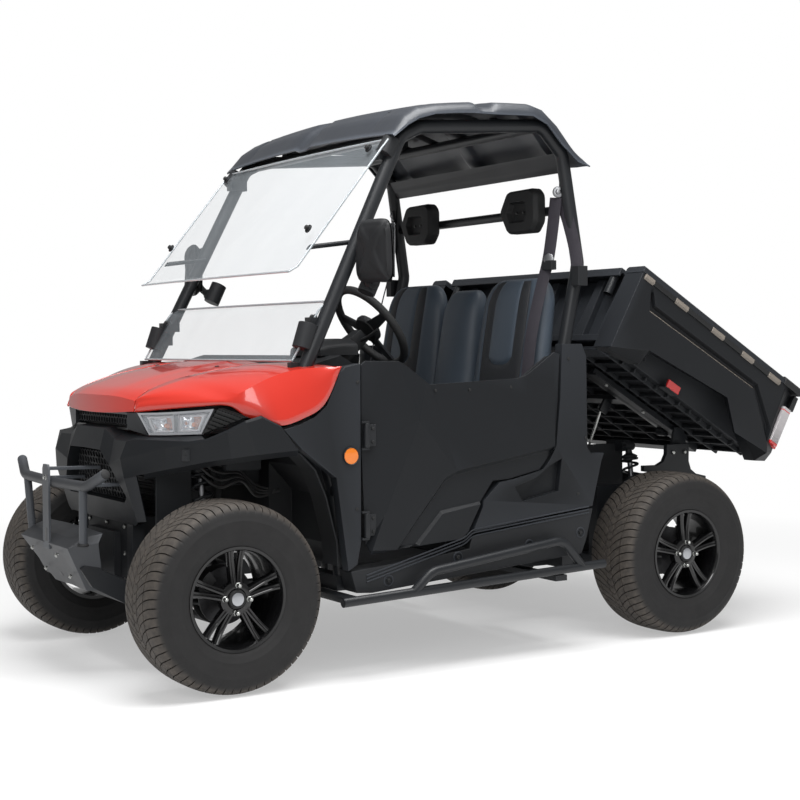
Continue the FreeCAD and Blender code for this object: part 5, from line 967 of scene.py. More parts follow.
def headlamps():
    """Each lamp: bezel, divider, tray, two bowls in pale rims, amber bulbs, side slats and a clear lens."""
    bezel = lamp_frame(0.0, 1.0, 0.0, 1.0, 0.035, 0.09, -0.001, 0.012)
    tray = lamp_frame(0.035, 0.965, 0.09, 0.91, 0.012, 0.03, 0.006, 0.052)
    divider = lamp_frame(0.47, 0.55, 0.08, 0.92, 0.012, 0.03, 0.003, 0.03)
    rim_a = lamp_frame(0.09, 0.47, 0.14, 0.84, 0.03, 0.08, 0.008, 0.03)
    rim_b = lamp_frame(0.55, 0.9, 0.14, 0.84, 0.03, 0.08, 0.008, 0.03)
    bowls = joined(reflector(0.14, 0.44, 0.2, 0.78, 0.03), reflector(0.58, 0.87, 0.2, 0.78, 0.03))
    s, t = linspace(0.03, 0.97, 20)[:, None], linspace(0.08, 0.92, 5)[None]
    lens = panel(lamp_place(s, t, 0.003), 2 * MM)
    back = panel(lamp_place(s, t, 0.05), 2 * MM)
    bulbs = []
    for at in (0.3, 0.725):
        place = lamp_place(at, 0.46, 0.036)
        bulbs.append(disc(place, (0.8, 0.58, 0.1), mm((9, 0), (9, 8), (7, 13), (3, 15)), 20))
    corner, upper, tip = mm((974, 524, 814), (938, 572, 896), (880, 643, 868)) + [MIDDLE, 0, 0]
    slats = [lofted([[corner, upper, tip], array([corner, upper, tip]) - [0.03, 0.03, 0]])]
    for share in linspace(0.25, 0.95, 6):
        line = [corner + (upper - corner) * share, corner + (tip - corner) * share]
        slats.append(swept(line, mm((-2, -2), (7, -2.5), (8, 0), (-2, 1.5))))
    shells = [[bezel, divider], [rim_a, rim_b], bowls, [tray, back, *slats], bulbs, lens]
    finishes = [
        "satin_silver", "white_lens", "metallised_reflector", "louvre_black", "amber_lens", "lamp_lens"
    ]
    shells = [both(shell) if isinstance(shell, tuple) else both(*shell) for shell in shells]
    piece("headlamp_pair", shells, finishes, ["headlamps"], angle=35)


def guard():
    """Bent top tube, uprights with collars, slotted centre bar, and a folded plate under them."""
    line = [(314, 405, 690), (338, 300, 643), (345, 0, 639), (338, -300, 643), (314, -405, 690)]
    top = tube(softened([spot(*place, FRONT) for place in line], 0.03, 8), 0.0175, 20, (0, 0, 1))
    rails, collars, bolts, dark = [top], [], [], []
    for side in (-1, 1):
        upright = [spot(332, side * 250, 452, FRONT), spot(339, side * 272, 632, FRONT)]
        rails.append(tube(upright, 0.0135, 20, (1, 0, 0)))
        foot, end = (332, side * 250, 447), (314, side * 405, 690)
        collars.append(stud(foot, (0.03, side * 0.1, 1), [(19, 0), (19, 5), (15.5, 9)], 24, FRONT))
        collars.append(stud(end, (-0.2, side * 0.9, 0.4), [(17, 0), (16.5, 2), (13, 3.6)], 20, FRONT))
        for x, z in ((374, 405), (327, 330)):
            head = [(9, 0), (9, 1.6), (6.2, 1.8), (6.2, 7), (5, 8)]
            bolts.append(stud((x, side * 120, z), (0.9, 0, 0.45), head, 6, FRONT))
        stay = [(160, 640), (335, 644), (335, 634), (160, 630)]
        rails.append(slab(stay, side * 185 - 18, side * 185 + 18, FRONT))
    outline = mm((-34, 415), (28, 415), (26, 560), (26, 684), (17, 699), (-23, 699), (-32, 684), (-32, 560))
    centre_bar = plate(outline, FRONT + 0.361, FRONT + 0.369, "yz")
    hanger = slab([(180, 676), (365, 680), (365, 690), (180, 686)], -18, 18, FRONT)
    # painted shade: the slot is a thin dark sheet on the bar's face, with no opening cut
    slot_line = mm((-9, 440), (9, 440), (9, 485), (-9, 485))
    dark.append(plate(slot_line, FRONT + 0.3685, FRONT + 0.3698, "yz"))
    bolts.append(stud((368, 0, 655), (1, 0, 0), [(10, 0), (10, 1.5), (7, 2), (7, 8), (5.5, 9)], 6, FRONT))
    places = dict(
        a=(336, 105, 462), b=(380, 115, 440), c=(380, 232, 440), d=(330, 236, 470), e=(270, 262, 486),
        f=(290, 276, 455), g=(285, 90, 283), h=(285, 150, 283), i=(235, 180, 283), a0=(330, 0, 462),
        b0=(368, 0, 436), g0=(278, 0, 283), k0=(255, 0, 486), k=(258, 105, 486),
    )
    faces = ["a0 a b b0", "a d c b", "d e f c", "b0 b g g0", "b c h g", "c f i h", "k0 k a a0", "k e d a"]
    sheet = facets(places, faces, FRONT)
    # painted shade: each notch in the plate is a thin dark sliver on its face, with no opening cut
    for side in (-1, 1):
        notch = mm((30, 312), (62, 318), (50, 345)) * [side, 1]
        front = [(FRONT + 0.2795 + (z - 0.283) * 0.5925, y, z) for y, z in notch]
        back = [(x - 0.004, y, z) for x, y, z in front]
        dark.append(lofted([[(x + 0.0022, y, z) for x, y, z in front], back]))
    arms = []
    for side in (-1, 1):
        line = [
            spot(x, side * y, z, FRONT) for x, y, z in ((166, 221, 276), (270, 205, 330), (310, 200, 380))
        ]
        arms.append(swept(line, mm((-25, -36), (25, -36), (25, 36), (-25, 36)), (0, 0, 1), [1, 0.9, 0.6]))
    piece(
        "guard_plate", both(sheet), "dark_grey_powder_coat", bevel=5, angle=12, segments=3,
        wall=4,
    )
    piece(
        "guard_tubes", [[*rails, centre_bar, hanger], arms, collars, bolts, dark],
        ["dark_grey_powder_coat", SATIN, "soft_rubber", "zinc_plate", "louvre_black"],
        ["brush_guard"],
        bevel=1.2, angle=40,
    )


def front_bay():
    """What shows through the opening and the arches: cooling core, boxes, hoses and cable runs."""
    core = box((20, -235, 520), (55, 235, 790), FRONT)
    fins = [box((55, -228, 530 + k * 10.8), (60, 228, 534 + k * 10.8), FRONT) for k in range(24)]
    places = [
        ((-300, -270, 620), (-60, 270, 800)), ((-50, 30, 660), (15, 310, 790)),
        ((-50, -310, 700), (15, -40, 790)), ((-240, 270, 680), (-110, 400, 790)),
        ((-240, -400, 680), (-110, -270, 790)), ((20, -185, 250), (150, 185, 520)),
        ((150, -120, 300), (175, 120, 470)), ((-12, 328, 470), (115, 340, 765)),
        ((-12, -340, 470), (115, -328, 765)),
    ]
    boxes = [box(low, high, FRONT) for low, high in places]
    hoses, wires, clamps = [], [], []
    for k in range(9):
        place = (150, -160 + 160 * (k % 3), 490 - 90 * (k // 3))
        clamps.append(stud(place, (1, 0, 0), [(8, 0), (8, 5), (6, 7)], 6, FRONT))
    for side in (-1, 1):
        line = [
            (30, 230, 750), (-30, 300, 720), (-100, 330, 660), (-120, 300, 580), (-80, 240, 520),
            (0, 220, 470),
        ]
        path = through([spot(x, side * y, z, FRONT) for x, y, z in line], 40)
        hoses.append(tube(path, 0.013, 14, (0, 1, 0.3)))
        for start in (4, 30):
            clamps.append(tube(path[start : start + 3], 0.0145, 14, (0, 1, 0.3)))
        for k in range(4):
            drop = 12 * k
            run = [
                (60 - drop, 340, 770), (-20, 360 - drop, 740 - drop), (-90, 375, 700 - 2 * drop),
                (-180, 350 + drop / 2, 680 - drop), (-260, 330, 620 - drop), (-340, 340, 600),
            ]
            path = through([spot(x, side * y, z, FRONT) for x, y, z in run], 36)
            wires.append(tube(path, 0.0035 + 0.0008 * k, 8, (0, 1, 0.3)))
    piece(
        "front_bay_fittings", [boxes, [core, *fins], hoses, wires, clamps],
        [BLACK, "louvre_black", "soft_rubber", "cable_sheath", "zinc_plate"],
        bevel=3, angle=50,
    )


# Cab
def rounded_bar(half_y, half_x, power, count=48):
    """A closed ring: y and x follow the cosine and sine, each raised to a power below one."""
    angle = arange(count) * 2 * pi / count
    c, s = np.cos(angle), np.sin(angle)
    return np.sign(c) * np.abs(c) ** power * half_y, np.sign(s) * np.abs(s) ** power * half_x


SEAT_STATIONS = [
    0, 0.12, 0.24, 0.33, 0.35, 0.36, 0.37, 0.39, 0.5, 0.59, 0.61, 0.62, 0.63, 0.65, 0.72, 0.8, 0.87, 0.92,
    0.96, 0.985, 1.0,
]
INNER_SEAM, OUTER_SEAM, INSET_FOOT = 0.36, 0.62, 0.42


def ridge(value, place, width):
    """A bell round a place."""
    return np.exp(-(((value - place) / width) ** 2))


def seat_back(centre, half, top, inset):
    """Crowned pad: each row is a closed ring with a full face and a flat back. Columns follow the seams, rows
    the rounded foot of the inset. The width is drawn in at the waist, and the top corners are rounded."""
    v = concatenate([
        linspace(0, 0.38, 10), [0.405, 0.415, INSET_FOOT, 0.425, 0.435], linspace(0.47, 0.8, 12)
    ])
    v = concatenate([v, linspace(0.815, 0.97, 13), [0.983, 0.992, 0.998, 1.0]])
    t = np.clip((v - 0.8) / 0.2, 0, 1)
    round_off = np.sqrt(1 - t**2)
    width = half * (0.95 + 0.05 * np.cos((v - 0.25) * 4.2)) * (1 - 0.46 * (1 - round_off))
    thick = 0.054 * np.maximum(round_off, 0.12) ** 0.6
    half_stations = array(SEAT_STATIONS)
    s = concatenate([-half_stations[:0:-1], half_stations])
    ring = concatenate([s, s[-2:0:-1]])
    face = concatenate([np.ones(len(s)), -np.ones(len(s) - 2)])
    reach = np.abs(ring)[None]
    flare = (1 + 0.2 * (v - 0.6))[:, None]
    seam = OUTER_SEAM * flare
    beyond = seam + (reach - OUTER_SEAM) * (1 - seam) / (1 - OUTER_SEAM)
    wide = np.where(reach < OUTER_SEAM, reach * flare, beyond)
    y = np.sign(ring)[None] * wide * width[:, None]
    depth = np.where(face > 0, (1 - np.abs(ring) ** 4.0) ** 0.5, -((1 - np.abs(ring) ** 7.0) ** 0.5) * 0.8)
    x = depth[None] * thick[:, None]
    crown = 0.014 * (1 - ring**2) * (face > 0) * np.sin(v * pi)[:, None] ** 0.5
    groove = 0.0
    if inset:
        inner = ridge(reach, INNER_SEAM, 0.018) * (v[:, None] >= INSET_FOOT)
        beside = ridge(reach, OUTER_SEAM, 0.018) + inner
        foot = ridge(v[:, None], INSET_FOOT, 0.008) * (reach < INNER_SEAM)
        groove = 0.0045 * np.clip(beside + foot, 0, 1) * (face > 0)
    lift = 0.055 * np.clip(reach / INNER_SEAM, 0, 1) ** 4 * interp(reach, [INNER_SEAM, OUTER_SEAM], [1, 0])
    lift = lift * interp(v, [0.15, INSET_FOOT, 0.75], [0, 1, 0])[:, None] * (1 if inset else 0)
    v_place = v[:, None] + lift
    z = 0.79 + (top - 0.79) * v_place
    middle = -0.236 - 0.085 * v_place
    grid = stack([middle + x + crown - groove, centre + y, z], -1)
    shell = lofted(grid)
    marks = np.zeros(len(shell[1]), int)
    if inset:
        between = (reach + np.roll(reach, -1, axis=1)) / 2
        level = ((v[:-1] + v[1:]) / 2)[:, None]
        band = (between < OUTER_SEAM) & ((between > INNER_SEAM) | (level < INSET_FOOT)) & (level < 0.985)
        facing = ((face > 0) & (np.roll(face, -1) > 0))[None]
        marks[: band.size] = (band & facing).ravel()
    return shell, marks


def seat_pad(low, high, crown):
    """Crowned block: a rounded plan ring carried up through the height, widest at the middle."""
    (x0, y0, z0), (x1, y1, z1) = low, high
    v = linspace(0, 1, 15)
    swell = (1 - np.abs(2 * v - 1) ** 2.6) ** 0.5
    shrink = 1 - 0.05 * (1 - swell)
    y_ring, x_ring = rounded_bar((y1 - y0) / 2, (x1 - x0) / 2, 0.3, 64)
    levels = [(share, z0 + (z1 - z0) * level) for share, level in zip(shrink, v)]
    levels += [(share, z1 + crown * (1 - share**2)) for share in (0.85, 0.65, 0.45, 0.25, 0.08)]
    x, y = (x0 + x1) / 2, (y0 + y1) / 2
    return lofted([
        stack([x + x_ring * share, y + y_ring * share, np.full(64, z)], -1) for share, z in levels
    ])


def seats():
    """Three seats, each a back and a cushion, with piping along the left edge of each back."""
    backs = {
        "left": (0.35, 0.212, 1.343, True), "middle": (0.0, 0.122, 1.312, False),
        "right": (-0.35, 0.212, 1.343, True),
    }
    for name, (centre, half, top, inset) in backs.items():
        shell, marks = seat_back(centre, half, top, inset)
        covers = ["seat_vinyl", "inset_vinyl"]
        made = piece("seat_back_" + name, shell, covers, ["seat_backs"], angle=75, marks=marks)
        pad = seat_pad((-0.235, centre - half, 0.692), (0.2, centre + half, 0.778), 0.022)
        made = piece("seat_cushion_" + name, pad, "seat_vinyl", ["seat_cushions"], angle=75)
    cord = []
    for name, (centre, half, top, inset) in backs.items():
        line = [
            (-0.3, centre - half * 0.9, 0.84), (-0.335, centre - half * 0.98, 1.1),
            (-0.345, centre - half * 0.9, 1.25),
        ]
        cord.append(tube(through(line, 12), 0.0028, 8, (1, 0, 0)))
    piece("seat_piping", cord, "soft_rubber")


def headrests():
    """A six-sided pad with a pocket in its face; the rings step from the back edge round to the pocket."""
    outline = mm((-116, 2), (-68, 80), (86, 82), (112, 58), (114, -44), (82, -83), (-66, -81))
    pocket = mm((-62, 0), (-44, 36), (46, 36), (60, 22), (60, -18), (44, -40), (-42, -40))
    for name, side in SIDES:
        centre = array([-0.318, side * 0.352, 1.596])
        rings = []
        for ring, x in ((outline * 0.9, -0.03), (outline, -0.02), (outline, 0.012), (outline * 0.9, 0.028)):
            rings.append((softened(ring, 0.013, 6, True), x))
        for ring, x in ((pocket, 0.03), (pocket * 0.86, 0.008)):
            rings.append((softened(ring, 0.006, 6, True), x))
        grid = [stack([np.full(len(ring), x), ring[:, 0], ring[:, 1]], -1) for ring, x in rings]
        shell = lofted(array(grid) + centre)
        made = piece(
            "headrest_" + name, shell, "soft_rubber", ["headrests"], bevel=3, angle=25, segments=3
        )
        eyes = []
        for y in (-0.012, 0.03):
            eyes.append(disc(centre + [0.016, y, -0.004], (1, 0, 0), mm((6, 0), (6, 3), (4, 4)), 12))
        piece("headrest_fixings_" + name, eyes, "louvre_black")


def strap(points, width, across):
    """A flat band: a thin rounded section carried along the curve, its wide side in the given direction."""
    section = array([
        (-0.5, -0.012), (-0.5, 0.012), (-0.47, 0.02), (0.47, 0.02), (0.5, 0.012), (0.5, -0.012),
        (0.47, -0.02), (-0.47, -0.02),
    ])
    path = through(array(points), 28)
    along = np.gradient(path, axis=0)
    along /= np.linalg.norm(along, axis=1, keepdims=True)
    up = np.cross(asarray(across, float), along)
    grid_up = up / np.linalg.norm(up, axis=1, keepdims=True)
    side = np.cross(along, grid_up)
    return lofted(carried(path, side, grid_up, section, width))


def belts():
    """Shoulder belts: webbing from the guide to the buckle's side and to the reel, with their fittings."""
    for name, side in SIDES:
        def at(x, y, z):
            return spot(x, side * y, z)

        run = [
            at(-432, 556, 1632), at(-420, 552, 1520), at(-402, 547, 1400), at(-366, 545, 1280),
            at(-325, 546, 1120), at(-300, 552, 960), at(-290, 560, 900),
        ]
        back = [at(-446, 566, 1632), at(-462, 592, 1540), at(-470, 620, 1440), at(-468, 634, 1375)]
        bands = [strap(line, 0.047, (-0.5, side, 0)) for line in (run, back)]
        tongue = disc(at(-396, 560, 1408), (0.75, side * 0.5, 0.05), mm((20, -2), (20, 2), (17, 3)), 20)
        buckle = block(at(-404, 560, 1378) - mm(6, 28, 10), at(-392, 560, 1392) + mm(6, 28, 10))
        profile = mm((21, -4), (21, 4), (18, 6), (9, 6), (9, 12), (6, 13))
        anchor = disc(at(-436, 565, 1652), (0.6, side * 0.8, 0), profile, 24)
        hanger = block(at(-452, 575, 1640) - mm(4, 22, 20), at(-452, 575, 1710) + mm(4, 22, 0))
        reel = block(at(-478, 636, 1345) - mm(22, 20, 36), at(-478, 636, 1345) + mm(22, 20, 36))
        piece("belt_webbing_" + name, bands, "polyester_webbing", ["seat_belts"], angle=60)
        piece(
            "belt_fittings_" + name, [[tongue, anchor], [buckle, hanger, reel]],
            ["turned_steel", BLACK], bevel=3, angle=40, segments=3,
        )


def pocket(along, across, start, slope, end):
    """Depth of a mirror's pocket at each place, from none to full; it widens outward."""
    inside = np.clip((np.abs(along) - start - slope * np.abs(across)) / 0.06, 0, 1)
    return inside * np.clip((end - np.abs(along)) / 0.05, 0, 1)


def mirror_heads():
    """Shell of a mirror: a rounded outline, domed by the sixth power, with pockets between crossed ridges."""
    for name, side in SIDES:
        a = linspace(-1, 1, 33)[:, None]
        b = linspace(-1, 1, 33)[None]
        corner = (np.abs(a) ** 5 + np.abs(b) ** 5) ** 0.2
        square = np.maximum(np.maximum(np.abs(a), np.abs(b)), 1e-6)
        u, w = a / np.maximum(corner, 1e-6) * square, b / np.maximum(corner, 1e-6) * square
        dome = 0.026 * (1 - square**6) + 0.006
        height = dome - 0.0055 * pocket(u, w, 0.22, 0.62, 0.84) - 0.0035 * pocket(w, u, 0.3, 0.75, 0.86)
        taper = 1 - 0.08 * w
        front = stack([height, u * 0.079 * taper, w * 0.103], -1)
        rim = stack([-0.022 * (1 - square**8), u * 0.079 * taper, w * 0.103], -1)
        turn, offset = Matrix.Rotation(radians(14), 3, "Z"), (0.548, 0.706, 1.404)
        head = moved(turned(joined(surface(front), surface(rim[:, ::-1])), turn), offset)
        glass = plate(mm((-66, -88), (66, -88), (66, 88), (-66, 88)), -0.0232, -0.0215, "yz")
        glass = moved(turned(glass, turn), offset)
        arm = tube(
            through(mm((500, 612, 1300), (515, 640, 1305), (535, 665, 1330), (540, 690, 1365)), 14), 0.013,
            14, (0, 0, 1),
        )
        ball = disc((0.514, 0.628, 1.302), (0.2, 1, 0), mm((20, -16), (24, -8), (24, 8), (20, 16)), 24)
        clamp = tube([(0.521, 0.6, 1.27), (0.486, 0.6, 1.342)], 0.031, 24, (0, 1, 0))
        shells = [head, glass, joined(arm, ball, clamp)]
        if side < 0:
            shells = [mirrored(shell) for shell in shells]
        piece(
            "mirror_" + name, shells, [BLACK, "metallised_reflector", BLACK],
            ["mirrors"], bevel=2, angle=45,
        )


ROOF_TOP = mm(
    (-527, 1747), (-455, 1812), (-384, 1895), (-317, 1942), (-267, 1952), (-190, 1949), (-118, 1945),
    (-96, 1926), (-44, 1921), (-22, 1938), (60, 1929), (137, 1919), (208, 1903), (258, 1870), (313, 1802),
)
ROOF_EDGE = mm(
    (-527, 1741), (-470, 1757), (-395, 1815), (-330, 1880), (-267, 1905), (-190, 1902), (-118, 1898),
    (-90, 1897), (-44, 1896), (-10, 1895), (61, 1890), (145, 1880), (212, 1860), (258, 1834), (313, 1791),
)


def roof():
    """Height over the width: a shallow crown, a channel along the middle, a bead near each side, then the
    fall to the edge; a table gives the top and edge lines along the roof."""
    index = arange(len(ROOF_TOP))
    fine = linspace(0, index[-1], 57)
    top, edge = (
        stack([interp(fine, index, column) for column in line.T], -1) for line in (ROOF_TOP, ROOF_EDGE)
    )
    half = 0.6315
    y = array([
        0, 0.024, 0.034, 0.048, 0.06, 0.14, 0.24, 0.34, 0.44, 0.452, 0.462, 0.474, 0.52, 0.56, 0.59, 0.612,
        0.625, 0.631, half,
    ])
    crown = 0.018 * (1 - (y / 0.56).clip(0, 1) ** 2)
    channel = interp(y, [0, 0.024, 0.06], [-0.02, -0.02, 0])
    bead = interp(y, [0.44, 0.452, 0.462, 0.474], [0, -0.007, -0.007, 0])
    fall = interp(y, [0.54, 0.59, 0.612, 0.625, 0.631, half], [0, 0.08, 0.22, 0.5, 0.8, 1.0])
    inside = interp(arange(57), [0, 6, 50, 56], [0.0, 1, 1, 0.0])[:, None]
    ends = interp(arange(57), [0, 3, 53, 56], [0.5, 1, 1, 0.5])[:, None]
    z = top[:, 1:] + (crown[None] + bead[None] * inside + channel[None] * ends) * (1 - fall[None])
    z = z + (edge[:, 1:] - top[:, 1:]) * fall[None]
    x = top[:, :1] + (edge[:, :1] - top[:, :1]) * fall[None]
    grid = stack([x + MIDDLE, np.broadcast_to(y, x.shape), z], -1)
    full = concatenate([grid[:, :0:-1] * [1, -1, 1], grid], axis=1)
    shell = panel(full[:, ::-1], 5 * MM)
    ribs, dark = [], []
    for y_place in (-300, -100, 100, 300):
        shares = ((-360, 1, 1893), (-200, 1.05, 1936), (-20, 1.1, 1925), (170, 1.25, 1898))
        line = [spot(x_place, y_place * share, z_place) for x_place, share, z_place in shares]
        ribs.append(swept(through(line, 16), mm((-9, -7), (-5, -11), (5, -11), (9, -7), (10, 9), (-10, 9))))
    ring = mm(
        (-260, -85), (-200, -125), (-100, -125), (-40, -85), (-40, 85), (-100, 125), (-200, 125), (-260, 85)
    )
    loop = array([(x_place + MIDDLE, y_place, 1.934) for x_place, y_place in ring])
    for a, b in zip(loop, np.roll(loop, -1, axis=0)):
        ribs.append(swept([a, b], mm((-7, -9), (7, -9), (7, 6), (-7, 6))))
    for side in (-1, 1):
        for x0, x1 in ((0.08, 0.15), (0.165, 0.215)):
            z0, z1 = interp(x0, *ROOF_TOP.T), interp(x1, *ROOF_TOP.T)
            outline = [
                (x0, 0.36, z0 + 0.012), (x0 + 0.01, 0.545, z0 - 0.0005), (x1 + 0.01, 0.52, z1 - 0.001),
                (x1, 0.38, z1 + 0.01),
            ]
            upper = [
                (x_place + MIDDLE, side * y_place, z_place + 0.0015) for x_place, y_place, z_place in outline
            ]
            lower = [(x_place, y_place, z_place - 0.006) for x_place, y_place, z_place in upper]
            dark.append(lofted([upper, lower]))
    bolts = []
    for side in (-1, 1):
        for x_place, y_place in ((-360, 520), (100, 550), (-200, 565)):
            z_place = interp(x_place * MM, *ROOF_TOP.T) / MM - 1
            profile = [(11, 0), (11, 2), (7, 4.5), (4, 5.5)]
            bolts.append(stud((x_place, side * y_place, z_place), (0, 0, 1), profile, 18))
    # the roof cap's greyer, paler colour is painted light: the look of its top lit from the sky
    piece(
        "roof_cap", [shell, dark, bolts], ["painted_skylit_polypropylene", "louvre_black", "soft_rubber"],
        ["roof"], angle=28,
    )
    piece("roof_ribs", ribs, BLACK, bevel=2, angle=30)


def edge_strips(node, line, half, bulge):
    """Painted highlight along the edges of a clear pane: a pale bead along each side and along the top and
    bottom bow.
    """
    strips = []
    line = array(line) * MM
    for side in (-1, 1):
        strips.append(tube([(MIDDLE + x, side * half, z) for x, z in line], 0.0034, 8, (0, 1, 0)))
    y = linspace(-half, half, 25)
    for x, z in (line[0], line[-1]):
        bow = bulge * (1 - (y / half) ** 2)
        strips.append(tube(stack([MIDDLE + x + bow, y, np.full(25, z)], -1), 0.0038, 8, (0, 0, 1)))
    piece(node + "_edges", strips, "pane_edge", body=body_of_node(node), angle=60)


def windshield_trim():
    """Both panes with pale beads along their edges as painted highlight, and the clamps and knobs that hold
    them.
    """
    kept_forms("windshield_lower", "windshield_upper", "windshield_brackets")
    lower = [(690, 1046), (640, 1130), (594, 1205), (580, 1222), (552, 1240)]
    upper = [(700, 1334), (668, 1352), (500, 1562), (345, 1755), (318, 1786)]
    edge_strips("windshield_lower", lower, 0.605, 0.018)
    edge_strips("windshield_upper", upper, 0.604, 0.018)
    knobs, washers = [], []
    for side in (-1, 1):
        for x, y, z in ((595, 591, 1184), (641, 598, 1114), (354, 545, 1759), (592, 553, 1479)):
            out = (0.86, 0, 0.5)
            washers.append(stud((x + 6, side * y, z), out, [(15, -3), (15, 3), (12, 4)], 22))
            knobs.append(stud((x + 9, side * y, z + 2), out, [(9, 0), (9, 8), (6, 11)], 8))
        washers.append(tube([spot(628, side * 604, 1165), spot(655, side * 606, 1085)], 0.033, 24, (0, 1, 0)))
        washers.append(tube([spot(325, side * 584, 1735), spot(290, side * 583, 1790)], 0.031, 24, (0, 1, 0)))
    piece("windshield_knobs", [washers, knobs], [BLACK, "soft_rubber"], bevel=1.5, angle=40)


def steering_and_dash():
    """Wheel rim, three spokes and hub pad in the wheel's own plane; a hooded display and blank switches."""
    centre = array([0.355, 0.355, 1.162])
    axis = array([-0.796, 0, 0.605])
    up = array([0.605, 0, 0.796])
    across = array([0, 1.0, 0])

    def on_wheel(a, b, c):
        """Places across the wheel, up it and along its axis, from its centre."""
        return centre + np.multiply.outer(a, across) + np.multiply.outer(b, up) + np.multiply.outer(c, axis)

    angle = arange(72) * 2 * pi / 72
    section = circle(0.0145, 14)
    ring = 0.16 + section[:, 0]
    rim = on_wheel(
        ring[None] * np.cos(angle)[:, None], ring[None] * np.sin(angle)[:, None],
        np.broadcast_to(section[:, 1], (72, 14)),
    )
    spokes = []
    for turn in (radians(18), radians(162), radians(270)):
        reach = linspace(0.045, 0.152, 6)
        outline = array([(-1, -0.25), (-0.8, 0.25), (0.8, 0.25), (1, -0.25)])
        wide = interp(reach, [0.045, 0.152], [0.024, 0.015])
        a = reach[:, None] * cos(turn) - wide[:, None] * outline[None, :, 0] * sin(turn)
        b = reach[:, None] * sin(turn) + wide[:, None] * outline[None, :, 0] * cos(turn)
        c = interp(reach, [0.045, 0.152], [-0.016, 0.0])[:, None] + 0.022 * outline[None, :, 1]
        spokes.append(lofted(on_wheel(a, b, c)))
    profile = mm((48, -26), (54, -14), (52, -2), (40, 6), (20, 9))
    hub = disc(centre, axis, profile, 36)
    piece(
        "steering_wheel_rim", [surface(rim, close_u=True, close_v=True), spokes, hub],
        ["soft_rubber", SATIN, BLACK], ["steering_wheel"], body="steering", bevel=1.5,
        angle=45,
    )
    kept_forms("dashboard", "steering_column")
    hood_line = [
        (0.47, 0.245, 1.062), (0.47, 0.25, 1.1), (0.47, 0.3, 1.118), (0.47, 0.41, 1.118), (0.47, 0.46, 1.1),
        (0.47, 0.465, 1.062),
    ]
    rings = []
    for dx, grow in ((0.0, 1.0), (0.05, 1.02), (0.11, 0.9), (0.15, 0.7)):
        ring = array(hood_line)
        ring[:, 2] = 1.05 + (ring[:, 2] - 1.05) * grow
        rings.append(softened(ring + [dx, 0, 0], 0.012, 4))
    pod = lofted(array(rings))
    face = plate(mm((262, 1064), (448, 1064), (442, 1096), (268, 1096)), 0.4665, 0.4695, "yz")
    knobs = []
    for k in range(4):
        knobs.append(disc(
            (0.516, -0.1 + 0.055 * k, 0.985), (-1, 0, 0.25), mm((12, 0), (12, 5), (10, 7), (8, 14)), 20
        ))
    stalk = tube(through(mm((420, 360, 1105), (405, 420, 1125), (395, 470, 1150)), 10), 0.006, 10, (0, 0, 1))
    shroud = swept(
        through(mm((395, 355, 1132), (460, 355, 1083), (530, 355, 1030)), 8),
        mm((-34, -30), (34, -30), (40, 0), (28, 30), (-28, 30), (-40, 0)), (0, 0, 1), linspace(0.8, 1.2, 8),
    )
    piece(
        "dash_fittings", [[pod, shroud], face, [*knobs, stalk]], [BLACK, "louvre_black", "soft_rubber"],
        bevel=2, angle=40,
    )


# Cargo bed: places in millimetres from the middle of the wheelbase, with the bed level
SIDE_TOP = 1060
CREASE = [(-480, 743), (-645, 821.5), (-1083, 863), (-1186, 765), (-1381, 779)]
LOWER = [(-500, 743), (-662, 771.5), (-700, 853), (-1148, 900), (-1258, 810), (-1376, 738.5)]
GROOVE = [(-543, 1022), (-578, 948), (-1193, 960.5), (-1361, 813)]
FIELD = [(-562, 1022), (-595, 982), (-1203, 990), (-1340, 885)]


def bed_side():
    """Left side skin: face, sunk channel with its ledge, upper field, under-chamfer and corner post."""
    p = {"p0": (-478, 700, SIDE_TOP), "p1": (-478, 600, SIDE_TOP), "p2": (-480, 600, 743)}
    p.update(numbered("l", [(x, 700, z) for x, z in CREASE]))
    p.update(numbered("n", [(x, 655, z) for x, z in LOWER]))
    p.update(numbered("u", [(x, 600, z) for x, z in LOWER]))
    p.update(numbered("g", [(x, 700, z) for x, z in GROOVE]))
    p.update(numbered("c", [(x, 680, z + 12) for x, z in GROOVE]))
    p.update(numbered("i", [(x, 680, z - 8) for x, z in FIELD]))
    p.update(numbered("j", [(x, 697, z) for x, z in FIELD]))
    p.update(k0=(-1341, 698, 1045), k1=(-1352, 700, 872), m0=(-1418, 664, SIDE_TOP), m1=(-1436, 664, 805))
    p.update(t0=(-543, 700, 1045), t1=(-1341, 700, SIDE_TOP), b0=(-1430, 655, 765), b1=(-1420, 604, 765))
    p.update(m2=(-1436, 604, 805), m3=(-1418, 604, SIDE_TOP))
    faces = ["p0 p1 p2 l0", "p0 l0 l1 g1 g0 t0", "l1 l2 g2 g1", "l2 l3 g3 g2", "l3 l4 g3", "t0 k0 t1 p0"]
    faces += ["g0 g1 c1 c0", "g1 g2 c2 c1", "g2 g3 c3 c2", "c0 c1 i1 i0", "c1 c2 i2 i1", "c2 c3 i3 i2"]
    faces += ["i0 i1 j1 j0", "i1 i2 j2 j1", "i2 i3 j3 j2", "t0 g0 c0 i0 j0", "t0 j0 j1 j2 k0", "k0 j2 j3 k1"]
    faces += [
        "j3 i3 c3 g3 k1", "t1 k0 k1 m0", "k1 g3 l4 m1 m0", "l0 n0 n1 l1", "l1 n1 n2", "l1 n2 n3 l2",
        "l2 n3 n4 l3",
    ]
    faces += [
        "l3 n4 n5 l4", "l4 n5 b0 m1", "n1 u1 u2 n2", "n2 u2 u3 n3", "n3 u3 u4 n4", "n4 u4 u5 n5",
        "n5 u5 b1 b0",
    ]
    faces += ["l0 p2 u0 n0", "n0 u0 u1 n1", "m0 m1 m2 m3", "m1 b0 b1 m2"]
    return facets(p, faces)


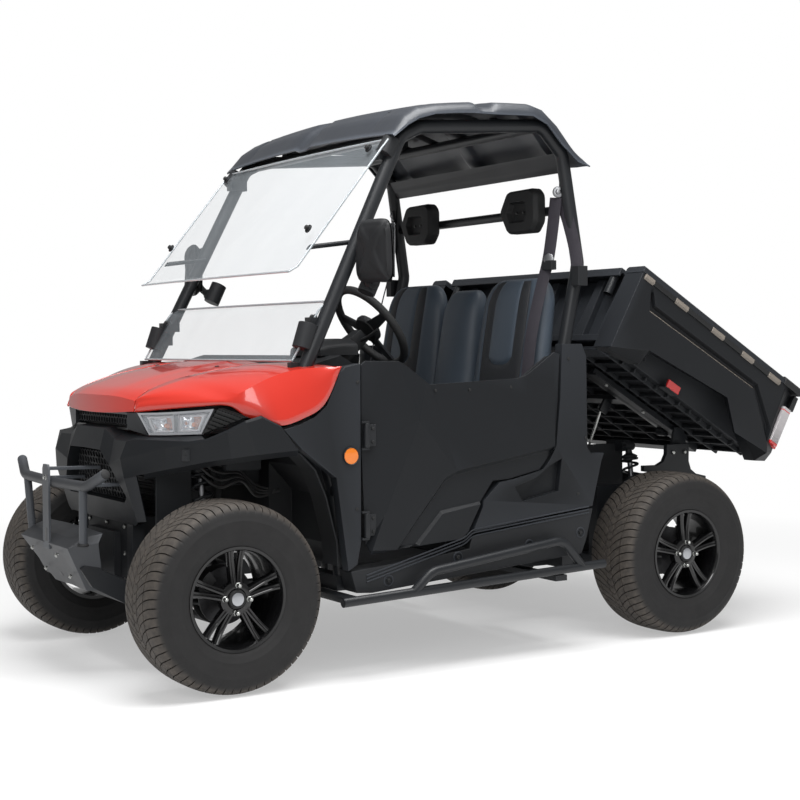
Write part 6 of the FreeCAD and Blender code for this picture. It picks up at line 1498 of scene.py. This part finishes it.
def bed_tub():
    """Liner in one shell: two walls and the floor, with ribs under and on the floor."""
    ring = [(604, 1062), (604, 780), (-604, 780), (-604, 1062), (-591, 1062), (-591, 800)]
    ring += [(591, 800), (591, 1062)]
    tub = bar(ring, -556, -1392)
    parts = [tub]
    for x in range(-580, -1361, -65):
        parts.append(box((x - 9, -585, 764), (x, 585, 781)))
    for y in range(-560, 561, 140):
        parts.append(box((-1390, y - 5, 762), (-540, y + 5, 781)))
    for y in range(-520, 521, 65):
        parts.append(box((-1385, y - 14, 799), (-560, y + 14, 807)))
    return joined(*parts)


def bed_front():
    """Front wall: sunk panel with upright ribs, a ledge, a top flange, and the stake tubes."""
    parts = [
        box((-562, -604, 745), (-546, 604, 1075)),
        box((-548, -602, 776), (-490, 602, 803)),
        box((-548, -602, 745), (-505, 602, 760)),
        box((-572, -560, 1070), (-482, 560, 1088)),
        box((-492, -560, 1054), (-482, 560, 1072)),
    ]
    for y in range(-560, 561, 140):
        rib = [(y - 28, 802), (y + 28, 802), (y + 20, 1062), (y - 20, 1062)]
        parts.append(bar(rib, -548, -520))
    stakes = []
    for side in (-1, 1):
        ring = [(17.8, 985), (17.8, 1072), (15, 1072), (15, 985)]
        stakes.append(revolved(mm(*ring), spot(-502, side * 516, 0), 24, "z"))
    return joined(*parts), joined(*stakes)


def bed_rails():
    """Top rails with their lower blocks, and black end caps."""
    section = [(703, 1058), (703, 1076), (694, 1084), (608, 1084), (599, 1076), (599, 1058)]
    rail = bar(section, -476, -1330)
    lips = []
    # the lips below the rail are painted paler: painted light on their up-facing faces
    for start in (-492, -665, -880, -1062, -1230):
        long = 50 if start == -492 else 72
        wedge = [(700, 1037), (708.5, 1044), (705.5, 1059), (690, 1059)]
        lips.append(bar(wedge, start, start - long))
    cap = [(706, 1056), (706, 1078), (694, 1090), (622, 1090), (606, 1078), (606, 1056)]
    cap_end = bar(cap, -1322, -1430)
    post = box((-1437, 640, 990), (-1414, 690, 1052))
    # painted shade: a dark strip set in the openings under the rail, between the lips
    slot = box((-1302, 690, 1040), (-540, 704.5, 1058.5))
    return both(rail), both(*lips), both(cap_end, post, slot)


def bed():
    """All pieces of the cargo bed, level; piece() raises them."""
    side = bed_side()
    # the side channel's ledges take the pale lip colour: painted light on faces that tilt up
    marks = [1 if 6 <= k <= 8 else 0 for k in range(len(side[1]))]
    piece(
        "bed_side_panels", both(side), [GRAPHITE, "worn_lip"], ["cargo_bed"], body="bed",
        bevel=2.6, angle=12, segments=3, wall=5, marks=marks * 2,
    )
    front, stakes = bed_front()
    piece(
        "bed_liner", [bed_tub(), front], [BLACK, GRAPHITE], ["cargo_bed"], body="bed",
        bevel=2.5, angle=40,
    )
    piece("bed_stake_tubes", stakes, SATIN, body="bed", bevel=0.6)
    rail, lips, caps = bed_rails()
    piece(
        "bed_top_rails", [rail, lips, caps], [GRAPHITE, "worn_lip", "louvre_black"],
        ["cargo_bed"], body="bed", bevel=1.8, angle=30, segments=2,
    )
    lens, red = [], []
    for z0, z1, group in ((822, 833, red), (833, 968, lens), (968, 972, red), (972, 984, lens)):
        group.append(box((-1413, 655, z0), (-1372, 703, z1)))
        group.append(box((-1437, 624, z0), (-1405, 676, z1)))
    hooks = joined(
        box((-906, 600, 770), (-832, 640, 778)),
        box((-700, 596, 806), (-690, 640, 816)),
        box((-906, 628, 770), (-832, 636, 808)),
    )
    reflector_plate = box((-903, 635, 774), (-835, 643, 804))
    piece(
        "bed_tail_lamps", [both(*lens), both(*red)], ["white_lens", "red_lens"], ["tail_lamps"],
        body="bed", bevel=1.5, angle=40, segments=3,
    )
    piece(
        "bed_side_markers", [both(reflector_plate), both(hooks)], ["red_lens", SATIN], body="bed",
        bevel=1.0, angle=40,
    )
    angles = joined(box((-1240, 372, 738), (-680, 392, 764)), box((-1240, 372, 734), (-680, 412, 740)))
    bolts = [stud((x, 395, 734.5), (0, 0, -1), [(8, 0), (8, 6), (6, 7.5)], 6) for x in (-760, -980, -1180)]
    piece(
        "bed_under_angles", [both(angles), both(*bolts)], [SATIN, "zinc_plate"], body="bed",
        bevel=1.0, angle=40,
    )
    gate_panel()


def gate_panel():
    """Tailgate: pressed sheet with a stiff border, three ribbed fields, a paddle latch and a hinge sleeve."""
    half = 582
    parts = [box((-1428, -half, 812), (-1398, half, 1046))]
    for low, high in ((812, 842), (1018, 1052)):
        parts.append(box((-1436, -half, low), (-1426, half, high)))
    for y in (-560, -200, 200, 560):
        parts.append(box((-1436, y - 22, 840), (-1426, y + 22, 1020)))
    for centre in (-380, 0, 380):
        for k in range(5):
            z = 864 + 32 * k
            reach = 135 if centre else 150
            parts.append(box((-1432, centre - reach, z - 6), (-1427, centre + reach, z + 6)))
    shell = joined(*parts)
    paddle = joined(box((-1437, -80, 965), (-1430, 80, 1010)), box((-1437.5, -62, 975), (-1434, 62, 990)))
    sleeve = tube([spot(-1421, y, 822) for y in (-half + 30, half - 30)], 0.0125, 20, (1, 0, 0))
    piece(
        "tailgate_pressed", [shell, [paddle, sleeve]], [GRAPHITE, "louvre_black"], ["tailgate"],
        body="gate", bevel=2.0, angle=40,
    )


def rear_frame_trim():
    """Hinge plates over the rear wheels, dark splash plates beside the drive, and the bolts on them."""
    outline = [
        (-949, 599), (-1279, 545), (-1279, 566), (-1225, 578), (-1198, 597), (-1186, 630), (-1187, 700),
        (-1069, 700), (-1068, 662), (-1052, 634), (-1020, 620), (-949, 621),
    ]
    hinge_plate = slab(outline, 436, 456)
    splash = [(-640, 430), (-960, 470), (-1000, 560), (-1012, 640), (-1000, 698), (-640, 698)]
    inner = slab(splash, 238, 256)
    wall = box((-660, -170, 440), (-640, 170, 698))
    bolts = [
        stud((x, 456, z), (0, 1, 0), [(9, 0), (9, 6), (6.5, 8)], 6) for x, z in ((-1100, 668), (-1160, 668))
    ]
    piece(
        "rear_frame_plates", [both(hinge_plate), joined(both(inner), wall), both(*bolts)],
        [SATIN, BLACK, "zinc_plate"], bevel=1.5, angle=40,
    )


# Doors and side panels: places in millimetres from the middle of the wheelbase
DOOR_EDGE = {
    "A": (476, 682, 1030), "B": (460.6, 682, 1044), "C": (334.1, 687, 1042.4), "D": (315.8, 689, 1034.9),
    "E": (210.4, 690, 963.1), "F": (-155.6, 692, 978.7), "G": (-196.4, 694, 991.2),
    "H": (-312.4, 696, 1069.1), "I": (-337.6, 697, 1062.4), "J": (-326.7, 700, 893.5),
    "K": (-308.2, 700, 731.5), "L": (-270.6, 694, 676.7), "N": (-249.8, 694, 654.6),
    "O": (-118.7, 694, 628.1), "P": (-46.5, 694, 625.2), "Q": (5.1, 694, 556.9), "R": (11.5, 700, 544.4),
    "S": (60.3, 700, 457.5), "T": (87.5, 700, 433.8), "U": (362.7, 700, 416.1), "V": (442.6, 686, 403.6),
    "W": (463.9, 684, 439.1), "X": (476.5, 682, 746.5),
}
DOOR_CREASE = [(226.9, 965.3), (264.8, 844.2), (402.2, 539.7), (453.3, 421.4)]
DOOR_RIDGE = [(-308.6, 735), (113.9, 668.3), (160, 648.3), (220.9, 578.9), (355.4, 416.6)]
DOOR_CHANNEL = [(11.4, 554.1), (171.8, 531.7), (274, 428.2)]


def door_skin():
    """Left door: front band to the crease, main field to the ridge, sunk field under it, lower channel."""
    p = dict(DOOR_EDGE)
    p.update(numbered("c", [(x, 711, z) for x, z in DOOR_CREASE]))
    p.update(numbered("r", [(x, 708, z) for x, z in DOOR_RIDGE]))
    p.update(c0=(226.9, 697, 965.3))
    p.update(numbered("s", [(x - 6, 694, z - 14) for x, z in DOOR_RIDGE]))
    p.update(s0=(-304, 694, 722), s4=(344, 694, 417.6))
    p.update(numbered("g", [(x, 694, z + 4) for x, z in DOOR_CHANNEL]))
    p.update(numbered("h", [(11.6, 704, 548), (169, 704, 524), (264, 704, 425)]))
    faces = [
        "A B C c1 X", "C D E c0 c1", "X c1 c2 W", "W c2 c3 V", "c0 E r1 c1", "E F r0 r1", "F G H I J K r0"
    ]
    faces += [
        "c1 r1 r2 r3 c2", "c2 r3 r4 c3", "c3 r4 U V", "r0 r1 s1 s0", "r1 r2 s2 s1", "r2 r3 s3 s2",
        "r3 r4 s4 s3",
    ]
    faces += [
        "K r0 s0 L", "s0 s1 P O N L", "s1 s2 g1 g0 Q P", "s2 s3 g2 g1", "s3 s4 g2", "g0 g1 h1 h0",
        "g1 g2 h2 h1",
    ]
    faces += ["Q g0 h0 R", "h0 h1 h2 T S R", "s4 r4 U", "g2 s4 U T h2"]
    return facets(p, faces)


def doors():
    """Each door with its inner sheet, hinge barrels and straps, and the bolts that hold them."""
    outer = door_skin()
    ring = array(list(DOOR_EDGE.values()))[:, ::2]
    inner_ring = ring.mean(0) + (ring - ring.mean(0)) * 0.955
    inner = slab(inner_ring, 664, 674)
    pocket = [(-260, 790), (180, 770), (230, 900), (-270, 910)]
    inner = joined(inner, slab(pocket, 656, 666))
    pin = 467
    hinge, bolts = [], []
    for low in (465, 760):
        barrel = [(9.8, low), (10.2, low + 2), (10.2, low + 78), (9.8, low + 80), (5, low + 80), (5, low)]
        hinge.append(revolved(mm(*barrel), spot(pin, 702, 0), 24, "z"))
        hinge.append(box((pin - 36, 695.5, low + 4), (pin - 4, 700, low + 76)))
        for z in (low + 18, low + 62):
            bolts.append(stud((pin - 24, 700, z), (0, 1, 0), [(6.2, 0), (6.2, 3), (4.5, 4.6)], 6))
    for x, z in ((-125, 948), (50, 942), (190, 942)):
        bolts.append(stud((x, 688, z), (0, 1, 0), [(5.5, 0), (5.5, 7), (4, 8.5)], 20))
    for node, body, side in (("door_left", "door_l", 1), ("door_right", "door_r", -1)):
        flip = (lambda shell: shell) if side > 0 else mirrored
        piece(
            node + "_skin", flip(outer), GRAPHITE, [node], body=body, bevel=2.6, angle=7,
            segments=3, wall=12,
        )
        piece(
            node + "_lining", [flip(inner), flip(joined(*hinge)), flip(joined(*bolts))],
            [BLACK, SATIN, "soft_rubber"], body=body, bevel=1.2, angle=40,
        )


def side_details():
    """Amber reflectors in their rings, ribs and bolt pockets along the sills, and clips on the panels."""
    lens, rings, ribs, bolts = [], [], [], []
    lens.append(stud((527.7, 700.5, 735.4), (0, 1, 0), [(26.8, 0), (26.8, 3.5), (25.5, 5.2), (12, 6.2)], 48))
    ring = [(26.8, 700), (26.8, 705.8), (27.8, 706.6), (29.2, 705.8), (29.8, 700)]
    rings.append(revolved(mm(*ring), spot(527.7, 0, 735.4), 48, "y"))
    for drop in (0, 11, 22):
        line = [(470, 340 - drop), (75, 437 - drop), (45, 462 - drop), (-470, 512 - drop)]
        ribs.append(tube(softened([spot(x, 700, z) for x, z in line], 0.02, 6), 0.0028, 8, (0, 1, 0)))
    for x, z in ((385, 316), (105, 372), (-200, 392), (-430, 420)):
        ribs.append(stud((x, 699.5, z), (0, 1, 0), [(20, 0), (19, 2), (14, 2.1), (13.5, 0.6)], 28))
        bolts.append(stud((x, 700, z), (0, 1, 0), [(7, 0), (7, 4), (5, 5.5)], 6))
    for x, z in ((500, 975), (505, 560), (-375, 1045), (-455, 760), (-420, 560)):
        bolts.append(stud((x, 698.5, z), (0, 1, 0), [(6.2, 0), (6.2, 3), (4, 4.2)], 20))
    piece(
        "side_reflector_lenses", [both(*lens), both(*rings)], ["amber_lens", "louvre_black"],
        ["side_reflectors"],
    )
    piece("side_panel_details", [both(*ribs), both(*bolts)], [GRAPHITE, "soft_rubber"])


# Springs: each coil-over leans in from the lower arm to its tower
SPRING_AXES = {
    "front": ((FRONT - 0.055, 0.375, 0.268), (FRONT - 0.055, 0.31, 0.725)),
    "rear": ((REAR - 0.055, 0.375, 0.268), (REAR - 0.055, 0.31, 0.69)),
}


def springs():
    """Coil: a thin round wire carried along a helix about the damper's axis, with closed end turns."""
    wires, bodies, bright = [], [], []
    for low, high in SPRING_AXES.values():
        low, high = array(low), array(high)
        along = (high - low) / np.linalg.norm(high - low)
        long = np.linalg.norm(high - low)
        first = array([1.0, 0, 0])
        second = np.cross(along, first)
        share = linspace(0, 1, 240)
        turn = share * 8.5 * 2 * pi
        rise = interp(share, [0, 0.09, 0.91, 1], [0.14, 0.16, 0.86, 0.88])
        around = first * np.cos(turn)[:, None] + second * np.sin(turn)[:, None]
        path = low + along * (rise * long)[:, None] + 0.03 * around
        wires.append(swept(path, circle(0.0052, 10), along))
        profile = [(0.012, 0.02), (0.012, 0.1), (0.034, 0.112), (0.034, 0.128), (0.021, 0.132), (0.021, 0.48)]
        profile += [
            (0.0225, 0.49), (0.0225, 0.51), (0.01, 0.52), (0.01, 0.86), (0.03, 0.885), (0.033, 0.905),
            (0.014, 0.93), (0.012, 0.97),
        ]
        bodies.append(disc(low, along, [(radius, place * long) for radius, place in profile], 28))
        bright.append(disc(low, along, [(0.0104, 0.53 * long), (0.0104, 0.84 * long)], 20))
        for point in (low, high):
            eye = [
                (0.008, -0.022), (0.017, -0.022), (0.018, -0.019), (0.018, 0.019), (0.017, 0.022),
                (0.008, 0.022),
            ]
            bodies.append(revolved(eye, point, 24, "x"))
    piece(
        "coil_springs", [both(*wires), both(*bodies), both(*bright)],
        [SATIN, BLACK, "turned_steel"], ["shocks"], angle=40,
    )


# Parts that keep their solid's form, with rounded edges
KEPT_GROUPS = [
    (BLACK, "black_plastic", 2.0, "wheel_liners"),
    (BLACK, "black_plastic", 3.0, "battery_pack cab_floor"),
    (BLACK, "black_plastic", 4.0, "seat_base"),
    (BLACK, "black_plastic", 5.0, "dashboard"),
    (BLACK, "graphite", 2.5, "sills"),
    (GRAPHITE, "graphite", 2.5, "cowl_panels rear_corner_panels"),
    (SATIN, "black_frame", 1.0, "door_hinges front_arms headrest_bar panel_brackets rear_arms"),
    (SATIN, "black_frame", 1.0, "roll_cage steering_column step_bars strut_barrel strut_bracket"),
    (SATIN, "black_frame", 1.0, "windshield_brackets"),
    (SATIN, "black_frame", 1.5, "bed_subframe hitch_receiver"),
    (SATIN, "black_frame", 2.0, "chassis_frame"),
    ("cast_iron", "cast", 1.5, "steering_rack"),
    ("cast_iron", "cast", 2.0, "knuckle_left knuckle_right rear_carriers"),
    ("cast_iron", "cast", 4.0, "drive_unit"),
    ("turned_steel", "steel", 0.8, "steering_rods"),
    ("turned_steel", "steel", 1.0, "half_shafts"),
    ("zinc_plate", "zinc", 0.5, "strut_rod"),
    ("clear_polycarbonate", "clear", 0.0, "windshield_lower windshield_upper"),
]
KEPT_FORMS = {node: row[:3] for row in KEPT_GROUPS for node in row[3].split()}
SHAPED_ELSEWHERE = {
    "windshield_lower", "windshield_upper", "windshield_brackets", "dashboard", "steering_column"
}


def kept_forms(*nodes):
    """Rounded copies of the named solids, each in its own finish."""
    for node in nodes:
        material, slot, bevel = KEPT_FORMS[node]
        shaped = moulded(node, material, bevel)
        if node == "panel_brackets":
            for vertex in shaped.data.vertices:
                if vertex.co.x > FRONT:
                    vertex.co.z -= 0.05


# Floor, light and camera
CAMERA_PLACE = (3.12, 4.899, 1.084)
CAMERA_AZIMUTH = radians(-122.261)
CAMERA_ELEVATION = radians(-2.178)
CAMERA_ROLL = radians(-0.229)
CAMERA_LENS = 67.576


def stage_floor(colour):
    """A wide white floor: it keeps the shadow, and to the camera and in gloss it is nearly white."""
    made, tree, shader = new_material("painted_studio_floor")
    fill(tree, shader, {"Base Color": linear(colour), "Roughness": 0.8, "Specular IOR Level": 0.1})
    path = add(tree, "ShaderNodeLightPath").outputs
    seen = reckon(tree, "MAXIMUM", path["Is Camera Ray"], path["Is Glossy Ray"])
    seen = reckon(tree, "MAXIMUM", seen, path["Is Transmission Ray"])
    place = add(tree, "ShaderNodeTexCoord").outputs["Object"]
    reach = add(tree, "ShaderNodeVectorMath", {0: place}, operation="LENGTH").outputs["Value"]
    share = reckon(tree, "MULTIPLY", seen, ranged(tree, reach, 0.42, 1.0, 1.6, 4.5))
    glow = add(tree, "ShaderNodeEmission", {"Color": (1, 1, 1, 1), "Strength": 1.0}).outputs["Emission"]
    mixed = add(tree, "ShaderNodeMixShader", {0: share, 1: shader.outputs["BSDF"], 2: glow})
    tree.links.new(mixed.outputs["Shader"], tree.nodes["Material Output"].inputs["Surface"])
    mesh = bpy.data.meshes.new("studio_floor")
    size = 40.0
    mesh.from_pydata(
        [(-size, -size, 0), (size, -size, 0), (size, size, 0), (-size, size, 0)], [], [(0, 1, 2, 3)]
    )
    mesh.materials.append(made)
    linked("studio_floor", mesh)


def lamp(name, place, aim, energy, size):
    """A broad lamp aimed at a point."""
    data = bpy.data.lights.new(name, "AREA")
    data.energy = energy
    data.shape = "RECTANGLE"
    data.size, data.size_y = size
    obj = linked(name, data)
    obj.location = place
    obj.rotation_euler = (Vector(aim) - Vector(place)).to_track_quat("-Z", "Y").to_euler()


def studio_light(level):
    """A white surround at a plain level, white to the camera, with one broad lamp above."""
    world = bpy.data.worlds.new("studio")
    bpy.context.scene.world = world
    world.use_nodes = True
    tree = world.node_tree
    background = tree.nodes["Background"]
    path = add(tree, "ShaderNodeLightPath").outputs
    seen = reckon(tree, "MAXIMUM", path["Is Camera Ray"], path["Is Transmission Ray"])
    tree.links.new(ranged(tree, seen, level, 1.0), background.inputs["Strength"])
    background.inputs["Color"].default_value = (1, 1, 1, 1)
    lamp("overhead_softbox", (0.4, 1.2, 4.6), (0.1, 0.0, 0.8), 330, (4.0, 3.0))
    lamp("left_softbox", (3.4, 4.4, 3.0), (0.2, 0.3, 0.8), 70, (2.4, 2.0))


def studio_camera():
    """The photograph's view: place, direction and roll, with the small shift of its frame."""
    data = bpy.data.cameras.new("camera")
    data.sensor_fit = "HORIZONTAL"
    data.sensor_width = 36.0
    data.lens = CAMERA_LENS
    data.shift_x = 0.00558
    data.shift_y = 0.00706
    data.clip_end = 100
    toward = Vector(
        (
            cos(CAMERA_ELEVATION) * cos(CAMERA_AZIMUTH),
            cos(CAMERA_ELEVATION) * sin(CAMERA_AZIMUTH),
            sin(CAMERA_ELEVATION),
        )
    )
    right = toward.cross(Vector((0, 0, 1))).normalized()
    over = right.cross(toward)
    right_rolled = right * cos(CAMERA_ROLL) + over * sin(CAMERA_ROLL)
    over_rolled = over * cos(CAMERA_ROLL) - right * sin(CAMERA_ROLL)
    turn = Matrix((right_rolled, over_rolled, -toward)).transposed()
    camera = linked("camera", data)
    camera.matrix_world = Matrix.Translation(CAMERA_PLACE) @ turn.to_4x4()
    bpy.context.scene.camera = camera


# Add-on
class VehicleSizes(bpy.types.PropertyGroup):
    lug_count: bpy.props.IntProperty(
        name="Tread lugs", description="Lugs round each tyre", default=64, min=24, max=90
    )
    groove_depth: bpy.props.FloatProperty(
        name="Groove depth", description="Depth of the tread's grooves", default=0.0075, unit="LENGTH"
    )
    spoke_count: bpy.props.IntProperty(
        name="Spoke pairs", description="Pairs of spokes in each rim", default=5, min=3, max=9
    )


class StudioColours(bpy.types.PropertyGroup):
    hood: bpy.props.StringProperty(
        name="Hood", description="Hex colour of the glossy hood panels", default="#C12714"
    )
    panels: bpy.props.StringProperty(
        name="Panels", description="Hex colour of the matt body panels", default="#191B1E"
    )
    seats: bpy.props.StringProperty(
        name="Seats", description="Hex colour of the seat covers", default="#46505B"
    )
    floor: bpy.props.StringProperty(
        name="Floor", description="Hex colour of the studio floor", default="#F4F4F4"
    )
    light_level: bpy.props.FloatProperty(
        name="Surround light", description="Brightness of the white surround", default=0.32, subtype="FACTOR"
    )


class VEHICLE_OT_stage(bpy.types.Operator):
    """Lay the floor and set the lamps, the surround and the camera"""

    bl_idname = "vehicle.stage"
    bl_label = "Stage and camera"

    def execute(self, context):
        context.scene.view_settings.view_transform = "Standard"
        stage_floor(context.scene.studio_colours.floor)
        studio_light(context.scene.studio_colours.light_level)
        studio_camera()
        return {"FINISHED"}


class VEHICLE_OT_wheels(bpy.types.Operator):
    """Make the treaded tyres, spoked rims and brakes"""

    bl_idname = "vehicle.wheels"
    bl_label = "Wheels"

    def execute(self, context):
        sizes = context.scene.vehicle_sizes
        tyres(sizes)
        rims(sizes)
        brakes()
        return {"FINISHED"}


class VEHICLE_OT_front(bpy.types.Operator):
    """Make the hood, fascia, grilles, headlamps, guard and what shows behind them"""

    bl_idname = "vehicle.front"
    bl_label = "Front body"

    def execute(self, context):
        for make in (fascia, grilles, hood, hood_sides, headlamps, guard, front_bay):
            make()
        return {"FINISHED"}


class VEHICLE_OT_cab(bpy.types.Operator):
    """Make the seats, headrests, belts, mirrors, steering wheel, dash and clear panels"""

    bl_idname = "vehicle.cab"
    bl_label = "Cab"

    def execute(self, context):
        for make in (seats, headrests, belts, mirror_heads, steering_and_dash, windshield_trim):
            make()
        return {"FINISHED"}


class VEHICLE_OT_roof(bpy.types.Operator):
    """Make the roof cap and its ribs"""

    bl_idname = "vehicle.roof"
    bl_label = "Roof"

    def execute(self, context):
        roof()
        return {"FINISHED"}


class VEHICLE_OT_bed(bpy.types.Operator):
    """Make the raised cargo bed, its tailgate, lamps, and the frame plates under it"""

    bl_idname = "vehicle.bed"
    bl_label = "Cargo bed"

    def execute(self, context):
        bed()
        rear_frame_trim()
        return {"FINISHED"}


class VEHICLE_OT_sides(bpy.types.Operator):
    """Make the doors, the reflectors and the details of the side panels"""

    bl_idname = "vehicle.sides"
    bl_label = "Doors and sides"

    def execute(self, context):
        doors()
        side_details()
        return {"FINISHED"}


class VEHICLE_OT_springs(bpy.types.Operator):
    """Wind the coil springs on their dampers"""

    bl_idname = "vehicle.springs"
    bl_label = "Springs"

    def execute(self, context):
        springs()
        return {"FINISHED"}


class VEHICLE_OT_kept(bpy.types.Operator):
    """Round the edges of the plain parts and give them their finishes"""

    bl_idname = "vehicle.kept"
    bl_label = "Plain parts"

    def execute(self, context):
        kept_forms(*sorted(set(KEPT_FORMS) - SHAPED_ELSEWHERE))
        return {"FINISHED"}


class VEHICLE_PT_panel(bpy.types.Panel):
    bl_idname = "VEHICLE_PT_panel"
    bl_label = "Vehicle"
    bl_space_type = "VIEW_3D"
    bl_region_type = "UI"
    bl_category = "Vehicle"

    def draw(self, context):
        for settings in (context.scene.vehicle_sizes, context.scene.studio_colours):
            for name in settings.__annotations__:
                self.layout.prop(settings, name)
        for operator in OPERATORS:
            self.layout.operator(operator.bl_idname)


OPERATORS = (
    VEHICLE_OT_stage, VEHICLE_OT_kept, VEHICLE_OT_wheels, VEHICLE_OT_front, VEHICLE_OT_cab, VEHICLE_OT_roof,
    VEHICLE_OT_bed, VEHICLE_OT_sides, VEHICLE_OT_springs,
)
CLASSES = (VehicleSizes, StudioColours, *OPERATORS, VEHICLE_PT_panel)


def register():
    for one in CLASSES:
        bpy.utils.register_class(one)
    bpy.types.Scene.vehicle_sizes = bpy.props.PointerProperty(type=VehicleSizes)
    bpy.types.Scene.studio_colours = bpy.props.PointerProperty(type=StudioColours)


def unregister():
    del bpy.types.Scene.vehicle_sizes
    del bpy.types.Scene.studio_colours
    for one in reversed(CLASSES):
        bpy.utils.unregister_class(one)


def main():
    register()
    for operator in OPERATORS:
        area, name = operator.bl_idname.split(".")
        getattr(getattr(bpy.ops, area), name)()


if __name__ == "__main__":
    main()
